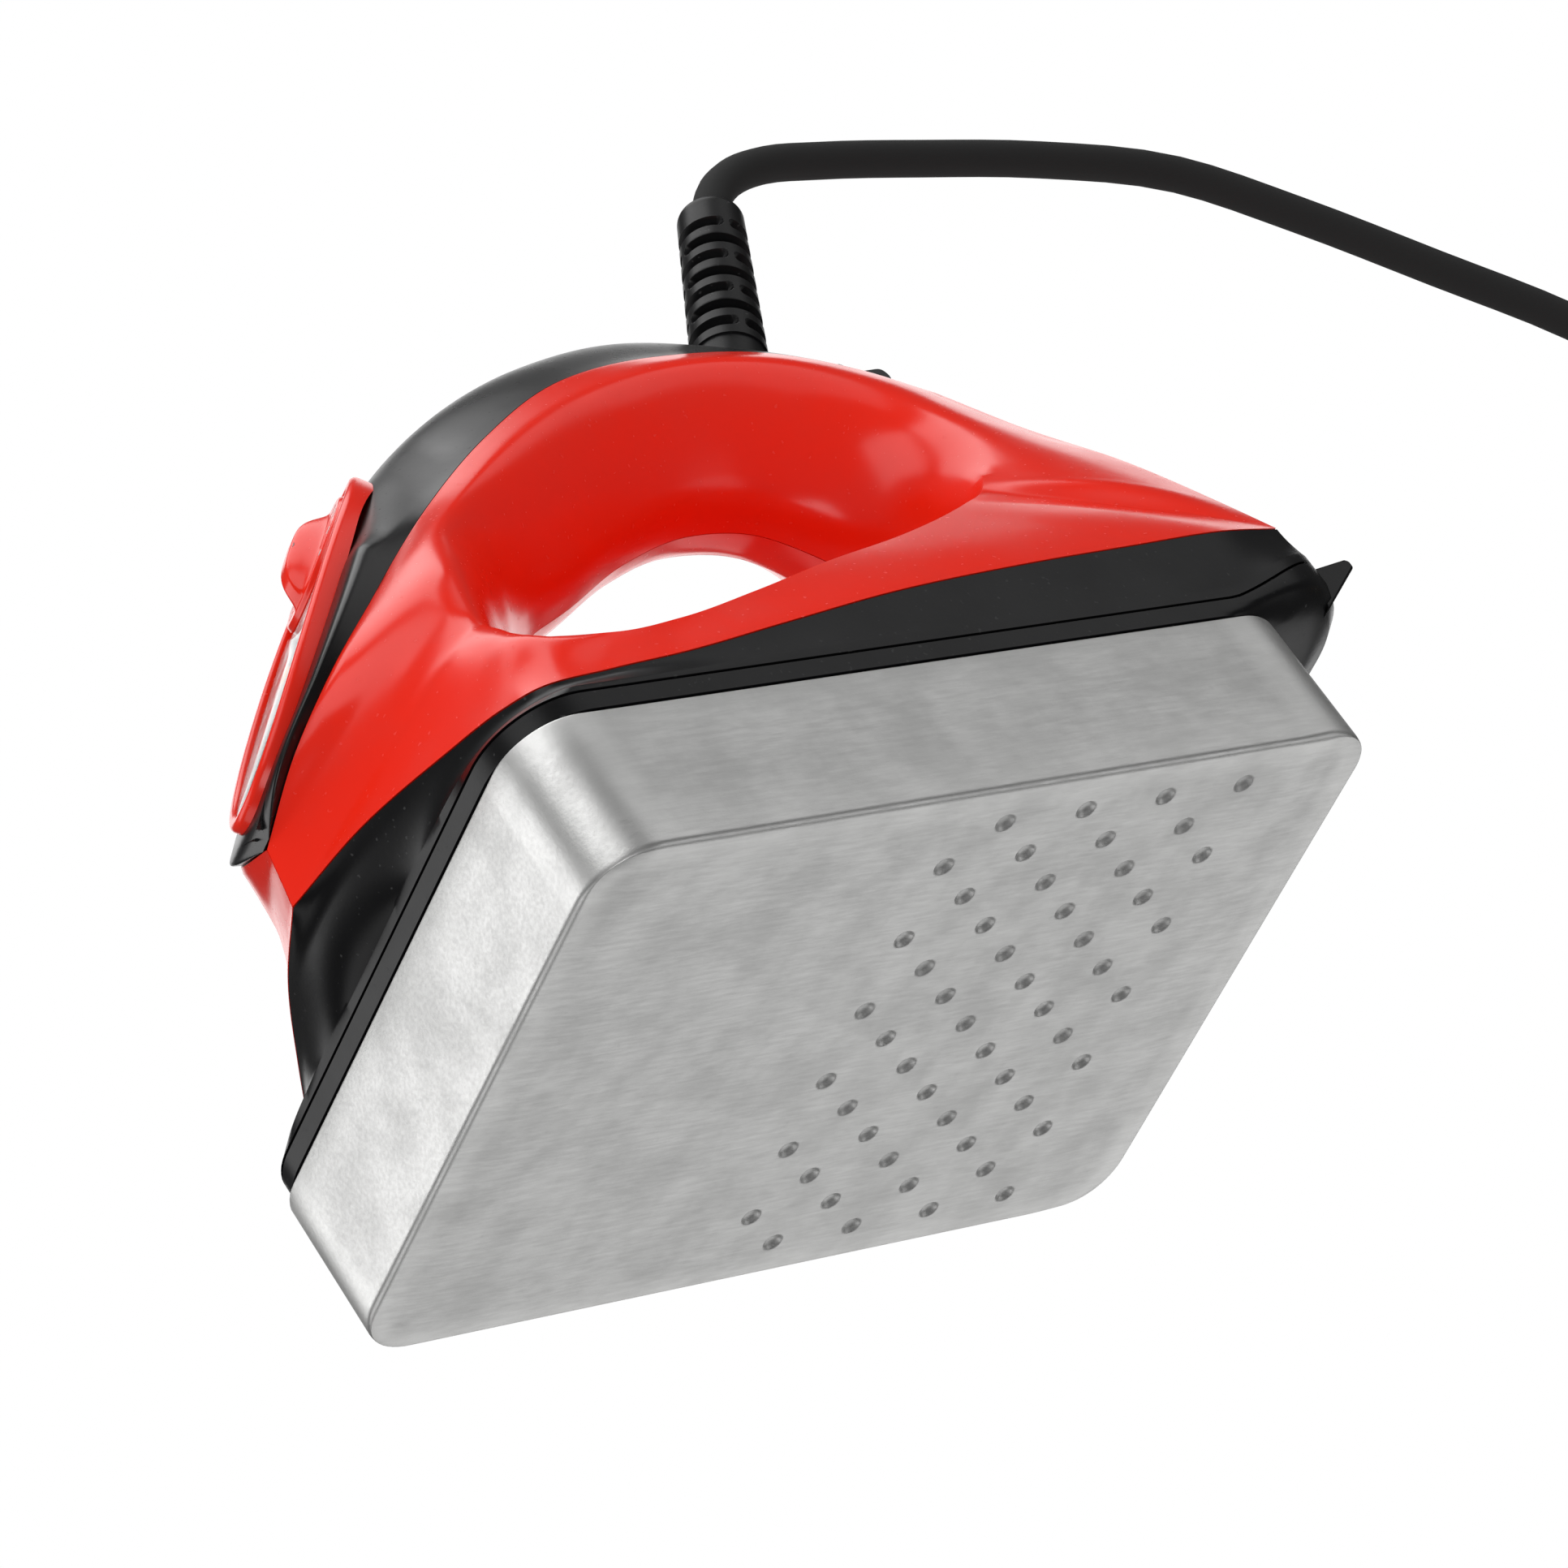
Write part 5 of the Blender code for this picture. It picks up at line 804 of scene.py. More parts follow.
def make_sole_plate():
    """The sole is a height over a grid that fits a rounded rectangle; its border is carried
    round the fillet to the wall's rounder outline, up, over the rim and into the pocket."""
    inset, corner = settings().plate.sole_fillet, SOLE_CORNER
    length, width = HALF_LENGTH + HEEL_GROWTH / 2 - inset, HALF_WIDTH - inset
    shift = HEEL_GROWTH / 2
    centres = dimple_centres()
    x = lines_near(np.unique(centres[:, 0]) - shift, -length, length)
    y = lines_near(np.unique(centres[:, 1]), -width, width)
    ends = corner * (1 - np.cos(np.linspace(0, math.pi / 2, 14)))
    x = np.unique(np.concatenate([x[np.abs(x) < length - corner], length - ends, ends - length]))
    into = np.clip(np.abs(x) - (length - corner), 0, corner)
    half = width - corner + np.sqrt(np.maximum(corner**2 - into**2, 0))
    plan = np.stack(np.broadcast_arrays(x[:, None], y[None, :] / width * half[:, None]), -1)
    rows, columns = plan.shape[:2]
    heights = sole_height(plan + np.array([shift, 0]))
    sole = np.concatenate([plan, heights[..., None]], -1)
    number = np.arange(rows * columns).reshape(rows, columns)
    border = np.concatenate([number[0, :-1], number[:-1, -1], number[-1, :0:-1], number[:0:-1, 0]])
    edge = sole.reshape(-1, 3)[border]
    limit = np.array([length - corner, width - corner])
    core = np.clip(edge[:, :2], -limit, limit)
    out = unit(edge[:, :2] - core)
    core = core * (np.array([length, width]) + inset - WALL_CORNER) / limit

    def level(offset, z, share=1.0):
        """The wall's outline moved in by an offset, or a share of the way to it."""
        ring = core + out * (WALL_CORNER - offset)
        return lifted(edge[:, :2] * (1 - share) + ring * share, z)

    fillet = np.radians(np.arange(1, 9) * 11.25)
    loops = [level(0, edge[:, 2] + inset * (1 - math.cos(a)), math.sin(a)) for a in fillet]
    soft = 0.5 * MM
    loops += [level(0, PLATE_TOP * share) for share in (0.4, 0.75)] + [level(0, PLATE_TOP - soft)]
    loops += [level(0.3 * soft, PLATE_TOP - 0.3 * soft), level(soft, PLATE_TOP)]
    loops += [level(PLATE_WALL, PLATE_TOP), level(PLATE_WALL + 1 * MM, PLATE_FLOOR)]
    loops = np.array(loops)
    size, around = rows * columns, len(border)
    walls = quads(len(loops), around, wrap_columns=True, first=size)
    lower = np.column_stack([border, np.roll(border, -1)])
    upper = np.column_stack([np.arange(around), np.roll(np.arange(around), -1)]) + size
    join = np.column_stack([lower, upper[:, ::-1]])
    points = np.concatenate([sole.reshape(-1, 3), loops.reshape(-1, 3)]) + np.array([shift, 0, 0])
    floor = np.arange(around) + size + (len(loops) - 1) * around
    plate = add_piece(
        "sole_plate_casting", points, np.concatenate([quads(rows, columns), join, walls]),
        "cast_aluminium", nodes=["sole_plate"], sharp=35, caps=[floor],
    )
    mark_plate_wear_and_highlight(plate.data)


def mark_plate_wear_and_highlight(mesh):
    """Stores where the plate is painted lighter, along the sole's edge and most at corners: partly
    real polish from handling, partly a painted highlight.
    """
    points = np.empty(len(mesh.vertices) * 3, np.float32)
    mesh.vertices.foreach_get("co", points)
    x, y, z = points.reshape(-1, 3).T
    fillet = settings().plate.sole_fillet
    outward = np.maximum(np.abs(x) - HALF_LENGTH, np.abs(y) - HALF_WIDTH)
    low = 1 - smoothstep(0.3 * fillet, 1.6 * fillet, np.abs(z - 0.5 * fillet))
    near = smoothstep(-1.6 * fillet, -0.3 * fillet, outward)
    corner = np.hypot(
        np.clip(np.abs(x) - (HALF_LENGTH - PLATE_CORNER), 0, None),
        np.clip(np.abs(y) - (HALF_WIDTH - PLATE_CORNER), 0, None),
    )
    at_corner = smoothstep(0.75 * PLATE_CORNER, 0.98 * PLATE_CORNER, corner)
    both = (np.abs(x) > HALF_LENGTH - PLATE_CORNER) & (np.abs(y) > HALF_WIDTH - PLATE_CORNER)
    strip = smoothstep(-6.5 * MM, -2.5 * MM, outward) * (1 - smoothstep(1 * MM, 2 * MM, z))
    # Partly real polish, partly a painted highlight: the fillet strip and the corners get a lighter
    # tint.
    wear = np.clip(low * near * 0.3 + strip * 0.6 + at_corner * both * 0.7, 0, 1)
    values = mesh.attributes.new("wear", "FLOAT", "POINT").data
    values.foreach_set("value", wear.astype(np.float32))


# --- Dial -------------------------------------------------------------------------
BEZEL_SHIFT = -1.35 * MM
BEZEL_FLOOR, BEZEL_SEAT, BEZEL_RIM_WIDTH = 1.2 * MM, -0.1 * MM, 2.3 * MM
RIM_HEIGHT, RIM_CROWN, RIM_FALL = 2.6 * MM, 0.8 * MM, 0.6 * MM
BEZEL = FACE @ Matrix.Translation((BEZEL_SHIFT, 0, -0.2 * MM)) @ Matrix.Rotation(-0.01, 4, "Y")
KNOB_OFFSET = 21 * MM
KNOB = FACE @ Matrix.Translation((KNOB_OFFSET, 0, 0))
LAMP = FACE @ Matrix.Translation((-8 * MM, 0, 0))
SHAFT_HOLE, LAMP_HOLE, HOLE_REACH, LABEL_END = 2.5 * MM, 2.8 * MM, 5 * MM, -27 * MM
KNOB_BASE, KNOB_DISC, NUMBER_RADIUS = 1.9 * MM, 1.4 * MM, 9.1 * MM
KNOB_TOP = KNOB_BASE + KNOB_DISC
SLIT_MIDDLE, SLIT_HALF_LENGTH, SLIT_ASIDE, SLIT_DEPTH = 4 * MM, 2 * MM, 5.2 * MM, 0.9 * MM
RIM_EASE, RIM_DROP = 1.1 * MM, 0.9 * MM
SIGN_SIZE = 2.6 * MM
NUMBER_ANGLES = (50, 77, 103, 130, 230, 257, 283, 310)


def face_tools(depth):
    """Round tools for the knob's shaft and the lamp, from a depth to above the face."""
    holes = ((SHAFT_HOLE, KNOB), (LAMP_HOLE, LAMP))
    return [round_tool(radius, depth, HOLE_REACH, place, 32) for radius, place in holes]


def oval(half_length, half_width, sides=180, power=2.2):
    """A superellipse as points (x, y)."""
    c, s = np.cos(angles(sides)), np.sin(angles(sides))
    x, y = np.sign(c) * abs(c) ** (2 / power), np.sign(s) * abs(s) ** (2 / power)
    return np.column_stack([half_length * x, half_width * y])


def bezel_plan(inset, sides=180):
    """The frame's outline, moved in by the inset."""
    dial = settings().dial
    return oval(dial.frame_length / 2 - inset, dial.frame_width / 2 - inset, sides)


def rim_height(x):
    """The rim follows a parabola along the face, highest in the middle, lower at the top end."""
    share = 2 * x / settings().dial.frame_length
    return RIM_HEIGHT + RIM_CROWN * (1 - share**2) - RIM_FALL * np.clip(share, 0, 1) ** 2


def seat_height(x):
    """The frame's foot: it falls at both ends to meet the cover, which curves away."""
    low = np.clip((-x - 34 * MM) / (6 * MM), 0, 1)
    high = np.clip((x - 16 * MM) / (22 * MM), 0, 1)
    return BEZEL_SEAT - 0.5 * MM * low**2 - 3.2 * MM * high**2


def make_dial_bezel():
    """Ovals from the seat over the rounded rim down to the floor of the recess."""
    outer = bezel_plan(0)
    loops = [lifted(bezel_plan(3 * MM), BEZEL_SEAT), lifted(outer, seat_height(outer[:, 0]))]
    out, back = np.radians([0, 15, 30, 45, 60, 75, 90]), np.radians([0, 22, 45, 68, 90])
    round_out = np.column_stack([1 - np.cos(out), 1 - np.sin(out)]) * 1.1 * MM
    round_in = np.column_stack([np.sin(back), 1 - np.cos(back)]) * 0.6 * MM
    round_in += np.array([1.8, 0.05]) * MM
    for inset, drop in [*round_out, *round_in]:
        plan = bezel_plan(inset)
        loops.append(lifted(plan, rim_height(plan[:, 0]) - drop))
    for inset, z in ((2.5 * MM, BEZEL_FLOOR + 0.3 * MM), (BEZEL_RIM_WIDTH, BEZEL_FLOOR)):
        loops.append(lifted(bezel_plan(inset), z))
    bezel = add_tube("dial_bezel_frame", moved(loops, BEZEL), "red_gloss", nodes=["dial_bezel"])
    cut(bezel, face_tools(-3 * MM))


def panel_outline(inset, samples=220):
    """The recess's oval, hollowed by an arc where the knob turns, as points (x, y)."""
    plan = bezel_plan(BEZEL_RIM_WIDTH + inset, 720)
    knob_radius = settings().dial.knob_radius
    room = knob_radius + 0.6 * MM + inset
    middle = KNOB_OFFSET - BEZEL_SHIFT
    away = np.hypot(plan[:, 0] - middle, plan[:, 1])
    kept = plan[(away > room) & (plan[:, 0] < middle - 0.7 * knob_radius)]
    order = np.argsort(np.arctan2(kept[:, 1], -(kept[:, 0] + 20 * MM)))
    kept = kept[order]
    start, end = (np.arctan2(p[1], p[0] - middle) % (2 * math.pi) for p in (kept[-1], kept[0]))
    a = np.linspace(start, end, 40)[1:-1]
    arc = np.column_stack([middle + room * np.cos(a), room * np.sin(a)])
    closed = np.concatenate([kept, arc, kept[:1]])
    step = np.append(0, np.cumsum(np.linalg.norm(np.diff(closed, axis=0), axis=1)))
    at = np.linspace(0, step[-1], samples, endpoint=False)
    return np.column_stack([np.interp(at, step, closed[:, k]) for k in (0, 1)])


def make_dial_panel():
    """A clear lens with an eased edge over a printed label that lies on the recess's floor."""
    low, high = BEZEL_FLOOR + GAP, BEZEL_FLOOR + GAP + 0.9 * MM
    sections = ((0, low), (0, high - 0.25 * MM), (0.1 * MM, high - 0.08 * MM), (0.3 * MM, high))
    loops = moved([lifted(panel_outline(GAP + inset), z) for inset, z in sections], BEZEL)
    add_tube("dial_panel_lens", loops, "clear_lens", nodes=["dial_panel"])
    plan = panel_outline(1.1 * MM)
    plan[:, 0] = np.clip(plan[:, 0], LABEL_END, None)
    loops = moved([lifted(plan, BEZEL_FLOOR + z) for z in (0.02 * MM, 0.2 * MM)], BEZEL)
    label = add_tube("dial_label", loops, "label_grey")
    cut(label, [round_tool(LAMP_HOLE - 0.1 * MM, 0, 4 * MM, LAMP, 32)])


def knob_height(x, y):
    """Height over the disc: an arched grip along x, an eased rim, and a slit on each side
    of the grip, above and below its middle."""
    dial = settings().dial
    t = x / (dial.knob_radius - 1 * MM)
    rise = dial.grip_height * np.clip(1 - np.abs(t) ** 3.4, 0, 1)
    wide = dial.grip_width / 2 * (1 - 0.45 * np.clip(t, -1, 1) ** 2)
    ridge = rise * (1 - smoothstep(0.35, 1.35, np.abs(y) / wide))
    edge = smoothstep(dial.knob_radius - RIM_EASE, dial.knob_radius, np.hypot(x, y))
    along = np.clip(np.abs(np.abs(x) - SLIT_MIDDLE) - SLIT_HALF_LENGTH, 0, None)
    slit = 1 - smoothstep(0.25 * MM, 0.6 * MM, np.hypot(along, np.abs(y) - SLIT_ASIDE))
    return ridge - RIM_DROP * edge**2 - SLIT_DEPTH * slit


def make_temperature_knob(rings=72, sides=216):
    """The top is a height over a polar grid; below it the disc's side and flat underside."""
    outer, soft = settings().dial.knob_radius, 0.35 * MM
    radius = np.linspace(0, 1, rings) ** 0.9 * outer
    radius[0] = 0.02 * MM
    top = polar(radius[:, None], angles(sides), 0.0)
    top[..., 2] = KNOB_TOP + knob_height(top[..., 0], top[..., 1])
    under = [circle(outer, sides, KNOB_BASE + soft), circle(outer - soft, sides, KNOB_BASE)]
    loops = moved(np.concatenate([top, under]), KNOB)
    add_tube(
        "temperature_knob_cap", loops, "red_gloss", "knob", ["temperature_knob"], sharp=60,
    )


def lettering(name, words, finish, body):
    """Small raised signs from (text, size, matrix) rows, as one mesh."""
    work = bmesh.new()
    for text, size, matrix in words:
        curve = bpy.data.curves.new(name, "FONT")
        curve.body, curve.size, curve.extrude = text, size, 0.03 * MM
        curve.align_x, curve.align_y = "CENTER", "CENTER"
        sign = linked(name, curve)
        graph = bpy.context.evaluated_depsgraph_get()
        mesh = bpy.data.meshes.new_from_object(sign.evaluated_get(graph))
        mesh.transform(matrix)
        work.from_mesh(mesh)
        bpy.data.objects.remove(sign)
        bpy.data.meshes.remove(mesh)
    mesh = bpy.data.meshes.new(name)
    work.to_mesh(mesh)
    work.free()
    return dress(linked(name, mesh), finish, body)


def make_dial_marks():
    """Numbers on the turning disc, beside the grip, and a fixed pointer on the label."""
    rows = []
    for number, degrees in enumerate(NUMBER_ANGLES, 1):
        a = math.radians(degrees)
        spot = (NUMBER_RADIUS * math.cos(a), NUMBER_RADIUS * math.sin(a), KNOB_TOP + 0.03 * MM)
        place = KNOB @ Matrix.Translation(spot) @ Matrix.Rotation(a - math.pi / 2, 4, "Z")
        rows.append((str(number), SIGN_SIZE, place))
    lettering("dial_numbers", rows, "print_white", "knob")
    pointer = BEZEL @ Matrix.Translation((7.2 * MM, 0, BEZEL_FLOOR + 0.23 * MM))
    a = np.radians([90, 210, 330])
    flat = np.column_stack([1.5 * MM * np.sin(a), 1.5 * MM * np.cos(a)])
    loops = moved([lifted(flat, z) for z in (-0.02 * MM, 0.02 * MM)], pointer)
    add_tube("dial_pointer", loops, "black_satin")


# --- Switch -----------------------------------------------------------------------
SWITCH_LENGTH, SWITCH_WIDTH, SWITCH_WALL = 14.4 * MM, 9 * MM, 1 * MM
ROCKER_RADIUS, ROCKER_SINK = 5.6 * MM, 0.4 * MM
# Rear end, peak, dip and front end, as (x, z).
ROCKER_TOP = np.array([(5.3, 3.9), (3.3, 5.7), (-1.2, 3.0), (-5.3, 3.9)]) * MM
ROCKER_TILT = math.radians(-7.5)
ROCKER = SWITCH @ Matrix.Translation((0, 0, -ROCKER_SINK)) @ Matrix.Rotation(ROCKER_TILT, 4, "Y")


def make_switch_rocker():
    """A side outline with a round belly, a peak to the rear and a dip, swept across."""
    half = SWITCH_WIDTH / 2 - SWITCH_WALL - GAP
    a = np.radians(np.linspace(200, 340, 33))
    belly = ROCKER_RADIUS * np.column_stack([np.cos(a), np.sin(a)])
    top = rounded_profile([belly[-1], *ROCKER_TOP, belly[0]], 1.3 * MM, 8)
    outline = np.concatenate([belly, top[1:-1]])
    loops = moved([lifted(outline, y)[:, [0, 2, 1]] for y in (-half, half)], ROCKER)
    add_tube(
        "switch_rocker_cap", loops, "switch_black", "rocker", ["switch_rocker"],
        sharp=35, bevel=0.3 * MM,
    )
    marks = []
    for text, (x, z), (end_x, end_z) in zip("IO", ROCKER_TOP[2:], ROCKER_TOP[1:]):
        lean = math.atan2(end_z - z, end_x - x)
        place = Matrix.Translation(((x + end_x) / 2, 0, (z + end_z) / 2 + 0.04 * MM))
        place = place @ Matrix.Rotation(-lean, 4, "Y") @ Matrix.Rotation(math.pi / 2, 4, "Z")
        marks.append((text, SIGN_SIZE, ROCKER @ place))
    lettering("switch_marks", marks, "print_white", "rocker")


# --- Strain relief ----------------------------------------------------------------
GLAND_NECK, GLAND_LENGTH, GLAND_BRIM = 12.8 * MM, 39.9 * MM, 1.6 * MM
GLAND_BASE, GLAND_TIP = 6.8 * MM, 5.9 * MM
SLOT_ROWS, SLOT_FIRST, SLOT_PITCH = 7, 4.5 * MM, 4.6 * MM
SLOT_WIDTH, SLOT_REACH = 2.0 * MM, math.radians(74)
# The flange and neck inside the cover, as (radius, height).
GLAND_FOOTING = np.array([(7.5, -12), (7.5, -9.5), (6.4, -9.5), (6.4, 1.2)]) * MM


def gland_radius(u, around):
    """The taper's radius less rounded slots: two in each row, with every second row a
    quarter turn on. A slot is the space within half its width of an arc."""
    radius = GLAND_BASE + (GLAND_TIP - GLAND_BASE) * np.clip(u / GLAND_LENGTH, 0, 1)
    over = np.clip(u - (GLAND_LENGTH - GLAND_BRIM), 0, GLAND_BRIM) / GLAND_BRIM
    radius = radius - 1.1 * MM * (1 - np.sqrt(1 - 0.98 * over**2))
    depth = settings().cord.slot_depth
    for row in range(SLOT_ROWS):
        middle = SLOT_FIRST + row * SLOT_PITCH
        for half_turn in (0, 1):
            away = around - math.pi * (half_turn + row % 2 / 2)
            away = np.abs((away + math.pi) % (2 * math.pi) - math.pi)
            beside = np.clip(away - SLOT_REACH, 0, None) * GLAND_BASE
            near = np.hypot(beside, u - middle)
            radius = radius - depth * (1 - smoothstep(0.42, 0.62, near / SLOT_WIDTH))
    return radius


def make_strain_relief(sides=144):
    """Turned about its axis: a flange and neck inside the cover, and the slotted taper."""
    straight = np.linspace(1.3 * MM, GLAND_LENGTH - GLAND_BRIM, 190)
    brim = GLAND_LENGTH - GLAND_BRIM * (1 - np.sin(np.linspace(0.12, math.pi / 2, 8)))
    u, around = np.concatenate([straight, brim])[:, None], angles(sides)
    taper = polar(gland_radius(u, around[None]), around, u)
    loops = moved(np.concatenate([turned(GLAND_FOOTING, sides), taper]), GLAND)
    return add_tube(
        "strain_relief_moulding", loops, "relief_rubber", nodes=["strain_relief"], sharp=45,
    )


# --- Cord and plug ----------------------------------------------------------------
CORD_DIAMETER, CORD_LENGTH = 6.8 * MM, 2.0
CORD_ROUTE = (
    (0.0822, 0, 0.1826), (0.0871, 0, 0.1881), (0.0936, 0, 0.1919), (0.1013, 0, 0.1937),
    (0.1130, 0, 0.1936), (0.1360, 0, 0.1918), (0.1617, 0, 0.1888), (0.1902, 0, 0.1817),
    (0.2107, 0, 0.1682), (0.2325, 0, 0.1510), (0.2540, 0, 0.1335), (0.2612, 0, 0.1258),
    (0.2660, 0, 0.1155), (0.2680, 0, 0.1040), (0.2670, 0, 0.0900), (0.2645, 0, 0.0720),
    (0.2615, 0, 0.0520), (0.2602, 0, 0.0360), (0.2612, 0, 0.0251), (0.2639, 0, 0.0185),
    (0.2672, 0, 0.0139),
)
TAIL_ROUTE = (
    (0.2423, 0.0214, 0.0103), (0.2423, 0.0130, 0.0107), (0.2423, 0.0040, 0.0128),
    (0.2423, -0.0050, 0.0162), (0.2423, -0.0120, 0.0183), (0.2423, -0.0170, 0.0185),
)
# The bend that lays the cord on the floor, from its hanging part to the coil.
LANDING_CENTRE, LANDING_RADIUS, LANDING_ARC = np.array([290, 33.4]) * MM, 30 * MM, (220, 270)
COIL_CENTRE, COIL_WIDE, COIL_TIGHT = np.array([290, 47.7]) * MM, 47.7 * MM, 27.3 * MM
COIL_STRETCH = 3.5 * MM
TIE_HALF_WIDTH, TIE_HALF_HEIGHT, TIE_CORNER = 13.9 * MM, 6.9 * MM, 3.6 * MM
TIE_THICKNESS, TIE_HALF_BAND, TIE_FROM_CENTRE = 0.7 * MM, 3 * MM, 37.5 * MM
TIE_PLACES = ((1, 70), (2, 250))  # number and degrees round the coil
COIL_TURNS, COIL_RISE = 3, 0.75  # turns in each layer, and turns to climb between them
PLUG_RADIUS, PLUG_LENGTH = 18.5 * MM, 42 * MM
CLIP_HALF_WIDTH, CLIP_LENGTH, CLIP_DEPTH = 4.3 * MM, 14.4 * MM, 1.6 * MM
PLUG = Matrix.Translation((0.2423, -0.0175, PLUG_RADIUS)) @ Matrix.Rotation(math.pi / 2, 4, "X")


def coil_shift(angle):
    """How far the coil's far half is moved outwards, which gives the cord its full length."""
    return COIL_STRETCH * smoothstep(-0.3, 0.3, np.sin(angle))


def coil_points(wide, per_turn=30):
    """Turns inwards on the floor, part of a turn up, and as many turns outwards on top: the
    radius is piecewise linear in the angle, and the height runs smoothly between layers."""
    risen, last = COIL_TURNS + COIL_RISE, 2 * COIL_TURNS + COIL_RISE
    turns = np.linspace(0, last, int(last * per_turn) + 1)
    tight = COIL_TIGHT
    radius = np.interp(turns, (0, COIL_TURNS, risen, last), (wide, tight, tight, wide))
    height = CORD_DIAMETER * (0.5 + 1.01 * smoothstep(COIL_TURNS, risen, turns))
    angle = turns * 2 * math.pi - math.pi / 2
    points = polar(radius, angle, height)
    points[:, :2] += COIL_CENTRE
    points[:, 1] += coil_shift(angle)
    return points


def cord_points(wide=COIL_WIDE):
    """The whole route: out of the strain relief, over and down, round the coil, to the plug.
    Cubics join its points, with tangents from their neighbours."""
    landing = np.radians(np.linspace(*LANDING_ARC, 8))[1:-1]
    bend = polar(LANDING_RADIUS, landing, 0)[:, [0, 2, 1]]
    bend[:, [0, 2]] += LANDING_CENTRE
    parts = np.concatenate([np.array(CORD_ROUTE), bend, coil_points(wide), np.array(TAIL_ROUTE)])
    step = np.linalg.norm(np.diff(parts, axis=0), axis=1)
    slope = np.gradient(parts, np.append(0, np.cumsum(step)), axis=0)
    t = np.linspace(0, 1, 4, endpoint=False)[None, :, None]
    reach = step[:, None, None]
    leave, arrive = slope[:-1, None] * reach, slope[1:, None] * reach
    fine = hermite(parts[:-1, None], parts[1:, None], leave, arrive, t)
    return np.concatenate([fine.reshape(-1, 3), parts[-1:]])


def make_cord():
    """A round tube along the whole route, in place of the imported cord, coil and tail."""
    points = cord_points()
    path = bpy.data.curves.new("mains_cord", "CURVE")
    path.dimensions, path.bevel_depth, path.bevel_resolution = "3D", CORD_DIAMETER / 2, 7
    path.use_fill_caps = True
    line = path.splines.new("POLY")
    line.points.add(len(points) - 1)
    line.points.foreach_set("co", np.column_stack([points, np.ones(len(points))]).ravel())
    cord = linked("mains_cord", path)
    dress(cord, "cord_rubber", nodes=["power_cord", "cord_coil", "cord_tail"])


def make_plug_body(sides=240):
    """Turned about its axis from the cord's neck to the face, with a flat for each clip."""
    r, n = PLUG_RADIUS, PLUG_LENGTH
    profile = rounded_profile((
        (3.5 * MM, 0), (5.4 * MM, 0), (6.2 * MM, 0.22 * n), (0.55 * r, 0.34 * n),
        (0.8 * r, 0.46 * n), (0.86 * r, 0.62 * n), (r, 0.7 * n), (r, n), (0.5 * r, n),
    ), 2.2 * MM, 6)
    extra = np.array([(r, z) for z in np.linspace(0.745 * n, 0.955 * n, 12)])
    profile = np.insert(profile, np.searchsorted(profile[:, 1], 0.74 * n), extra, axis=0)
    around, height = angles(sides), profile[:, 1:]
    radius = np.tile(profile[:, :1], sides)
    notch = (np.abs(radius * np.cos(around)) < CLIP_HALF_WIDTH) & (height > n - CLIP_LENGTH)
    flat = (r - CLIP_DEPTH) / np.maximum(np.abs(np.sin(around)), 0.3)
    radius = np.where(notch, np.minimum(radius, flat), radius)
    loops = moved(polar(radius, around, height), PLUG)
    return add_tube("plug_moulding", loops, "relief_rubber", nodes=["plug_body"], sharp=38)


def make_coil_tie(degrees, number):
    """A flat band round the coil's turns: a rounded rectangle section swept as a loop."""

    def section(grow):
        width, height, corner = TIE_HALF_WIDTH + grow, TIE_HALF_HEIGHT + grow, TIE_CORNER + grow
        return rounded_plan(-width, width, height, corner, corner, 8)

    a = math.radians(degrees)
    out = Vector((math.cos(a), math.sin(a), 0))
    centre = Vector((*COIL_CENTRE, TIE_HALF_HEIGHT + 0.05 * MM)) + out * TIE_FROM_CENTRE
    centre.y += float(coil_shift(a))
    place = axes(centre, out, (0, 0, 1), (out.y, -out.x, 0))
    inner, outer = section(0), section(TIE_THICKNESS)
    rings = ((outer, -1), (outer, 1), (inner, 1), (inner, -1))
    grid = moved([lifted(ring, side * TIE_HALF_BAND) for ring, side in rings], place)
    grid[..., 2] = np.maximum(grid[..., 2], 0.05 * MM)
    faces = quads(*grid.shape[:2], wrap_rows=True, wrap_columns=True)
    return add_piece(f"coil_tie_{number}", grid, faces, "tie_fabric", sharp=50)


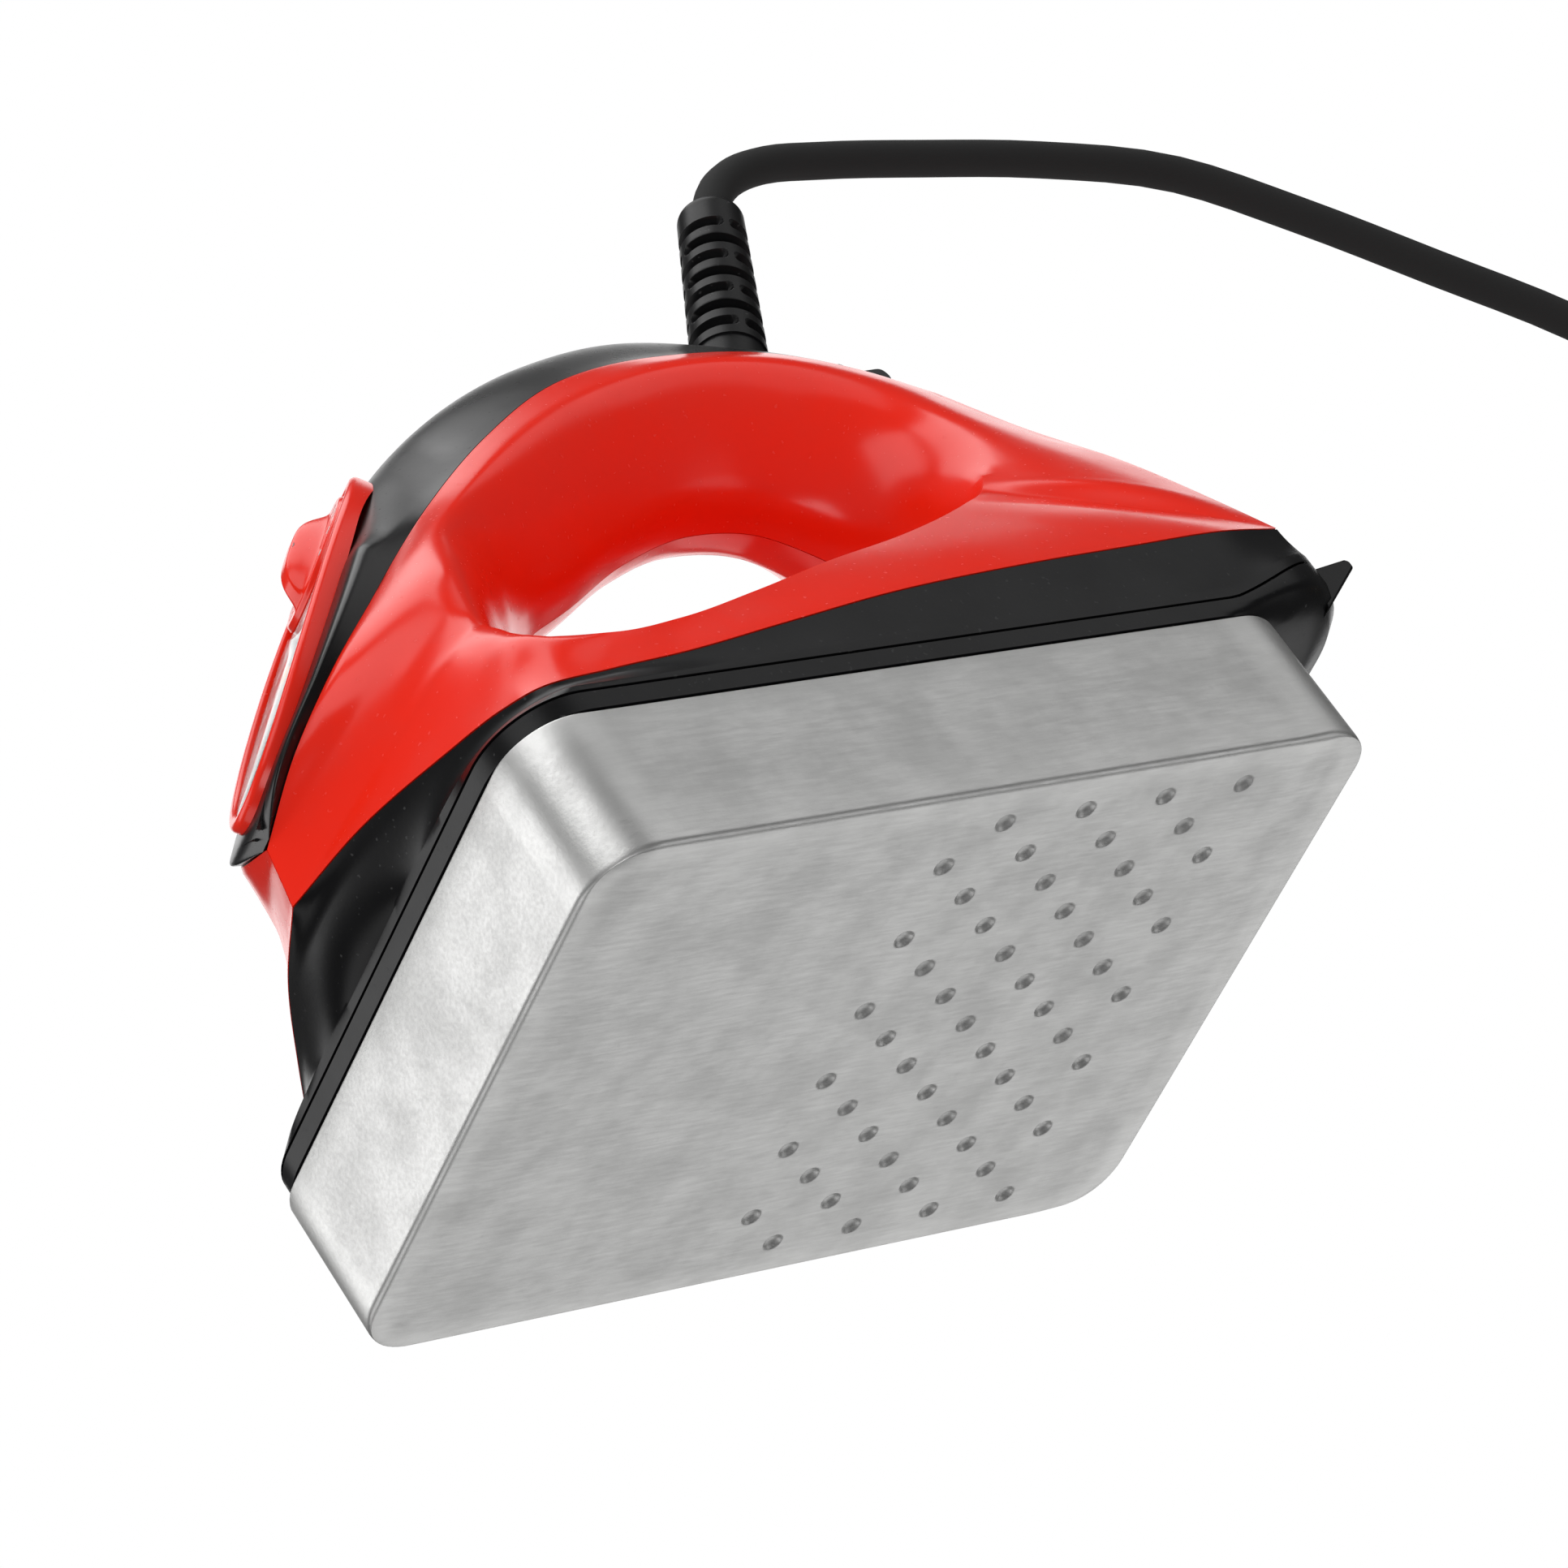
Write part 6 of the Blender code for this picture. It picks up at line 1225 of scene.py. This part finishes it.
# --- Finishes ---------------------------------------------------------------------
def marks_group():
    """Clouds, fine grain, stretched streaks and sparse specks over Object coordinates."""
    group = bpy.data.node_groups.get("surface_marks")
    if group:
        return group
    group = bpy.data.node_groups.new("surface_marks", "ShaderNodeTree")
    face = group.interface
    for name, default in (("Cloud", 40.0), ("Grain", 900.0), ("Streak", 60.0), ("Speck", 700.0)):
        scale = face.new_socket(
            name=f"{name} Scale", in_out="INPUT", socket_type="NodeSocketFloat",
        )
        scale.default_value = default
    stretch = face.new_socket(
        name="Streak Stretch", in_out="INPUT", socket_type="NodeSocketVector",
    )
    stretch.default_value = (1, 30, 30)
    for name in ("Clouds", "Grain", "Streaks", "Specks"):
        face.new_socket(name=name, in_out="OUTPUT", socket_type="NodeSocketFloat")
    nodes, links = group.nodes, group.links
    inlet, outlet = nodes.new("NodeGroupInput"), nodes.new("NodeGroupOutput")
    place = nodes.new("ShaderNodeTexCoord").outputs["Object"]

    def noise(scale, detail, roughness, vector=place):
        made = nodes.new("ShaderNodeTexNoise")
        made.inputs["Detail"].default_value = detail
        made.inputs["Roughness"].default_value = roughness
        links.new(vector, made.inputs["Vector"])
        links.new(inlet.outputs[scale], made.inputs["Scale"])
        return made.outputs["Fac"]

    def stretched(value, low, high):
        made = nodes.new("ShaderNodeMapRange")
        made.interpolation_type = "SMOOTHSTEP"
        made.inputs["From Min"].default_value = low
        made.inputs["From Max"].default_value = high
        links.new(value, made.inputs["Value"])
        return made.outputs["Result"]

    turn = nodes.new("ShaderNodeVectorMath")
    turn.operation = "MULTIPLY"
    links.new(place, turn.inputs[0])
    links.new(inlet.outputs["Streak Stretch"], turn.inputs[1])
    clouds = stretched(noise("Cloud Scale", 6, 0.62), 0.35, 0.68)
    streaks = stretched(noise("Streak Scale", 5, 0.7, turn.outputs[0]), 0.3, 0.72)
    specks = stretched(noise("Speck Scale", 1, 0.4), 0.72, 0.78)
    links.new(clouds, outlet.inputs["Clouds"])
    links.new(noise("Grain Scale", 3, 0.6), outlet.inputs["Grain"])
    links.new(streaks, outlet.inputs["Streaks"])
    links.new(specks, outlet.inputs["Specks"])
    return group


class Surface:
    """A material with its Principled shader, and short ways to wire values into it."""

    def __init__(self, name, colour, roughness, metallic=0.0, **scales):
        self.material = bpy.data.materials.new(name)
        self.material.use_nodes = True
        self.tree = self.material.node_tree
        self.shader = self.tree.nodes["Principled BSDF"]
        self.shader.inputs["Base Color"].default_value = (*colour, 1)
        self.shader.inputs["Roughness"].default_value = roughness
        self.shader.inputs["Metallic"].default_value = metallic
        self.colour, self.roughness = tuple(colour), roughness
        self.marks = self.tree.nodes.new("ShaderNodeGroup")
        self.marks.node_tree = marks_group()
        for scale, value in scales.items():
            self.marks.inputs[scale.replace("_", " ").title()].default_value = value

    def set(self, **values):
        """Sets plain values of the shader by their names."""
        for name, value in values.items():
            socket = name.replace("_", " ").title().replace("Ior", "IOR")
            self.shader.inputs[socket].default_value = value
        return self

    def combine(self, operation, value, *numbers):
        """A Math node on a value of the shader and the plain numbers after it."""
        made = self.tree.nodes.new("ShaderNodeMath")
        made.operation = operation
        self.tree.links.new(value, made.inputs[0])
        for place, number in enumerate(numbers, 1):
            made.inputs[place].default_value = number
        return made

    def mask(self, name, share):
        """A mark of the group scaled down to a share from 0 to 1."""
        return self.combine("MULTIPLY", self.marks.outputs[name], share).outputs[0]

    def tint(self, factor, colour):
        """Mixes another colour in by factor, over what was mixed before."""
        made = self.tree.nodes.new("ShaderNodeMix")
        made.data_type = "RGBA"
        made.inputs["A"].default_value = (*self.colour, 1)
        made.inputs["B"].default_value = (*colour, 1)
        socket = self.shader.inputs["Base Color"]
        if socket.is_linked:
            self.tree.links.new(socket.links[0].from_socket, made.inputs["A"])
        self.tree.links.new(factor, made.inputs["Factor"])
        self.tree.links.new(made.outputs["Result"], socket)
        return self

    def roughen(self, name, amount):
        """Adds amount times a mark of the group to the roughness."""
        made = self.combine("MULTIPLY_ADD", self.marks.outputs[name], amount, self.roughness)
        socket = self.shader.inputs["Roughness"]
        if socket.is_linked:
            self.tree.links.new(socket.links[0].from_socket, made.inputs[2])
        self.tree.links.new(made.outputs[0], socket)
        return self

    def bump(self, name, distance, strength):
        """Raises the surface by a mark of the group, over the bumps made before."""
        made = self.tree.nodes.new("ShaderNodeBump")
        made.inputs["Strength"].default_value = strength
        made.inputs["Distance"].default_value = distance
        socket = self.shader.inputs["Normal"]
        if socket.is_linked:
            self.tree.links.new(socket.links[0].from_socket, made.inputs["Normal"])
        self.tree.links.new(self.marks.outputs[name], made.inputs["Height"])
        self.tree.links.new(made.outputs["Normal"], socket)
        return self


def plastic(colour, roughness, level=0.5, dust=0.0, grain=0.02 * MM, grain_scale=900.0):
    """A maker for moulded plastic: faint clouds in the gloss, fine grain and a little dust."""

    def make(name):
        surface = Surface(
            name, colour, roughness,
            cloud_scale=55.0, grain_scale=grain_scale, speck_scale=1100.0,
        )
        surface.set(specular_ior_level=level)
        surface.tint(surface.mask("Clouds", 0.25), tuple(0.82 * c for c in colour))
        surface.tint(surface.mask("Specks", dust), tuple(0.5 + 0.5 * c for c in colour))
        surface.roughen("Clouds", 0.06)
        surface.roughen("Specks", 0.2)
        return surface.bump("Grain", grain, 0.4).material

    return make


def metal(colour, roughness, stretch=(4, 4, 4), grain=0.02 * MM):
    """A maker for metal: streaks of the last working, and clouds in the gloss."""

    def make(name):
        surface = Surface(
            name, colour, roughness, 1.0,
            cloud_scale=90.0, streak_scale=90.0, streak_stretch=stretch,
        )
        surface.tint(surface.mask("Clouds", 0.4), tuple(0.8 * c for c in colour))
        surface.roughen("Streaks", 0.12)
        return surface.bump("Grain", grain, 0.3).material

    return make


def red_plastic(name):
    """The shells' glossy plastic, in the colour that is set for them."""
    return plastic(tuple(settings().body.red_colour), 0.19, 0.42)(name)


def cast_aluminium(name):
    """Ground cast metal: cloudy stains, fine streaks from the grinding, and edges painted lighter
    where the wear attribute is high, partly for real polish from use and partly as a painted
    highlight."""
    colour = tuple(settings().plate.colour)
    surface = Surface(
        name, colour, 0.42, 1.0, cloud_scale=75.0, grain_scale=1400.0,
        streak_scale=150.0, speck_scale=500.0, streak_stretch=(1.0, 9.0, 9.0),
    )
    stains = (("Clouds", 0.6, 0.84), ("Streaks", 0.5, 0.82), ("Specks", 0.2, 0.75))
    for mark, share, dark in stains:
        surface.tint(surface.mask(mark, share), tuple(dark * c for c in colour))
    wear = surface.tree.nodes.new("ShaderNodeAttribute")
    wear.attribute_name = "wear"
    # Lighter tint on the sole's edge and corners: partly real polish, partly a painted highlight.
    polish_and_highlight = surface.combine("MULTIPLY", wear.outputs["Fac"], 0.7)
    surface.tint(polish_and_highlight.outputs[0], tuple(min(1.0, 1.18 * c) for c in colour))
    surface.roughen("Clouds", 0.06)
    surface.roughen("Streaks", 0.06)
    surface.bump("Streaks", 0.03 * MM, 0.35)
    return surface.bump("Grain", 0.03 * MM, 0.5).material


def clear_lens(name):
    """Clear plastic with hairline wear: glass whose roughness follows the marks."""
    surface = Surface(name, (0.97, 0.93, 0.92), 0.08, cloud_scale=120.0, speck_scale=900.0)
    surface.set(transmission_weight=1.0, ior=1.45)
    surface.roughen("Clouds", 0.1)
    surface.roughen("Specks", 0.3)
    return surface.bump("Grain", 0.01 * MM, 0.3).material


def amber_lens(name):
    """Half clear amber plastic of the lamp."""
    surface = Surface(name, (0.9, 0.32, 0.04), 0.15, cloud_scale=300.0)
    surface.set(transmission_weight=0.5)
    surface.tint(surface.mask("Clouds", 0.3), (0.95, 0.5, 0.12))
    return surface.bump("Grain", 0.01 * MM, 0.3).material


def cord_rubber(name):
    """Soft matt rubber: a faint lengthwise sheen broken up by grain and a little dust."""
    surface = Surface(
        name, settings().cord.rubber_colour, 0.46,
        cloud_scale=30.0, grain_scale=1600.0, speck_scale=800.0,
    )
    surface.tint(surface.mask("Clouds", 0.5), (0.014, 0.014, 0.0145))
    surface.tint(surface.mask("Specks", 0.12), (0.12, 0.12, 0.12))
    surface.roughen("Clouds", 0.08)
    return surface.bump("Grain", 0.04 * MM, 0.5).material


def circuit_laminate(name):
    """Green laminate with lighter copper areas under the lacquer."""
    surface = Surface(name, (0.015, 0.14, 0.05), 0.3, cloud_scale=260.0)
    surface.tint(surface.mask("Clouds", 0.8), (0.03, 0.24, 0.09))
    return surface.bump("Clouds", 0.03 * MM, 0.5).material


# Each finish with the maker of its material and the slot that it belongs to.
FINISHES = {
    "red_gloss": (red_plastic, "red_shell"),
    "black_satin": (
        plastic((0.004, 0.004, 0.0045), 0.3, 0.25, 0.05, 0.03 * MM, 1300.0), "black_body",
    ),
    "black_gloss": (plastic((0.004, 0.004, 0.0045), 0.27, 0.5, 0.02), "black_body"),
    "black_part": (plastic((0.014, 0.014, 0.015), 0.4, 0.4, 0.05), "black_part"),
    "switch_black": (plastic((0.012, 0.012, 0.013), 0.3, 0.4, 0.08), "switch_plastic"),
    "relief_rubber": (
        plastic((0.005, 0.005, 0.0055), 0.36, 0.3, 0.08, 0.03 * MM, 1500.0), "cord_rubber",
    ),
    "tie_fabric": (plastic((0.03, 0.03, 0.032), 0.8, 0.4, 0.1, 0.1 * MM, 2500.0), "cord_rubber"),
    "label_grey": (plastic((0.55, 0.56, 0.58), 0.35, 0.4, 0.02), "clear_panel"),
    "print_white": (plastic((0.8, 0.8, 0.79), 0.45), "clear_panel"),
    "cast_aluminium": (cast_aluminium, "plate_metal"),
    "clear_lens": (clear_lens, "clear_panel"),
    "amber_lens": (amber_lens, "lamp_lens"),
    "cord_rubber": (cord_rubber, "cord_rubber"),
    "circuit_laminate": (circuit_laminate, "circuit_board"),
    "plated_steel": (metal((0.56, 0.57, 0.59), 0.3), "plated_steel"),
    "shaft_steel": (metal((0.5, 0.5, 0.51), 0.35, (1, 1, 20)), "shaft_steel"),
    "brass": (metal((0.78, 0.56, 0.24), 0.28), "brass"),
    "white_ceramic": (plastic((0.78, 0.77, 0.73), 0.55, 0.4, 0.05, 0.05 * MM, 1200.0), "ceramic"),
    "lead_sleeve": (plastic((0.42, 0.07, 0.04), 0.5, 0.4, 0.05), "lead_sleeve"),
}
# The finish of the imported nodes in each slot.
SLOT_FINISH = {
    "red_shell": "red_gloss", "black_body": "black_satin", "plate_metal": "cast_aluminium",
    "plated_steel": "plated_steel", "ceramic": "white_ceramic", "clear_panel": "clear_lens",
    "black_part": "black_part", "shaft_steel": "shaft_steel", "circuit_board": "circuit_laminate",
    "lamp_lens": "amber_lens", "switch_plastic": "switch_black", "brass": "brass",
    "cord_rubber": "cord_rubber", "lead_sleeve": "lead_sleeve",
}


def finish_packed_nodes():
    """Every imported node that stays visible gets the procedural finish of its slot."""
    for material in frame["record"]["materials"]:
        finish = SLOT_FINISH[material["slot"]]
        made = bpy.data.materials.get(finish) or FINISHES[finish][0](finish)
        for node in material.get("nodes", []):
            thing = frame["nodes"][node]
            for slot in thing.material_slots:
                slot.material = made


# --- Stage ------------------------------------------------------------------------
CAMERA_PLACE = (-0.646493, -0.676693, -0.497755)
CAMERA_RIGHT = Vector((0.78641, -0.36502, -0.49832))
CAMERA_DOWN = Vector((-0.12415, 0.69686, -0.70638))
CAMERA_AHEAD = Vector((0.60510, 0.61737, 0.50270))
CAMERA_LENS, CAMERA_SENSOR = 157.7236, 36  # millimetres
FLOOR_HALF, FLOOR_LEVEL = 6, -0.2 * MM
WHITE = (1, 1, 1, 1)
# Soft boxes as (name, place, size, radiance): large dim ones, whose reflections fill the
# plate's faces, and two bright ones above.
SOFT_BOXES = (
    ("key", (-1.0, -0.9, 1.1), 1.2, 1.9),
    ("top", (0.1, -0.2, 1.7), 1.3, 2.2),
    ("side_box", (1.0, -1.3, 0.9), 1.4, 0.66),
    ("toe_box", (-1.2, 1.0, 0.8), 1.2, 1.8),
    ("sole_box", (1.2, 1.2, -1.0), 2.0, 0.72),
    ("near_edge_box", (1.0, -0.83, -1.0), 0.9, 0.85),
    ("toe_edge_box", (-0.8, 1.0, -0.97), 0.9, 1.1),
    ("corner_box", (-0.95, -0.95, -1.0), 0.75, 3.2),
    ("back_box", (1.15, 1.15, 1.0), 1.5, 1.3),
)
LIT_POINT = Vector((0.0, 0.0, 0.07))


def make_camera():
    """A long lens that looks up at the sole from the near side of the toe."""
    data = bpy.data.cameras.new("camera")
    data.sensor_width, data.lens = CAMERA_SENSOR, CAMERA_LENS
    data.clip_start, data.clip_end = 0.01, 20
    camera = linked("camera", data)
    camera.matrix_world = axes(CAMERA_PLACE, CAMERA_RIGHT, -CAMERA_DOWN, -CAMERA_AHEAD)
    bpy.context.scene.camera = camera


def make_floor():
    """A pale floor that is seen from above, and lets light from below through."""
    corners = np.array([(-1, -1), (1, -1), (1, 1), (-1, 1)]) * FLOOR_HALF
    mesh = bpy.data.meshes.new("floor")
    mesh.from_pydata(lifted(corners, FLOOR_LEVEL).tolist(), [], [(0, 1, 2, 3)])
    paint = bpy.data.materials.new("pale_floor")
    paint.use_nodes = True
    nodes, links = paint.node_tree.nodes, paint.node_tree.links
    shader = nodes["Principled BSDF"]
    shader.inputs["Base Color"].default_value = (0.9, 0.9, 0.9, 1)
    shader.inputs["Roughness"].default_value = 0.7
    clear, mix = nodes.new("ShaderNodeBsdfTransparent"), nodes.new("ShaderNodeMixShader")
    path, face = nodes.new("ShaderNodeLightPath"), nodes.new("ShaderNodeNewGeometry")
    front = nodes.new("ShaderNodeMath")
    front.operation = "SUBTRACT"
    front.use_clamp = True
    links.new(path.outputs["Is Camera Ray"], front.inputs[0])
    links.new(face.outputs["Backfacing"], front.inputs[1])
    links.new(front.outputs[0], mix.inputs["Fac"])
    links.new(clear.outputs[0], mix.inputs[1])
    links.new(shader.outputs[0], mix.inputs[2])
    links.new(mix.outputs[0], nodes["Material Output"].inputs["Surface"])
    mesh.materials.append(paint)
    linked("floor", mesh)


def make_world():
    """White where it is seen directly, and a plain soft light for everything else."""
    world = bpy.data.worlds.new("studio")
    bpy.context.scene.world = world
    world.use_nodes = True
    nodes, links = world.node_tree.nodes, world.node_tree.links
    light = nodes["Background"]
    light.inputs["Color"].default_value = WHITE
    seen, mix = nodes.new("ShaderNodeBackground"), nodes.new("ShaderNodeMixShader")
    seen.inputs["Color"].default_value = WHITE
    path = nodes.new("ShaderNodeLightPath")
    either, dim = nodes.new("ShaderNodeMath"), nodes.new("ShaderNodeMapRange")
    either.operation = "MAXIMUM"
    strength = settings().studio.world_light
    dim.inputs["To Min"].default_value = strength
    dim.inputs["To Max"].default_value = 0.12 * strength  # in reflections
    links.new(path.outputs["Is Glossy Ray"], dim.inputs["Value"])
    links.new(dim.outputs["Result"], light.inputs["Strength"])
    links.new(path.outputs["Is Camera Ray"], either.inputs[0])
    links.new(path.outputs["Is Transmission Ray"], either.inputs[1])
    links.new(either.outputs[0], mix.inputs["Fac"])
    links.new(light.outputs[0], mix.inputs[1])
    links.new(seen.outputs[0], mix.inputs[2])
    links.new(mix.outputs[0], nodes["World Output"].inputs["Surface"])


def make_lights():
    """Square soft boxes, each turned towards the iron; radiance and size give its power."""
    for name, place, size, radiance in SOFT_BOXES:
        data = bpy.data.lights.new(name, "AREA")
        data.shape, data.size = "SQUARE", size
        data.energy = radiance * math.pi * size**2 * settings().studio.lamp_light
        turn = (LIT_POINT - Vector(place)).to_track_quat("-Z", "Y").to_matrix().to_4x4()
        linked(name, data).matrix_world = Matrix.Translation(place) @ turn


# --- Operators --------------------------------------------------------------------
class IRON_OT_camera(bpy.types.Operator):
    """Adds the camera at its viewing angle"""

    bl_idname = "iron.camera"
    bl_label = "Add Camera"
    bl_options = {"REGISTER", "UNDO"}

    def execute(self, context):
        make_camera()
        return {"FINISHED"}


class IRON_OT_cord(bpy.types.Operator):
    """Adds the cord with its coil, ties, plug and strain relief"""

    bl_idname = "iron.cord"
    bl_label = "Add Cord"
    bl_options = {"REGISTER", "UNDO"}

    def execute(self, context):
        plug, relief = make_plug_body(), make_strain_relief()
        ties = [make_coil_tie(degrees, number) for number, degrees in TIE_PLACES]
        make_cord()
        return {"FINISHED"}


class IRON_OT_stage(bpy.types.Operator):
    """Adds the world, the floor and the soft boxes"""

    bl_idname = "iron.stage"
    bl_label = "Add Stage"
    bl_options = {"REGISTER", "UNDO"}

    def execute(self, context):
        make_world()
        make_floor()
        make_lights()
        return {"FINISHED"}


class IRON_OT_nodes(bpy.types.Operator):
    """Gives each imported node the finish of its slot"""

    bl_idname = "iron.nodes"
    bl_label = "Finish Packed Nodes"
    bl_options = {"REGISTER", "UNDO"}

    def execute(self, context):
        finish_packed_nodes()
        return {"FINISHED"}


class IRON_OT_plate(bpy.types.Operator):
    """Adds the cast sole plate with its dimples"""

    bl_idname = "iron.plate"
    bl_label = "Add Sole Plate"
    bl_options = {"REGISTER", "UNDO"}

    def execute(self, context):
        make_sole_plate()
        return {"FINISHED"}


class IRON_OT_base(bpy.types.Operator):
    """Adds the housing, the ring over the plate and the heel feet"""

    bl_idname = "iron.base"
    bl_label = "Add Base"
    bl_options = {"REGISTER", "UNDO"}

    def execute(self, context):
        make_base_housing()
        make_base_ring()
        make_heel_feet()
        return {"FINISHED"}


class IRON_OT_shells(bpy.types.Operator):
    """Adds the red shells round the opening"""

    bl_idname = "iron.shells"
    bl_label = "Add Shells"
    bl_options = {"REGISTER", "UNDO"}

    def execute(self, context):
        make_shells()
        return {"FINISHED"}


class IRON_OT_covers(bpy.types.Operator):
    """Adds the spine cover and the rear cover"""

    bl_idname = "iron.covers"
    bl_label = "Add Covers"
    bl_options = {"REGISTER", "UNDO"}

    def execute(self, context):
        make_spine_cover()
        make_rear_cover()
        return {"FINISHED"}


class IRON_OT_dial(bpy.types.Operator):
    """Adds the dial's frame, panel, knob and marks"""

    bl_idname = "iron.dial"
    bl_label = "Add Dial"
    bl_options = {"REGISTER", "UNDO"}

    def execute(self, context):
        make_dial_bezel()
        make_dial_panel()
        make_temperature_knob()
        make_dial_marks()
        return {"FINISHED"}


class IRON_OT_switch(bpy.types.Operator):
    """Adds the rocker and its marks"""

    bl_idname = "iron.switch"
    bl_label = "Add Switch"
    bl_options = {"REGISTER", "UNDO"}

    def execute(self, context):
        make_switch_rocker()
        return {"FINISHED"}


OPERATORS = (
    IRON_OT_camera, IRON_OT_cord, IRON_OT_stage, IRON_OT_nodes, IRON_OT_plate,
    IRON_OT_base, IRON_OT_shells, IRON_OT_covers, IRON_OT_dial, IRON_OT_switch,
)


class IRON_PT_panel(bpy.types.Panel):
    """Lists the iron's settings and steps in the sidebar"""

    bl_idname = "IRON_PT_panel"
    bl_label = "Waxing Iron"
    bl_space_type = "VIEW_3D"
    bl_region_type = "UI"
    bl_category = "Waxing Iron"

    def draw(self, context):
        iron = context.scene.iron
        for group in (iron.body, iron.plate, iron.dial, iron.cord, iron.studio):
            box = self.layout.box()
            for name in group.__annotations__:
                box.prop(group, name)
        for step in OPERATORS:
            self.layout.operator(step.bl_idname)


CLASSES = (
    IronBodySettings, IronPlateSettings, IronDialSettings, IronCordSettings,
    IronStudioSettings, IronSettings, *OPERATORS, IRON_PT_panel,
)


def register():
    """Makes the settings, the operators and the panel known to Blender."""
    for made in CLASSES:
        bpy.utils.register_class(made)
    bpy.types.Scene.iron = bpy.props.PointerProperty(type=IronSettings)


def unregister():
    """Takes back all that register made known."""
    del bpy.types.Scene.iron
    for made in reversed(CLASSES):
        bpy.utils.unregister_class(made)


def main():
    """Registers the add-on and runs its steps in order."""
    register()
    bpy.context.scene.view_settings.view_transform = "Standard"
    for step in OPERATORS:
        getattr(bpy.ops.iron, step.bl_idname.split(".")[1])()


if __name__ == "__main__":
    main()
